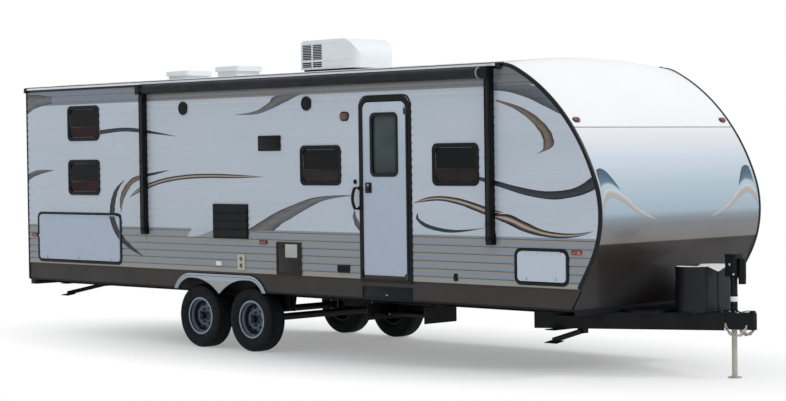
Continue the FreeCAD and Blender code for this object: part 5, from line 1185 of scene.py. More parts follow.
WINDOW_ROUND = 0.062
WINDOW_FRAME = 0.032
FRAME_OUT = 0.012
RAIL_SHARE = 0.37
BUNK_BEFORE, WIDE_WINDOW = -3.0, 1.0


def windows():
    """Each frame's raised lip and rubber bead, the rail above its sliding half, its sill and its latch.

    The rearmost window is the bunks', with darker glass, and wide windows have an upright bar.
    """
    build = Build("window_trims", BLACK, RUBBER, GLOSS_BLACK, LOW_GLASS, BUNK_GLASS)
    for low, high in pieces_of("window_frames"):
        sign = math.copysign(1.0, low.y)

        def out(reach):
            return sign * (SIDE + reach)

        loops = ring_loops(low, high, 0.0015, 0.014, WINDOW_ROUND)
        build.frame(*loops, out(FRAME_OUT - 0.001), out(FRAME_OUT + 0.0025), BLACK, 0.0008)
        loops = ring_loops(low, high, WINDOW_FRAME - 0.010, WINDOW_FRAME + 0.010, WINDOW_ROUND + 0.036)
        build.frame(*loops, out(0.0002), out(FRAME_OUT - 0.002), RUBBER)
        x0, x1 = low.x + WINDOW_FRAME, high.x - WINDOW_FRAME
        rail = low.z + (high.z - low.z) * RAIL_SHARE
        build.box((x0, out(0.0002), rail), (x1, out(0.0085), rail + 0.017), GLOSS_BLACK, 0.0015)
        glass = BUNK_GLASS if high.x < BUNK_BEFORE else LOW_GLASS
        build.box((x0, out(0.0001), low.z + WINDOW_FRAME), (x1, out(0.0012), rail + 0.002), glass, 0.0)
        middle = (x0 + x1) / 2
        build.box((middle - 0.022, out(0.008), rail - 0.006),
                  (middle + 0.022, out(0.0125), rail + 0.006), GLOSS_BLACK)
        build.box((low.x + 0.05, out(FRAME_OUT), low.z + 0.004),
                  (high.x - 0.05, out(0.0165), low.z + 0.0085), BLACK)
        for x in (low.x + 0.11, high.x - 0.11):
            build.box((x - 0.012, out(FRAME_OUT), low.z + 0.014),
                      (x + 0.012, out(0.0128), low.z + 0.018), RUBBER)
        if high.x - low.x > WIDE_WINDOW:
            build.box((middle - 0.011, out(0.0002), rail + 0.01),
                      (middle + 0.011, out(0.009), high.z - WINDOW_FRAME), GLOSS_BLACK)
    build.done("caravan")


windows()

# Entry door

DOOR_OUT = SIDE + 0.012
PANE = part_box("entry_door_pane")
LEAF_BACK, LEAF_FRONT, LEAF_LOW, LEAF_TOP = 1.056, 1.650, 0.852, 2.601
LEAF_ROUND = 0.070
LEAF_KICK = 0.888
LOCK = (1.089, 1.702)
LOCK_GRIP = ((0.012, 0.024), (0.060, 0.018), (0.072, 0.025),
             (0.072, 0.037), (0.060, 0.044), (0.012, 0.040))
KEY_BARREL = ((0, 0.0125), (-0.006, 0.0125), (-0.007, 0.009), (-0.007, 0))


def arch_loop(inset):
    """The door leaf's outline, drawn in by an inset."""
    return door_arch(LEAF_BACK + inset, LEAF_FRONT - inset,
                     LEAF_LOW + inset, LEAF_TOP - inset, LEAF_ROUND - inset)


def door_arch(x0, x1, z0, z1, r):
    """An outline with square feet and round upper corners."""
    points = [(x0, z0), (x1, z0)]
    for cx, first in ((x1 - r, 0), (x0 + r, 90)):
        for k in range(9):
            angle = math.radians(first + 90 * k / 8)
            points.append((cx + r * math.cos(angle), z1 - r + r * math.sin(angle)))
    return points


def entry_door():
    """The leaf's rim, window surround, lock, kick strip and hinge strip."""
    build = Build("entry_door_trims", DOOR_WHITE, GLOSS_BLACK, FENDER_GREY, BLACK, RUBBER, SKIRT)
    build.frame(arch_loop(0.002), arch_loop(0.013),
                -DOOR_OUT - 0.0028, -DOOR_OUT + 0.001, DOOR_WHITE, 0.0008)
    low, high = PANE
    outer, inner = inset_loop(low, high, -0.006, 0.062), inset_loop(low, high, 0.030, 0.040)
    build.frame(outer, inner, -DOOR_OUT - 0.007, -DOOR_OUT + 0.001, GLOSS_BLACK, 0.002)
    build.frame(inset_loop(low, high, 0.001, 0.058), inner, -DOOR_OUT - 0.001, -SIDE + 0.0035, RUBBER)
    # lock: a plate with a pull handle and two key cylinders
    back, foot = LOCK
    build.box((back, -DOOR_OUT - 0.010, foot), (back + 0.085, -DOOR_OUT, foot + 0.104), BLACK, 0.004, 3)
    build.box((back + 0.010, -DOOR_OUT - 0.016, foot + 0.008),
              (back + 0.074, -DOOR_OUT - 0.009, foot + 0.054), GLOSS_BLACK, 0.003)
    build.slab([(back + x, foot + z) for x, z in LOCK_GRIP],
               -DOOR_OUT - 0.028, -DOOR_OUT - 0.018, "Y", GLOSS_BLACK, 0.003)
    build.lathe((back + 0.066, -DOOR_OUT - 0.009, foot + 0.031), "Y",
                ((0, 0.008), (-0.014, 0.008), (-0.014, 0)), GLOSS_BLACK, 16)
    build.lathe((back + 0.044, -DOOR_OUT - 0.009, foot + 0.079), "Y", KEY_BARREL, FENDER_GREY, 20)
    build.box((back + 0.043, -DOOR_OUT - 0.0168, foot + 0.073),
              (back + 0.045, -DOOR_OUT - 0.0158, foot + 0.085), RUBBER, 0.0)
    build.box((LEAF_BACK + 0.002, -DOOR_OUT - 0.004, LEAF_LOW + 0.001),
              (LEAF_FRONT - 0.002, -DOOR_OUT, LEAF_KICK), SKIRT, 0.0015)
    for k in range(4):
        z = LEAF_LOW + 0.006 + 0.008 * k
        build.box((LEAF_BACK + 0.006, -DOOR_OUT - 0.0055, z),
                  (LEAF_FRONT - 0.006, -DOOR_OUT - 0.0035, z + 0.004), SKIRT, 0.001, 1)
    hinge = [(LEAF_FRONT - 0.020, LEAF_KICK), (LEAF_FRONT - 0.0005, LEAF_KICK),
             (LEAF_FRONT - 0.0005, LEAF_TOP - LEAF_ROUND),
             (LEAF_FRONT - 0.020, LEAF_TOP - LEAF_ROUND * 0.8)]
    build.slab(hinge, -DOOR_OUT - 0.0042, -DOOR_OUT + 0.0005, "Y", BLACK, 0.0006)
    build.done("entry_door")


SILL_BACK, SILL_FRONT, SILL_LOW = 1.004, 1.702, 0.8225
# The seal's outer and inner edge: its back, front, foot, top and the radius of its upper corners.
SEAL_EDGES = ((0.993, 1.729, 0.822, 2.671, 0.118), (1.000, 1.706, 0.823, 2.657, 0.098))
JAMBS = (1.006, 1.700)
JAMB_SCREWS = [0.90 + 0.205 * k for k in range(9)]


def doorway():
    """What belongs to the doorway: its ribbed sill, rubber seal, strike, holdback and screws."""
    build = Build("doorway_trims", SKIRT, BLACK, GLOSS_BLACK)
    for k in range(4):
        z = SILL_LOW + 0.0056 * k
        build.box((SILL_BACK, -DOOR_OUT - 0.0035, z),
                  (SILL_FRONT, -DOOR_OUT + 0.001, z + 0.0032), SKIRT, 0.0008, 1)
    build.box((1.030, -DOOR_OUT - 0.018, 0.8455), (1.676, -DOOR_OUT + 0.001, 0.8500), SKIRT, 0.001)
    build.frame(*(door_arch(*edges) for edges in SEAL_EDGES),
                -SIDE - 0.0105, -SIDE - 0.0005, BLACK, 0.002)
    for x in JAMBS:
        for z in JAMB_SCREWS:
            build.bolt((x, -DOOR_OUT, z), "Y", 0.003, -0.002, BLACK, 8)
    build.box((0.918, -SIDE - 0.016, 1.792), (0.950, -SIDE - 0.0005, 1.836), GLOSS_BLACK, 0.004, 3)
    build.box((0.926, -SIDE - 0.028, 1.802), (0.942, -SIDE - 0.015, 1.826), GLOSS_BLACK, 0.003)
    build.box((1.006, -DOOR_OUT - 0.012, 0.872), (1.044, -DOOR_OUT + 0.001, 0.934), BLACK, 0.003)
    build.box((1.012, -DOOR_OUT - 0.016, 0.886), (1.038, -DOOR_OUT - 0.011, 0.920), GLOSS_BLACK, 0.002)
    build.done("caravan")


entry_door()
doorway()

# Luggage and kitchen doors


def thumb_latch(build, x, z, sign):
    """A round base with a folding thumb lever."""
    base = ((0, 0), (0, 0.015), (sign * 0.003, 0.015), (sign * 0.0045, 0.012), (sign * 0.0045, 0))
    build.lathe((x, sign * DOOR_OUT, z), "Y", base, DOOR_WHITE, 24)
    near, far = sign * (DOOR_OUT + 0.004), sign * (DOOR_OUT + 0.010)
    build.box((x - 0.004, near, z - 0.014), (x + 0.004, far, z + 0.014), FENDER_GREY, 0.002)
    rivet = ((0, 0.004), (sign * 0.0008, 0.003), (sign * 0.0008, 0))
    build.lathe((x, sign * (DOOR_OUT + 0.0095), z), "Y", rivet, FENDER_GREY, 12)


HATCH_ROUND = 0.040
HINGE_END, HINGE_PITCH = 0.08, 0.075


def hatch(name, latches, catch=None):
    """The rim, latches and hinge rivets of a door that lifts, and the catch that holds it open."""
    low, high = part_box(name)
    sign = math.copysign(1.0, low.y)
    top = high.z - 0.0015
    build = Build(name + "_trims", DOOR_WHITE, FENDER_GREY, WHITE_PLASTIC)
    loops = [round_loop((low.x + i, low.z + i), (high.x - i, top - 0.003 - i), HATCH_ROUND - i)
             for i in (0.002, 0.012)]
    build.frame(*loops, sign * (DOOR_OUT + 0.0005), sign * (DOOR_OUT - 0.001), DOOR_WHITE, 0.0002)
    for share in latches:
        thumb_latch(build, low.x + (high.x - low.x) * share, low.z + 0.024, sign)
    if catch:
        x, z = catch
        build.box((x - 0.010, sign * DOOR_OUT, z - 0.014),
                  (x + 0.010, sign * (DOOR_OUT + 0.010), z + 0.014), WHITE_PLASTIC, 0.003)
    span = high.x - low.x - 2 * HINGE_END
    count = int(span / HINGE_PITCH)
    for k in range(count + 1):
        x = low.x + HINGE_END + span * k / count
        build.bolt((x, sign * (DOOR_OUT + 0.0049), high.z - 0.018),
                   "Y", 0.0032, sign * 0.002, FENDER_GREY, 8)
    build.done(name)


hatch("kitchen_door", (0.1, 0.5, 0.9), (KITCHEN[0].x + 0.016, 1.17))
hatch("luggage_door_right", (0.2, 0.8))
hatch("luggage_door_left", (0.2, 0.8))

# Fittings on the right wall


def faces_at(name, axis, level, where=None):
    """Outlines of a node's flat faces that lie at one level of an axis."""
    bm = node_mesh(name)
    bmesh.ops.dissolve_limit(bm, angle_limit=0.01, verts=bm.verts, edges=bm.edges)
    found = []
    for face in bm.faces:
        if all(abs(v.co[axis] - level) < 1e-4 for v in face.verts):
            if where is None or where(face.calc_center_median()):
                found.append([v.co.copy() for v in face.verts])
    bm.free()
    return found


# The Y of the fittings' front faces.
FACE = -(SIDE + 0.014)
FITTINGS = pieces_of("wall_fittings")
FITTING_PLACES = {
    "heater": (-0.07, 1.0), "furnace": (-0.83, 0.93), "inlet": (-1.195, 0.93), "fridge": (-1.0, 1.4),
    "hood": (-0.35, 2.2), "low_vent": (0.75, 0.93), "handle": (0.955, 1.65),
    "rear_speaker": (-1.774, 2.614), "front_speaker": (0.226, 2.614),
}


def fitting(name):
    """The box of the fitting that covers a place on the wall."""
    x, z = FITTING_PLACES[name]
    return next((low, high) for low, high in FITTINGS if inside(x, z, low, high))


def fittings_finish():
    """Black plastic, except the brown heater door, the cream furnace vent and the white inlet."""
    made = Finish("fittings", shine=0.2)
    x, z = made.axis("X"), made.axis("Z")
    tone = made.mix(made.drift(30.0, 4.0), rgb("101215"), rgb("16181c"))

    def span(value, low, high):
        above = made.math("GREATER_THAN", value, low - 0.002)
        return made.math("MULTIPLY", above, made.math("LESS_THAN", value, high + 0.002))

    for name, look in (("heater", "2b2927"), ("furnace", "c4beae"), ("inlet", "c6ccd2")):
        low, high = fitting(name)
        across, up = span(x, low.x, high.x), span(z, low.z, high.z)
        tone = made.mix(made.math("MULTIPLY", across, up), tone, rgb(look))
    made.colour(tone).gloss(0.38, 0.5, 9.0)
    made.bump(made.noise(600.0, 3.0), 0.15, 0.0004)
    return made.material


FITTING_PAINT = fittings_finish()


def lip(build, low, high, wide=0.009, proud=0.003, corner=0.008):
    """A raised rim round the front of a fitting."""
    loops = ring_loops(low, high, -0.002, wide, corner, 0.002)
    build.frame(*loops, FACE - proud, FACE + 0.001, edge=0.001)


COVER_SCREW = ((0, 0.008), (-0.003, 0.008), (-0.004, 0.006), (-0.004, 0))


def fridge_vent():
    """The slots, screws and sloped cover panels of the fridge's lower vent."""
    build = Build("fridge_vent", DARK_PLASTIC, OPENING_SHADE, BLACK)
    low, high = fitting("fridge")
    lip(build, low, high)

    def behind_cover(spot):
        return inside(spot.x, spot.z, low, high)

    for loop in faces_at("wall_fittings", 1, FACE + 0.009, behind_cover):
        x0, x1 = min(p.x for p in loop), max(p.x for p in loop)
        z0, z1 = min(p.z for p in loop), max(p.z for p in loop)
        # a dark sheet at each slot's floor: painted shade
        build.box((x0, FACE + 0.0084, z0), (x1, FACE + 0.0089, z1), OPENING_SHADE, 0.0)
        blade = [(FACE + 0.008, z1 - 0.001), (FACE - 0.005, z0 + 0.003), (FACE - 0.005, z0 - 0.001),
                 (FACE + 0.008, z1 - 0.005)]
        build.slab(blade, x0 + 0.0005, x1 - 0.0005, "X", DARK_PLASTIC, 0.0006, 1)
    for x in (low.x + 0.018, high.x - 0.018):
        for z in (low.z + 0.018, high.z - 0.018):
            build.lathe((x, FACE - 0.002, z), "Y", COVER_SCREW, BLACK, 16)
    # a cover of sloped panels with a dark sheet in the gap under each, painted shade
    panels = 4
    step = (high.z - low.z - 0.016) / panels
    for k in range(panels):
        z = low.z + 0.008 + step * k
        panel = [(FACE - 0.006, z + step), (FACE - 0.013, z + 0.012), (FACE - 0.013, z + 0.007),
                 (FACE - 0.006, z + 0.004)]
        build.slab(panel, low.x + 0.008, high.x - 0.008, "X", DARK_PLASTIC, 0.001, 1)
        build.box((low.x + 0.010, FACE - 0.0066, z), (high.x - 0.010, FACE, z + 0.0065), OPENING_SHADE, 0.0)
    build.done("caravan")


def hinge(build, back, front, y, z, paint):
    """The round knuckle of a flap's hinge."""
    wide = front - back
    build.lathe((back, y, z), "X", ((0, 0), (0, 0.004), (wide, 0.004), (wide, 0)), paint, 12)


def hood_vent():
    """The cooker hood's outlet: a hinged flap with ribs across it, in a raised lip."""
    build = Build("hood_vent", DARK_PLASTIC, BLACK)
    low, high = fitting("hood")
    lip(build, low, high, 0.012)
    build.box((low.x + 0.018, FACE - 0.005, low.z + 0.018),
              (high.x - 0.018, FACE, high.z - 0.024), BLACK, 0.003)
    hinge(build, low.x + 0.016, high.x - 0.016, FACE - 0.004, high.z - 0.020, DARK_PLASTIC)
    for k in range(5):
        z = low.z + 0.03 + 0.017 * k
        build.box((low.x + 0.03, FACE - 0.0068, z),
                  (high.x - 0.03, FACE - 0.0045, z + 0.005), DARK_PLASTIC, 0.001)
    build.done("caravan")


def heater_door():
    """The water heater's door: a pressed panel with a bright plate, a vent and a quarter-turn latch."""
    build = Build("heater_door", HEATER_BROWN, LIGHT_PLATE, BLACK)
    low, high = fitting("heater")
    lip(build, low, high, 0.008)
    face = FACE + 0.005
    build.box((low.x + 0.024, face - 0.003, low.z + 0.024),
              (high.x - 0.024, face + 0.001, high.z - 0.024), HEATER_BROWN, 0.002)
    build.box((low.x + 0.140, face - 0.009, low.z + 0.180),
              (high.x - 0.058, face - 0.002, high.z - 0.020), LIGHT_PLATE, 0.003)
    build.box((low.x + 0.154, face - 0.0105, low.z + 0.194),
              (high.x - 0.072, face - 0.0085, high.z - 0.034), LIGHT_PLATE, 0.002)
    build.box((low.x + 0.050, face - 0.006, low.z + 0.050),
              (high.x - 0.050, face - 0.002, low.z + 0.150), HEATER_BROWN, 0.003)
    build.lathe((low.x + 0.090, face - 0.003, high.z - 0.045), "Y",
                ((0, 0.012), (-0.004, 0.012), (-0.006, 0.009), (-0.006, 0)), BLACK, 24)
    build.box((low.x + 0.086, face - 0.013, high.z - 0.053),
              (low.x + 0.094, face - 0.008, high.z - 0.037), BLACK, 0.001)
    build.done("caravan")


def furnace_vent():
    """The furnace's two round outlets with their crossed wires, on a cream plate."""
    build = Build("furnace_vent", CREAM, OPENING_SHADE, BRIGHT)
    low, high = fitting("furnace")
    lip(build, low, high, 0.006, 0.002, 0.012)
    middle = ((low.x + high.x) / 2, (low.z + high.z) / 2)
    for drop in (-0.036, 0.036):
        spot = (middle[0], FACE, middle[1] + drop)
        collar = ((0.001, 0.031), (-0.006, 0.031), (-0.007, 0.029), (-0.006, 0.025), (0.001, 0.0235))
        build.lathe(spot, "Y", collar, CREAM, 32)
        # a dark disc inside each outlet: painted shade
        build.lathe((spot[0], spot[1] + 0.0085, spot[2]), "Y",
                    ((0, 0.0246), (-0.001, 0.0246), (-0.001, 0)), OPENING_SHADE, 32)
        for a in range(4):
            angle = math.pi / 4 + a * math.pi / 2
            ends = [(spot[0] + r * math.cos(angle), FACE + 0.001, spot[2] + r * math.sin(angle))
                    for r in (0.0, 0.026)]
            build.tube(ends, 0.0014, BRIGHT, 6)
    for x in (low.x + 0.009, high.x - 0.009):
        for z in (low.z + 0.009, high.z - 0.009):
            build.bolt((x, FACE - 0.002, z), "Y", 0.003, -0.0025, BRIGHT, 8)
    build.done("caravan")


HOOK_AT = 2.302
HOOK_LINE = ((0.010, 0.925), (0.030, 0.920), (0.036, 0.900), (0.030, 0.884), (0.018, 0.880))


def small_fittings():
    """The low vent's slots, the power inlet's lid, and a tie-down hook on its plate."""
    build = Build("small_fittings", DARK_PLASTIC, OPENING_SHADE, WHITE_PLASTIC, BLACK)
    low, high = fitting("low_vent")
    lip(build, low, high, 0.006)
    for k in range(5):
        z = low.z + 0.013 + 0.0105 * k
        # a dark sheet in each of the low vent's slots: painted shade
        build.box((low.x + 0.014, FACE - 0.0006, z), (high.x - 0.014, FACE + 0.001, z + 0.005), OPENING_SHADE, 0.0)
        blade = [(FACE, z + 0.0075), (FACE - 0.004, z + 0.003), (FACE - 0.004, z), (FACE, z + 0.005)]
        build.slab(blade, low.x + 0.014, high.x - 0.014, "X", DARK_PLASTIC)
    low, high = fitting("inlet")
    build.box((low.x + 0.006, FACE - 0.008, low.z + 0.005),
              (high.x - 0.006, FACE + 0.001, high.z - 0.003), WHITE_PLASTIC, 0.004, 3)
    hinge(build, low.x + 0.012, high.x - 0.012, FACE - 0.006, high.z - 0.004, WHITE_PLASTIC)
    build.box((2.276, -SIDE - 0.010, 0.867), (2.327, -SIDE - 0.0005, 0.940), BLACK, 0.003)
    hook = [(HOOK_AT, -SIDE - out, z) for out, z in HOOK_LINE]
    build.tube(curve(hook, 14), 0.004, BLACK, 10)
    build.done("caravan")


def speakers():
    """A round bezel with a domed grille on each loudspeaker."""
    build = Build("speakers", GLOSS_BLACK, DARK_PLASTIC)
    for name in ("rear_speaker", "front_speaker"):
        low, high = fitting(name)
        radius = (high.x - low.x) / 2
        spot = ((low.x + high.x) / 2, FACE, (low.z + high.z) / 2)
        rim, mouth = radius + 0.0015, radius - 0.012
        bezel = ((0.002, rim), (-0.003, rim), (-0.007, radius - 0.006), (-0.004, mouth), (0.0, mouth))
        build.lathe(spot, "Y", bezel, GLOSS_BLACK, 48)
        build.lathe(spot, "Y", ((-0.001, mouth), (-0.006, radius * 0.5), (-0.007, 0)), DARK_PLASTIC, 48)
        for ring in range(1, 5):
            reach, y = ring * radius * 0.18, FACE - 0.0075 + ring * 0.0012
            angles = [a * math.pi / 16 for a in range(32)]
            path = [(spot[0] + reach * math.cos(a), y, spot[2] + reach * math.sin(a)) for a in angles]
            build.tube(path, 0.0014, GLOSS_BLACK, 6, True)
    build.done("caravan")


def grab_handle():
    """Feet with screws under the ends of the bowed grab handle."""
    build = Build("grab_handle_feet", BLACK, BRIGHT)
    low, high = fitting("handle")
    x = high.x - 0.011
    for z, way in ((low.z + 0.0115, -1), (high.z - 0.0115, 1)):
        loop = oval(x - 0.002, z, 0.015, 0.022, 24)
        build.slab(loop, -SIDE - 0.007, -SIDE - 0.0015, "Y", BLACK, 0.0015)
        build.bolt((x - 0.002, -SIDE - 0.007, z + way * 0.015), "Y", 0.003, -0.002, BRIGHT, 8)
    build.done("caravan")


fridge_vent()
hood_vent()
heater_door()
furnace_vent()
small_fittings()
speakers()
grab_handle()


# Lamps

LENS_LEVELS = ((0.0, 0.0), (0.55, 0.0008), (0.82, 0.003), (0.95, 0.007), (1.0, 0.0125))
NOSE_LAMP_PIXEL, NOSE_LAMP_HALF = (576, 120), (0.044, 0.028)


def lens(build, low, high, out, paint, corner=0.012, border=0.004):
    """A black base and a domed lens that fill a lamp's box; out is the way it faces."""
    base = 0.3
    centre = (low + high) / 2
    size = high - low
    along = "X" if abs(out.x) > 0.5 else "Y"
    right = AXES["Y" if along == "X" else "X"]
    half = (abs(size.dot(right)) / 2, size.z / 2)
    depth = abs(size.dot(out))
    foot = centre - out * depth / 2
    stand = [(0.0, 0.0), (depth * base, 0.0), (depth * base, 0.003)]
    build.dome(foot, right, AXES["Z"], out, half, stand, BLACK, corner)
    cover = [(depth * (base + (1 - base) * up), border + inset) for up, inset in LENS_LEVELS]
    build.dome(foot, right, AXES["Z"], out, half, cover, paint, corner)


def lamps():
    """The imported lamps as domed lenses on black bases."""
    build = Build("lamps", BLACK, RED, AMBER, WHITE_PLASTIC, DEEP_RED)
    for low, high in pieces_of("marker_lamps"):
        if high.x < REAR + 0.01:
            lens(build, low, high, Vector((-1, 0, 0)), RED)
            if high.z - low.z > 0.1:
                # the tall tail lamps have a round white reversing lens at the foot
                spot = (low.x + 0.004, (low.y + high.y) / 2, low.z + 0.035)
                build.lathe(spot, "X", ((0, 0.020), (-0.0035, 0.018), (-0.0038, 0)), WHITE_PLASTIC, 24)
            continue
        out = Vector((0, math.copysign(1, low.y), 0))
        if low.z > 2:
            inset = Vector(((high.x - low.x) * 0.1, 0, 0))
            lens(build, low + inset, high - inset, out, DEEP_RED, (high.z - low.z) / 2, 0.013)
        else:
            lens(build, low, high, out, AMBER if low.x > NOSE_START else RED)
    piece = build.done("caravan", 40.0)
    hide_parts("marker_lamps")


def nose_lamps():
    """The clearance lamps on the nose, one on each side."""
    build = Build("nose_lamps", BLACK, DEEP_RED)
    hit, normal, _, _ = NOSE_TREE.ray_cast(CAMERA_AT, sight(*NOSE_LAMP_PIXEL).normalized())
    for way in (1, -1):
        spot, out = (Vector((v.x, v.y * way, v.z)) for v in (hit, normal))
        right = AXES["Z"].cross(out).normalized()
        up = out.cross(right)
        stand = [(0.0, 0.0), (0.006, 0.0), (0.007, 0.003)]
        build.dome(spot - out * 0.001, right, up, out, NOSE_LAMP_HALF, stand, BLACK, 0.027)
        cover = [(0.006 + 0.016 * level, 0.003 + inset) for level, inset in LENS_LEVELS]
        build.dome(spot, right, up, out, NOSE_LAMP_HALF, cover, DEEP_RED, 0.027)
    build.done("caravan", 40.0)


lamps()
nose_lamps()

# Awning

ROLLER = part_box("awning_roller")
ROLLER_AT = (ROLLER[0] + ROLLER[1]) / 2
ROLLER_RADIUS = (ROLLER[1].z - ROLLER[0].z) / 2
ROLL_END = 3.7
POST_FACE = -1.279
POSTS = ((-2.494, -2.420), (2.740, 2.816))
CLAMP_HEIGHTS = (1.40, 2.02, 2.70)
AWNING_RAIL = ((0.012, 2.897), (0.030, 2.897), (0.033, 2.901), (0.030, 2.905), (0.012, 2.905))


def awning_roller():
    """Vinyl rolled on its tube, with its free edge and hem rod showing, between two end caps."""
    build = Build("awning_roll", FABRIC, BLACK, FENDER_GREY, HEATER_BROWN)
    back, front = ROLLER[0].x, ROLLER[1].x
    sides, wound = 56, ROLLER_RADIUS - 0.0045
    stations = []
    for k in range(25):
        x = back + 0.045 + (front - back - 0.11) * k / 24
        section = []
        for a in range(sides):
            share = a / sides
            radius = wound + 0.0022 * share + 0.0004 * math.sin(9 * x + 12 * share)
            angle = 2 * math.pi * share + ROLL_END
            y, z = ROLLER_AT.y + radius * math.cos(angle), ROLLER_AT.z + radius * math.sin(angle)
            section.append(Vector((x, y, z)))
        stations.append(section)
    build.sweep(stations, FABRIC)
    hem = wound + 0.0025
    at = (ROLLER_AT.y + hem * math.cos(ROLL_END), ROLLER_AT.z + hem * math.sin(ROLL_END))
    build.tube([(back + 0.06, *at), (front - 0.08, *at)], 0.0022, HEATER_BROWN, 8)
    for x, way in ((back, 1), (front, -1)):
        cap = ((0, 0.020), (0.004, ROLLER_RADIUS - 0.006), (0.010, ROLLER_RADIUS - 0.001),
               (0.042, ROLLER_RADIUS - 0.001), (0.046, ROLLER_RADIUS - 0.004), (0.046, wound - 0.004))
        cap = [(level * way, radius) for level, radius in cap]
        build.lathe((x, ROLLER_AT.y, ROLLER_AT.z), "X", cap, BLACK, 48)
        build.lathe((x, ROLLER_AT.y, ROLLER_AT.z), "X", ((0, 0), (0, 0.021)), BLACK, 32)
    # a band near the roll's front end, painted pale grey as a highlight
    inner = ROLLER_RADIUS - 0.006
    ring = ((0, inner), (0, ROLLER_RADIUS), (0.012, ROLLER_RADIUS), (0.012, inner))
    build.lathe((front - 0.062, ROLLER_AT.y, ROLLER_AT.z), "X", ring, FENDER_GREY, 48)
    piece = build.done("caravan", 40.0)
    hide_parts("awning_roller")


def awning_fixings():
    """The rail over the roller, painted white as a highlight, and each arm's inner channel, pins,
    brackets and lock.
    """
    build = Build("awning_fixings", BLACK, GLOSS_BLACK, WHITE_PLASTIC)
    # the rail painted white: painted highlight
    build.slab([(-SIDE - out, z) for out, z in AWNING_RAIL],
               ROLLER[0].x - 0.04, ROLLER[1].x + 0.04, "X", WHITE_PLASTIC)
    for x0, x1 in POSTS:
        middle = (x0 + x1) / 2
        for x in (x0 + 0.003, x1 - 0.011):
            build.box((x, POST_FACE - 0.006, 1.262), (x + 0.008, POST_FACE, 2.770), BLACK, 0.0015)
        build.box((middle - 0.020, POST_FACE - 0.004, 1.300),
                  (middle + 0.020, POST_FACE, 2.755), GLOSS_BLACK, 0.002)
        for z in CLAMP_HEIGHTS:
            build.box((x0 + 0.002, POST_FACE - 0.009, z),
                      (x1 - 0.002, POST_FACE, z + 0.034), BLACK, 0.003)
            build.bolt((middle, POST_FACE - 0.009, z + 0.017), "Y", 0.006, -0.005, GLOSS_BLACK)
        build.box((x0 - 0.010, -SIDE - 0.034, 1.226), (x1 + 0.010, -SIDE - 0.001, 1.246), BLACK, 0.003)
        for x in (x0 - 0.003, x1 + 0.003):
            build.box((x - 0.006, -SIDE - 0.012, 1.246), (x + 0.006, -SIDE - 0.001, 1.330), BLACK, 0.002)
            build.bolt((x, -SIDE - 0.012, 1.300), "Y", 0.005, -0.004, GLOSS_BLACK)
        build.lathe((middle, POST_FACE, 1.285), "Y",
                    ((0, 0.015), (-0.010, 0.015), (-0.013, 0.011), (-0.013, 0)), GLOSS_BLACK, 20)
        lever = [(middle + x, z) for x, z in ((0.022, 2.06), (0.030, 2.06), (0.030, 2.20), (0.022, 2.20))]
        build.slab(lever, POST_FACE - 0.012, POST_FACE, "Y", GLOSS_BLACK, 0.002)
    build.done("caravan")


awning_roller()
awning_fixings()

# Roof: cooling unit, vent lids and the membrane's seams

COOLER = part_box("air_conditioner")
COOLER_SLOT = 0.014
COOLER_RAILS = (3.108, 3.290)
# The side grilles behind the slots: foot, top and the number of gaps between blades.
COOLER_GRILLES = ((3.034, 3.094, 3), (3.116, 3.278, 9))
GRILLE_BLADE = ((-0.0002, 0.0034), (0.0040, 0.0006), (0.0046, -0.0026), (-0.0002, -0.0018))
RAIL_SECTION = ((-0.0005, 0.006), (0.004, 0.006), (0.006, 0.003),
                (0.006, -0.003), (0.004, -0.006), (-0.0005, -0.006))
ROOF_TREE = tree_of("roof")


def on_roof(x, y):
    """The roof's height at a place."""
    hit, _, _, _ = ROOF_TREE.ray_cast(Vector((x, y, 5)), Vector((0, 0, -1)))
    return hit.z


def cooler():
    """Dark sheets in the cooling unit's slots and behind its grilles, painted shade, and its gasket,
    screws and the ribs on its shroud.
    """
    low, high = COOLER
    build = Build("cooler_trims", OPENING_SHADE, RUBBER, WHITE_PLASTIC, BRIGHT)
    # a dark sheet on each slot's floor: painted shade
    for axis, level in ((1, low.y + COOLER_SLOT), (1, high.y - COOLER_SLOT), (0, low.x + COOLER_SLOT)):
        for loop in faces_at("air_conditioner", axis, level):
            corners = [[pick(p[k] for p in loop) for k in range(3)] for pick in (min, max)]
            way = math.copysign(0.0006, level) if axis else -0.0006
            corners[0][axis], corners[1][axis] = level + way * 0.2, level + way
            build.box(*corners, OPENING_SHADE, 0.0)
    build.box((low.x + 0.030, low.y + 0.020, 2.990),
              (high.x - 0.060, high.y - 0.020, 3.0115), RUBBER, 0.002)
    for sign in (-1, 1):
        for k in range(6):
            x = low.x + 0.06 + (high.x - low.x - 0.30) * k / 5
            build.bolt((x, sign * high.y, 3.026), "Y", 0.004, sign * 0.003, BRIGHT, 8)
        spans = ((low.x + 0.365, high.x - 0.060), (low.x + 0.028, high.x - 0.250))
        for z, reach in zip(COOLER_RAILS, spans):
            build.slab([(sign * (high.y + out), z + up) for out, up in RAIL_SECTION],
                       *reach, "X", WHITE_PLASTIC)
        for x in (low.x + 0.030, low.x + 0.195):
            for foot, top, rows in COOLER_GRILLES:
                pitch = (top - foot) / rows
                # a dark sheet behind the grille's blades: painted shade
                build.box((x, sign * (high.y - 0.002), foot),
                          (x + 0.140, sign * (high.y + 0.0008), top), OPENING_SHADE, 0.0)
                for k in range(rows + 1):
                    spots = [(sign * (high.y + out), foot + pitch * k + up) for out, up in GRILLE_BLADE]
                    build.slab(spots, x - 0.003, x + 0.143, "X", WHITE_PLASTIC)
    build.done("caravan")


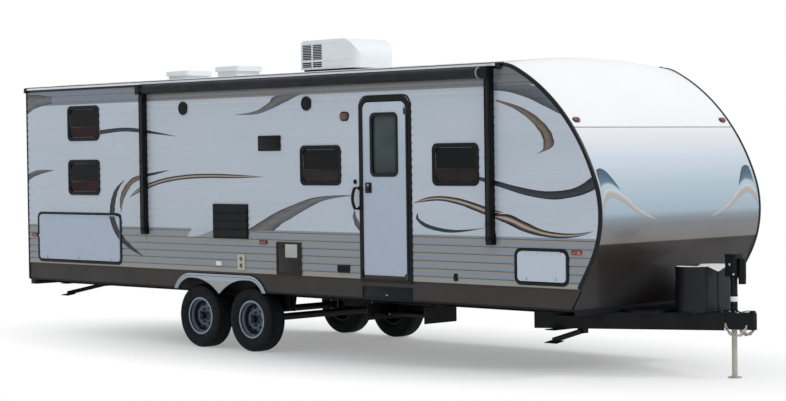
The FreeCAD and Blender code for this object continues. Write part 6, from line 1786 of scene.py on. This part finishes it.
def vent_lids():
    """Each roof vent's pressed lid, hinge, lift bar and the sealant round its flange."""
    build = Build("vent_lids", WHITE_PLASTIC, SEALANT, BRIGHT)
    for low, high in pieces_of("roof_vents"):
        middle = (low + high) / 2
        top = high.z
        for reach, tall in ((0.150, 0.004), (0.105, 0.008), (0.060, 0.0115)):
            loop = round_loop((middle.x - reach, middle.y - reach),
                              (middle.x + reach, middle.y + reach), reach * 0.3)
            build.slab(loop, top - 0.001, top + tall, "Z", WHITE_PLASTIC, 0.002)
        for way in (-1, 1):
            build.box((middle.x - 0.16, way * 0.120 - 0.006, top - 0.001),
                      (middle.x + 0.16, way * 0.120 + 0.006, top + 0.006), WHITE_PLASTIC)
        build.lathe((low.x + 0.01, middle.y - 0.15, top - 0.008), "Y",
                    ((0, 0), (0, 0.006), (0.30, 0.006), (0.30, 0)), BRIGHT, 12)
        edge = round_loop((low.x - 0.012, low.y - 0.012), (high.x + 0.012, high.y + 0.012), 0.03, 8)
        build.tube([(x, y, on_roof(x, y) + 0.001) for x, y in edge], 0.006, SEALANT, 8, True)
    build.done("caravan")


ROOF_LAPS = (-3.75, -1.35, 1.05)
LAP_SECTION = ((-0.030, 0.0), (-0.030, 0.0025), (0.030, 0.0025), (0.030, 0.0))


def roof_seams():
    """Laps of the membrane across the roof and the sealant along its edges."""
    build = Build("roof_seams", SEALANT)
    low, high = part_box("roof")
    reach = SIDE - 0.055
    rows = [-reach + 2 * reach * k / 24 for k in range(25)]
    for x in (low.x + 0.06, *ROOF_LAPS, high.x - 0.05):
        stations = []
        for y in rows:
            z = on_roof(x, y)
            stations.append([Vector((x + dx, y, z + up)) for dx, up in LAP_SECTION])
        build.sweep(stations, SEALANT)
    for sign in SIDES.values():
        path = [(low.x + 0.03 + (high.x - low.x - 0.06) * k / 12, sign * reach) for k in range(13)]
        build.tube([(x, y, on_roof(x, y) + 0.002) for x, y in path], 0.007, SEALANT, 8)
    build.done("caravan")


cooler()
vent_lids()
roof_seams()

# Wheels

TYRE_HALF, BEAD_RADIUS = 0.1025, 0.204
TREAD_BLOCKS = 64
TREAD_DEEP = 0.0075
# The carcass from the tread's middle to the bead: share of the half width, and radius.
CARCASS = ((0.0, 0.3450), (0.40, 0.3447), (0.66, 0.3432), (0.80, 0.3395),
           (0.90, 0.3320), (0.955, 0.3200), (0.985, 0.3020),
           (1.0, 0.2800), (0.985, 0.2560), (0.94, 0.2350),
           (0.875, 0.2200), (0.835, 0.2110), (0.81, 0.2040))
# Tread grooves that run round: share of the half width at their middles, and half their widths.
GROOVES = ((-0.47, 0.040), (0.0, 0.036), (0.47, 0.040))
SHOULDER, TREAD_FOOT = 0.90, 0.325
# Rings moulded on the side walls: radius, and distance from the tyre's middle plane.
WALL_RINGS = ((0.3135, 0.0988), (0.2960, 0.1013), (0.2430, 0.0975), (0.2220, 0.0898))
LUGS, LUG_RING, LUG_SEAT = 6, 0.066, 0.031
HUB_FACE = 0.0774
VALVE_TURN, WEIGHT_TURN = 0.56, 0.18


def tread_depth(across, turn):
    """How deep the tread is cut at a share of the half width and of the turn."""
    for middle, half in GROOVES:
        if abs(across - middle) < half:
            return TREAD_DEEP
    if abs(across) > SHOULDER:
        return 0.0
    offset = 0.33 if across > 0 else 0.0
    step = (turn * TREAD_BLOCKS + offset + abs(across) * 0.5) % 1.0
    cut = 0.16 if abs(across) > 0.5 else 0.11
    return TREAD_DEEP * (0.9 if abs(across) > 0.5 else 0.55) if step < cut else 0.0


def tyre(corner):
    """A radial tyre: cut tread blocks, moulded rings on its walls and beads that seat on the rim."""
    centre = middle_of("tyre_" + corner)
    half = [Vector((a, r, 0)) for a, r in CARCASS]
    fine = curve(half, 40)
    edges = [m + s * h for m, h in GROOVES if m >= 0 for s in (-1, -0.6, 0.6, 1)]
    marks = sorted({0.0, SHOULDER, *(edge for edge in edges if edge > 0)})
    profile = [(point.x, point.y) for point in fine]
    for mark in marks:
        near = min(range(len(profile) - 1), key=lambda k: abs(profile[k][0] - mark) if k < 16 else 9)
        if abs(profile[near][0] - mark) < 0.02:
            profile[near] = (mark, profile[near][1])
    sections = [(-a, r) for a, r in profile[::-1]] + profile[1:]
    columns = TREAD_BLOCKS * 6
    build = Build("tyre_" + corner + "_tread", RUBBER)
    rings = []
    for across, radius in sections:
        ring = []
        for k in range(columns):
            turn = k / columns
            reach = radius - (tread_depth(across, turn) if radius > TREAD_FOOT else 0.0)
            angle = 2 * math.pi * turn
            spot = (centre.x + reach * math.sin(angle),
                    centre.y + across * TYRE_HALF, centre.z + reach * math.cos(angle))
            ring.append(build.bm.verts.new(spot))
        rings.append(ring)
    faces = []
    for one, two in zip(rings, rings[1:]):
        for k in range(columns):
            j = (k + 1) % columns
            faces.append(build.bm.faces.new((one[k], one[j], two[j], two[k])))
    for level in (-1, 1):
        bead = centre.y + level * TYRE_HALF * 0.81
        inner = [(0, BEAD_RADIUS), (-level * 0.012, BEAD_RADIUS - 0.004),
                 (-level * 0.020, BEAD_RADIUS - 0.0125)]
        build.lathe((centre.x, bead, centre.z), "Y", inner, RUBBER, 96)
        for radius, out in WALL_RINGS:
            foot, top = (out - 0.0012) * level, (out + 0.0010) * level
            ridge = ((foot, radius - 0.0030), (top, radius - 0.0012),
                     (top, radius + 0.0012), (foot, radius + 0.0030))
            build.lathe(tuple(centre), "Y", ridge, RUBBER, 96)
    build.take(faces, RUBBER)
    piece = build.done("wheel_" + corner, 24.0)
    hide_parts("tyre_" + corner)


def wheel_trims(corner):
    """Lug nuts, the hub's black cap, the balance weight, the valve and the rolled edge of the rim."""
    centre = middle_of("rim_" + corner)
    way = math.copysign(1.0, centre.y)
    build = Build("wheel_trims_" + corner, BLACK, WHEEL_SILVER, RUBBER, ZINC)

    def at(reach, turn, out):
        angle = 2 * math.pi * turn
        return (centre.x + reach * math.sin(angle),
                centre.y + way * out, centre.z + reach * math.cos(angle))

    shade = ((0, 0.062), (0, 0.150), (0.002 * way, 0.150), (0.002 * way, 0.062))
    build.lathe((centre.x, centre.y + way * (LUG_SEAT - 0.018), centre.z), "Y", shade, BLACK, 40)
    for k in range(LUGS):
        spot = at(LUG_RING, k / LUGS, LUG_SEAT)
        build.lathe(spot, "Y", ((0, 0.016), (0.002 * way, 0.016), (0.003 * way, 0.012)), WHEEL_SILVER, 24)
        nut = ((0, 0.0105), (0.016 * way, 0.0105), (0.019 * way, 0.0085),
               (0.022 * way, 0.005), (0.023 * way, 0))
        build.lathe(spot, "Y", nut, WHEEL_SILVER, 6)
    cap = ((0.034 * way, 0.040), (0.036 * way, 0.040),
           (0.039 * way, 0.0345), (0.062 * way, 0.0325), (0.070 * way, 0.030),
           (0.0765 * way, 0.024), ((HUB_FACE + 0.0015) * way, 0.014), ((HUB_FACE + 0.0025) * way, 0))
    build.lathe(tuple(centre), "Y", cap, BLACK, 48)
    build.lathe(tuple(centre), "Y",
                ((0.046 * way, 0.0348), (0.048 * way, 0.0362), (0.050 * way, 0.0348)), BLACK, 48)
    stem = [at(reach, VALVE_TURN, out) for reach, out in ((0.162, 0.016), (0.164, 0.036), (0.168, 0.052))]
    build.tube(curve(stem, 8), 0.0048, RUBBER, 12)
    build.tube([at(0.168, VALVE_TURN, 0.051), at(0.1695, VALVE_TURN, 0.058)], 0.0036, BLACK, 10)
    for reach, out in ((0.2018, 0.0855), (0.1865, 0.084)):
        build.tube([at(reach, k / 72, out) for k in range(72)], 0.0018, WHEEL_SILVER, 6, True)
    weight = [at(0.1905, WEIGHT_TURN + 0.006 * k, 0.0862) for k in range(7)]
    build.tube(weight, 0.0042, ZINC, 8)
    build.done("wheel_" + corner, 32.0)


for corner in ("rear_right", "rear_left", "front_right", "front_left"):
    tyre(corner)
    wheel_trims(corner)

# Fenders

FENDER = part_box("fenders")
FENDER_HALF, FENDER_ROUND = 0.785, 0.300
FENDER_BAND = 0.050
FENDER_ARCH = 0.650
FENDER_FOOT = SKIRT_LOW - 0.010


def fender_line(inset):
    """The fender's outline from its rear foot to its front foot, drawn in by an inset, as (x, z)."""
    radius, top = FENDER_ROUND - inset, FENDER[1].z
    centre_z = top - FENDER_ROUND
    foot = math.asin((FENDER_FOOT - centre_z) / radius)
    reach = FENDER_HALF - FENDER_ROUND
    points = []
    for k in range(15):
        angle = foot + (math.pi / 2 - foot) * k / 14
        points.append((WHEELS_MID - reach - radius * math.cos(angle),
                       centre_z + radius * math.sin(angle)))
    return points + [(2 * WHEELS_MID - x, z) for x, z in points[::-1]]


def wheel_arch(inset):
    """The V-shaped panel between the wheels, drawn in by an inset, as (x, z)."""
    band = FENDER[1].z - FENDER_BAND - inset
    centre_z = FENDER[1].z - FENDER_BAND - FENDER_ARCH
    radius = FENDER_ARCH + inset
    points = []
    start = math.acos(min(1.0, (band - centre_z) / radius)) + 0.05
    end = math.asin((AXLE_PITCH / 2 - inset) / radius)
    for k in range(11):
        angle = start + (end - start) * k / 10
        points.append((WHEELS_MID - AXLE_PITCH / 2 + radius * math.sin(angle),
                       centre_z + radius * math.cos(angle)))
    return points + [(2 * WHEELS_MID - x, z) for x, z in points[-2::-1]]


def fender_trims(side):
    """Rolled beads along the fender's band with a blue-grey painted reflection line, its grey infill
    panel, rivets, and a dark brown bead above it as a painted shadow line.
    """
    sign = SIDES[side]
    face = SIDE + 0.016
    build = Build("fender_trims_" + side, FENDER_SILVER, FENDER_GREY, HEATER_BROWN, FENDER_REFLECTION)
    # a blue-grey line along the band: painted reflection
    build.tube([(x, sign * (face - 0.0022), z) for x, z in fender_line(0.024)], 0.0046, FENDER_REFLECTION, 10)
    for inset, radius in ((0.0035, 0.0038), (0.0455, 0.0034)):
        build.tube([(x, sign * (face + 0.0006), z) for x, z in fender_line(inset)],
                   radius, FENDER_SILVER, 10)
    build.slab(wheel_arch(0.010), sign * face, sign * (face + 0.0014), "Y", FENDER_GREY, 0.0006, 1)
    build.tube([(x, sign * (face + 0.0010), z) for x, z in wheel_arch(0.002)], 0.0026, FENDER_SILVER, 8)
    line = fender_line(0.0325)
    for k in range(1, len(line) - 1, 2):
        build.bolt((line[k][0], sign * face, line[k][1]), "Y", 0.0032, sign * 0.002, FENDER_GREY, 8)
    for share in (0.2, 0.4, 0.6, 0.8):
        x = WHEELS_MID + (share - 0.5) * 0.97
        build.bolt((x, sign * face, FENDER[1].z - 0.0325), "Y", 0.0032, sign * 0.002, FENDER_GREY, 8)
    # a dark brown bead above the fender: painted shadow line
    build.tube([(x, sign * (SIDE + 0.003), z) for x, z in fender_line(-0.004)], 0.004, HEATER_BROWN, 8)
    build.done("caravan", 40.0)


for side in SIDES:
    fender_trims(side)


# Tongue: gas cover, jack, coupler and bumper

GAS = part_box("gas_cover")
GAS_SPREAD, GAS_LOBE, GAS_DIP = 0.160, 0.165, 0.055
STRAP_FOOT = 0.62
JACK_AT = (4.638, 0.0)
MOTOR_AT, MOTOR_RINGS = 4.730, (0.866, 0.892, 1.060, 1.084)
POST_RADIUS = 0.0318
# Bolts through the tongue's top plate: place ahead and place aside.
PLATE_BOLTS = ((4.40, 0.16), (4.40, 0.28), (4.20, 0.28), (4.55, 0.072), (4.70, 0.035))
PLATE_EDGE = ((4.33, 0.245), (4.60, 0.100))
JACK_HEAD = (0.930, 1.136)
PLATE_TOP = 0.598


def gas_line(out, drop):
    """The gas cover's outline seen from above, pushed out, at its V-shaped top less a drop."""
    middle = (GAS[0].x + GAS[1].x) / 2
    radius = GAS_LOBE + out
    points = []
    for sign in (1, -1):
        for k in range(17):
            angle = math.pi * k / 16 - (0 if sign > 0 else math.pi)
            points.append((middle + radius * math.cos(angle),
                           sign * GAS_SPREAD + radius * math.sin(angle)))
        for share in (0.5, 0.0, -0.5):
            points.append((middle - sign * radius, sign * GAS_SPREAD * share))
    dips = [GAS_DIP * max(0.0, 1 - abs(y) / GAS_SPREAD) for _, y in points]
    return [(x, y, GAS[1].z - dip - drop) for (x, y), dip in zip(points, dips)]


def gas_trims():
    """The cover's rolled rims, the rod behind its top, the strap over the dip and its wing nut."""
    build = Build("gas_cover_trims", BLACK, BRIGHT)
    build.tube(gas_line(-0.0015, 0.003), 0.0045, BLACK, 8, True)
    build.tube([(x, y, GAS[0].z + 0.008) for x, y, _ in gas_line(0.004, 0)], 0.0075, BLACK, 8, True)
    middle = (GAS[0].x + GAS[1].x) / 2
    rod = [(GAS[0].x + 0.010, y, GAS[1].z - 0.004) for y in (-GAS_SPREAD - 0.06, 0.0, GAS_SPREAD + 0.06)]
    build.tube(rod, 0.0042, BLACK, 8)
    for y in (-0.12, 0.0, 0.12):
        build.lathe((GAS[0].x + 0.010, y, GAS[1].z - 0.006), "Z",
                    ((0, 0), (0, 0.009), (0.005, 0.009), (0.0055, 0)), BLACK, 12)
    top = GAS[1].z - GAS_DIP
    back, front = GAS[0].x, GAS[1].x
    strap = [
        (back - 0.0025, STRAP_FOOT), (back - 0.0025, top + 0.004), (front + 0.0025, top + 0.004),
        (front + 0.0025, STRAP_FOOT), (front - 0.001, STRAP_FOOT), (front - 0.001, top),
        (back + 0.001, top), (back + 0.001, STRAP_FOOT),
    ]
    build.slab(strap, -0.017, 0.017, "Y", BLACK, 0.001)
    build.lathe((middle, 0, top), "Z",
                ((0, 0.028), (0.004, 0.028), (0.006, 0.010), (0.030, 0.009), (0.032, 0)), BRIGHT, 24)
    blade = ((0.006, 0.014), (0.030, 0.022), (0.034, 0.036), (0.026, 0.040), (0.006, 0.026))
    for way in (-1, 1):
        wing = [(way * y, top + up) for y, up in blade]
        build.slab(wing, middle - 0.002, middle + 0.002, "X", BRIGHT, 0.001)
    build.done("caravan", 40.0)


def jack_trims():
    """The jack's cap, switches, lamps, crank socket, motor cover, post bands and collar bolts."""
    build = Build("jack_trims", BLACK, GLOSS_BLACK, BRIGHT, ZINC, WHITE_PLASTIC, DARK_PLASTIC)
    x, y = JACK_AT
    low, high = JACK_HEAD
    loop = round_loop((x - 0.062, y - 0.062), (x + 0.062, y + 0.062), 0.024)
    build.slab(loop, high - 0.006, high - 0.0002, "Z", GLOSS_BLACK, 0.0028, 3)
    seam = round_loop((x - 0.0665, y - 0.0665), (x + 0.0665, y + 0.0665), 0.027)
    for z in (low + 0.045, high - 0.040):
        build.tube([(a, b, z) for a, b in seam], 0.0022, BLACK, 6, True)
    for sign in (-1, 1):
        # a cover plate with its switch, and a small lamp below
        build.box((x - 0.034, sign * 0.0655, low + 0.085),
                  (x + 0.034, sign * 0.0675, low + 0.140), DARK_PLASTIC, 0.002)
        build.box((x - 0.010, sign * 0.0670, low + 0.102),
                  (x + 0.010, sign * 0.0725, low + 0.124), BRIGHT, 0.002)
        build.lathe((x + 0.042, sign * 0.065, low + 0.022), "Y",
                    ((0, 0.009), (sign * 0.004, 0.008), (sign * 0.005, 0)), WHITE_PLASTIC, 16)
        for dx in (-0.05, 0.05):
            build.bolt((x + dx, sign * 0.065, low + 0.016), "Y", 0.004, sign * 0.003, BLACK)
            build.bolt((x + dx, sign * 0.065, high - 0.018), "Y", 0.004, sign * 0.003, BLACK)
    socket = ((0, 0.013), (0.0003, 0.013), (0.0004, 0.008), (-0.008, 0.008), (-0.008, 0))
    build.lathe((x - 0.030, y, high - 0.0005), "Z", socket, BRIGHT, 20)
    for z in MOTOR_RINGS:
        rib = ((0, 0.0335), (0.001, 0.0355), (0.008, 0.0355), (0.009, 0.0335))
        build.lathe((MOTOR_AT, y, z), "Z", rib, BLACK, 40)
    for k in range(14):
        turn = 2 * math.pi * k / 14
        side_x, side_y = MOTOR_AT + 0.0345 * math.cos(turn), 0.0345 * math.sin(turn)
        build.tube([(side_x, side_y, 0.905), (side_x, side_y, 1.050)], 0.0016, BLACK, 6)
    bands = ((0.700, 0.046, 0.0348, WHITE_PLASTIC),
             (0.612, 0.010, 0.038, BLACK), (0.905, 0.022, 0.037, BLACK))
    for z, tall, reach, paint in bands:
        band = ((0, POST_RADIUS), (0, reach), (tall, reach), (tall, POST_RADIUS))
        build.lathe((x, y, z), "Z", band, paint, 40, edge=0.001)
    for k in range(6):
        turn = 2 * math.pi * k / 6 + 0.3
        build.bolt((x + 0.050 * math.cos(turn), 0.050 * math.sin(turn), PLATE_TOP + 0.008),
                   "Z", 0.0055, 0.006, BRIGHT)
    foot = ((0, POST_RADIUS), (0, 0.0345), (0.012, 0.0345), (0.012, POST_RADIUS))
    build.lathe((x, y, 0.440), "Z", foot, ZINC, 40)
    build.done("caravan", 35.0)


def jack_foot():
    """The foot's rim and weld, and the pin through it with its clip ring."""
    build = Build("jack_foot_trims", ZINC, BRIGHT)
    x, y = JACK_AT
    rim = ((0.0005, 0.0625), (0.0005, 0.0638), (0.009, 0.0638),
           (0.0105, 0.0625), (0.0085, 0.060), (0.008, 0.027), (0.014, 0.0256))
    build.lathe((x, y, 0), "Z", rim, ZINC, 48)
    build.tube([(x, y - 0.044, 0.038), (x, y + 0.044, 0.038)], 0.006, BRIGHT, 12)
    turns = [a * math.pi / 10 for a in range(20)]
    ring = [(x + 0.010 * math.sin(turn), y - 0.040, 0.030 + 0.010 * math.cos(turn)) for turn in turns]
    build.tube(ring, 0.0018, BRIGHT, 8, True)
    build.done("jack_leg", 35.0)


def coupler_trims():
    """The coupler's lock lever, its pin and nut, the plate's bolts and the seams along its edges."""
    build = Build("coupler_trims", CHASSIS, BRIGHT)
    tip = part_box("coupler")[1].x
    lever = ((0.150, 0.600), (0.075, 0.600), (0.064, 0.618), (0.078, 0.628), (0.150, 0.612))
    build.slab([(tip - back, z) for back, z in lever], -0.013, 0.013, "Y", BRIGHT, 0.002)
    build.tube([(tip - 0.088, -0.030, 0.612), (tip - 0.088, 0.030, 0.612)], 0.0045, BRIGHT, 12)
    build.lathe((tip - 0.045, 0, 0.598), "Z",
                ((0, 0.019), (0.012, 0.019), (0.016, 0.012), (0.016, 0.0)), BRIGHT, 6)
    for x, y in PLATE_BOLTS:
        for sign in (-1, 1):
            build.bolt((x, sign * y, PLATE_TOP), "Z", 0.008, 0.009, BRIGHT)
    for sign in (-1, 1):
        seam = [(x, sign * y, PLATE_TOP + 0.004) for x, y in PLATE_EDGE]
        build.tube(seam, 0.0035, CHASSIS, 8)
    build.done("caravan", 35.0)


def bumper_trims():
    """The bumper's end caps, each with a round plug."""
    build = Build("bumper_trims", BLACK)
    low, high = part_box("rear_bumper")
    for sign in (-1, 1):
        end = sign * high.y
        loop = round_loop((low.x, low.z), (high.x, high.z), 0.008)
        build.slab(loop, end - sign * 0.003, end + sign * 0.010, "Y", BLACK, 0.004)
        spot = ((low.x + high.x) / 2, end + sign * 0.010, (low.z + high.z) / 2)
        build.lathe(spot, "Y", ((0, 0.030), (sign * 0.004, 0.028), (sign * 0.004, 0)), BLACK, 24)
    build.done("caravan")


gas_trims()
jack_trims()
jack_foot()
coupler_trims()
bumper_trims()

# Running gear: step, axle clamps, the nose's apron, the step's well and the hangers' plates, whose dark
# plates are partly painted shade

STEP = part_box("step_tread")
RAIL_MID = 0.895
U_BOLT = (0.292, 0.448)
TIE_PLATES = ((0.296, 0.303), (0.438, 0.445))
APRON_HALF, TRAY_HALF = 1.150, 0.62
WELL_TOP, WELL_FRONT = 0.778, 1.712
WELL_RIVETS = ((1.353, 0.694), (1.368, 0.694))
# The hangers' plate, ahead of and behind its middle: half its length and height, from the top down.
HANGER_LINE = ((0.780, 0.640), (0.740, 0.425), (0.240, 0.425), (0.200, 0.345))
HANGER_FACE = 0.806


def step_grips():
    """Grip ribs, a nose strip and the pivot bolts of the folding step."""
    build = Build("step_grips", BLACK, BRIGHT, RUBBER)
    low, high = STEP
    for k in range(7):
        y = low.y + 0.024 + 0.029 * k
        build.box((low.x + 0.030, y, high.z - 0.0005),
                  (high.x - 0.030, y + 0.012, high.z + 0.0022), RUBBER, 0.001)
    build.box((low.x + 0.012, low.y - 0.0018, low.z + 0.004),
              (high.x - 0.012, low.y + 0.002, high.z - 0.004), BLACK, 0.0015)
    for x in (low.x + 0.06, high.x - 0.06):
        build.bolt((x, low.y - 0.0015, (low.z + high.z) / 2), "Y", 0.006, -0.004, BRIGHT)
    build.done("step_tread")


def step_bolts():
    """The pivot bolts on the step's side plates."""
    build = Build("step_bolts", BLACK)
    low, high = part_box("step_frame")
    for x, way in ((low.x, -1), (high.x, 1)):
        for y in (low.y + 0.05, low.y + 0.25, high.y - 0.05):
            build.bolt((x, y, high.z - 0.035), "X", 0.008, way * 0.006, BLACK)
    build.done("caravan")


def axle_clamps():
    """U-bolts, tie plates and nuts that hold each axle to its springs."""
    build = Build("axle_clamps", AXLE, ZINC)
    for x in (WHEELS_MID - AXLE_PITCH / 2, WHEELS_MID + AXLE_PITCH / 2):
        for sign in (-1, 1):
            y = sign * RAIL_MID
            for dx in (-0.052, 0.052):
                for dy in (-0.030, 0.030):
                    build.tube([(x + dx, y + dy, z) for z in U_BOLT], 0.0062, ZINC, 10)
                    build.bolt((x + dx, y + dy, TIE_PLATES[0][0]), "Z", 0.010, -0.010, ZINC)
            for foot, top in TIE_PLATES:
                build.box((x - 0.066, y - 0.043, foot), (x + 0.066, y + 0.043, top), AXLE, 0.002)
    build.done("caravan")


def nose_apron():
    """The closing plate that runs round under the nose's foot, down to the tongue's rails, partly painted
    shade, and dark sheets behind it and over the tongue as painted shade under the nose.
    """
    build = Build("nose_apron", CHASSIS)
    top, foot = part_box("front_cap")[0].z + 0.008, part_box("tongue_rails")[1].z + 0.0015
    outer = []
    for k in range(33):
        y = APRON_HALF * (2 * k / 32 - 1)
        hit, _, _, _ = NOSE_TREE.ray_cast(Vector((8, y, top)), Vector((-1, 0, 0)))
        outer.append((hit.x - 0.004, y))
    inner = [(x - 0.014, y * 0.99) for x, y in outer]
    build.slab(outer + inner[::-1], foot, top, "Z", CHASSIS)
    # dark sheets under the nose and over the tongue: painted shade
    sheet = outer + [(outer[-1][0] - 0.30, outer[-1][1]), (outer[0][0] - 0.30, outer[0][1])]
    build.slab(sheet, foot, foot + 0.003, "Z", CHASSIS)
    nose_front = outer[16][0]
    tray = [(nose_front - 0.10, -TRAY_HALF), (GAS[0].x + 0.02, -0.345),
            (GAS[0].x + 0.02, 0.345), (nose_front - 0.10, TRAY_HALF)]
    build.slab(tray, foot - 0.004, foot + 0.002, "Z", CHASSIS, 0.001)
    build.box((nose_front - 0.02, -0.50, foot), (GAS[0].x - 0.012, 0.50, foot + 0.034), CHASSIS, 0.004)
    for x, y in outer[2:-2:4]:
        build.lathe((x + 0.0005, y, (top + foot) / 2), "X",
                    ((0, 0.0065), (0.003, 0.006), (0.004, 0)), CHASSIS, 12)
    build.done("caravan")


def step_well():
    """The black panel behind the folded step, with rolled edges, painted shade for the step's shaded
    recess, and the dark plate at its back, painted shade too.
    """
    build = Build("step_well", CHASSIS, BLACK, ZINC)
    low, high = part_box("step_frame")
    face = SIDE + 0.0015
    x0, x1 = low.x - 0.030, WELL_FRONT
    # a black panel over the skirt: painted shade for the step's recess
    build.box((x0, -face - 0.002, SKIRT_LOW - 0.004), (x1, -SIDE + 0.001, WELL_TOP), CHASSIS, 0.0015)
    for z in (SKIRT_LOW + 0.002, WELL_TOP - 0.010):
        build.box((x0, -face - 0.007, z), (x1, -face - 0.001, z + 0.008), BLACK, 0.0015)
    for x in (x0 + 0.004, x1 - 0.012):
        build.box((x, -face - 0.007, SKIRT_LOW + 0.002),
                  (x + 0.008, -face - 0.001, WELL_TOP - 0.002), BLACK, 0.0015)
    for x in (x0 + 0.04, (x0 + x1) / 2, x1 - 0.04):
        build.bolt((x, -face - 0.002, WELL_TOP - 0.030), "Y", 0.006, -0.004, BLACK)
    for x, z in WELL_RIVETS:
        build.bolt((x, -face - 0.002, z), "Y", 0.0045, -0.004, ZINC)
    # a dark plate behind the step: painted shade
    build.box((low.x + 0.004, high.y + 0.004, low.z + 0.012),
              (high.x - 0.004, high.y + 0.008, high.z - 0.002), CHASSIS, 0.001)
    build.done("caravan")


def hanger_plates():
    """The braced plates between the hangers of the two axles' springs, inside the rails, large and dark
    as painted shade between the wheels.
    """
    build = Build("hanger_plates", AXLE)
    right = [(WHEELS_MID + x, z) for x, z in HANGER_LINE]
    left = [(WHEELS_MID - x, z) for x, z in HANGER_LINE]
    for sign in (-1, 1):
        face = sign * HANGER_FACE
        # a large dark plate: painted shade between the wheels
        build.slab([left[0], *right, *left[:0:-1]], sign * 0.800, face, "Y", AXLE, 0.0015)
        for x in (WHEELS_MID + 0.34 * k for k in range(-2, 3)):
            build.bolt((x, face, 0.610), "Y", 0.010, sign * 0.007, AXLE)
            build.box((x - 0.050, face, 0.470), (x + 0.050, sign * 0.809, 0.560), AXLE, 0.0012)
        build.box((WHEELS_MID - 0.012, face, 0.352),
                  (WHEELS_MID + 0.012, sign * 0.822, 0.585), AXLE, 0.003)
    build.done("caravan")


step_grips()
step_bolts()
axle_clamps()
nose_apron()
step_well()
hanger_plates()

# Stage: floor, world and sun

FLOOR_HALF = 60.0


def make_floor():
    """A pale floor that reads as white except where the caravan shades it."""
    made = Finish("floor_grey")
    tree = made.tree
    made.colour(made.mix(made.drift(0.4), rgb("dcdcdc"), rgb("e2e2e2"))).gloss(0.8, 0.9)
    mesh = bpy.data.meshes.new("floor")
    corners = [(FLOOR_HALF * x, FLOOR_HALF * y, 0) for x, y in ((-1, -1), (1, -1), (1, 1), (-1, 1))]
    mesh.from_pydata(corners, [], [(0, 1, 2, 3)])
    floor = bpy.data.objects.new("floor", mesh)
    bpy.context.collection.objects.link(floor)
    # where nothing shades the floor it reads as white; under the caravan its shade stays
    emit = tree.nodes.new("ShaderNodeEmission")
    paths = tree.nodes.new("ShaderNodeLightPath")
    seen = made.math("MAXIMUM", paths.outputs["Is Camera Ray"], paths.outputs["Is Glossy Ray"])
    far = made.node("ShaderNodeVectorMath", {"operation": "LENGTH"},
                    _0=made.stretched(0.2, 0.45, 1.0)).outputs["Value"]
    fade = made.between(far, 0.55, 1.25)
    blend = tree.nodes.new("ShaderNodeMixShader")
    tree.links.new(made.math("MULTIPLY", seen, made.between(fade, 0.0, 1.0, 0.3, 1.0)), blend.inputs[0])
    tree.links.new(made.shader.outputs[0], blend.inputs[1])
    tree.links.new(emit.outputs[0], blend.inputs[2])
    tree.links.new(blend.outputs[0], tree.nodes["Material Output"].inputs[0])
    mesh.materials.append(made.material)


AMBIENT = 0.86
SUN_STRENGTH, SUN_ROUND = 1.15, 14.0
SUN_TURN = (math.radians(44), 0.0, math.radians(118))


def make_world():
    """Even daylight; the camera and clear glass see plain white behind the object."""
    world = bpy.data.worlds.new("studio")
    bpy.context.scene.world = world
    world.use_nodes = True
    tree = world.node_tree
    light = tree.nodes["Background"]
    light.inputs["Color"].default_value = rgb("f2f5f8")
    light.inputs["Strength"].default_value = AMBIENT
    seen = tree.nodes.new("ShaderNodeBackground")
    seen.inputs["Color"].default_value = (1, 1, 1, 1)
    paths = tree.nodes.new("ShaderNodeLightPath")
    either = tree.nodes.new("ShaderNodeMath")
    either.operation = "MAXIMUM"
    tree.links.new(paths.outputs["Is Camera Ray"], either.inputs[0])
    tree.links.new(paths.outputs["Is Transmission Ray"], either.inputs[1])
    blend = tree.nodes.new("ShaderNodeMixShader")
    tree.links.new(either.outputs[0], blend.inputs[0])
    tree.links.new(light.outputs[0], blend.inputs[1])
    tree.links.new(seen.outputs[0], blend.inputs[2])
    tree.links.new(blend.outputs[0], tree.nodes["World Output"].inputs[0])


def make_sun():
    """A broad, soft sun from ahead and to the right."""
    data = bpy.data.lights.new("sun", "SUN")
    data.energy = SUN_STRENGTH
    data.angle = math.radians(SUN_ROUND)
    data.color = (1.0, 0.98, 0.95)
    sun = bpy.data.objects.new("sun", data)
    sun.rotation_euler = SUN_TURN
    bpy.context.collection.objects.link(sun)


make_floor()
make_world()
make_sun()


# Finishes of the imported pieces

# Each paint has the starts of its nodes' names; the first one that fits is taken.
NODE_PAINTS = (
    (CHASSIS,
     ("frame_rails", "cross_members", "tongue_rails", "rear_bumper", "coupler", "step_", "stabiliser")),
    (BLACK, ("jack_tube", "window_frames", "door_frames", "awning_arms")),
    (WHITE_PLASTIC, ("rear_wall", "air_conditioner", "roof_vents")),
    (DOOR_GLASS, ("entry_door_pane",)),
    (DOOR_WHITE, ("entry_door", "luggage_door", "kitchen_door")),
    (NOSE, ("side_wall", "front_cap")), (ROOF_WHITE, ("roof",)),
    (SKIRT, ("skirts",)), (UNDER, ("floor",)),
    (ZINC, ("jack_leg", "safety_chains")), (AXLE, ("axles", "suspension")), (RUBBER, ("tyre",)),
    (WHEEL_SILVER, ("rim",)), (FENDER_SILVER, ("fenders",)), (BOTTLE_COVER, ("gas_cover",)),
    (GLASS, ("window_panes",)), (FABRIC, ("awning_roller",)), (FITTING_PAINT, ("wall_fittings",)),
    (RED, ("marker_lamps",)),
)
for name, node in NODES.items():
    paint = next(paint for paint, starts in NODE_PAINTS if name.startswith(starts))
    if not node.data.materials:
        node.data.materials.append(paint)
    for slot in node.material_slots:
        slot.material = paint

bpy.context.scene.view_settings.view_transform = "Standard"
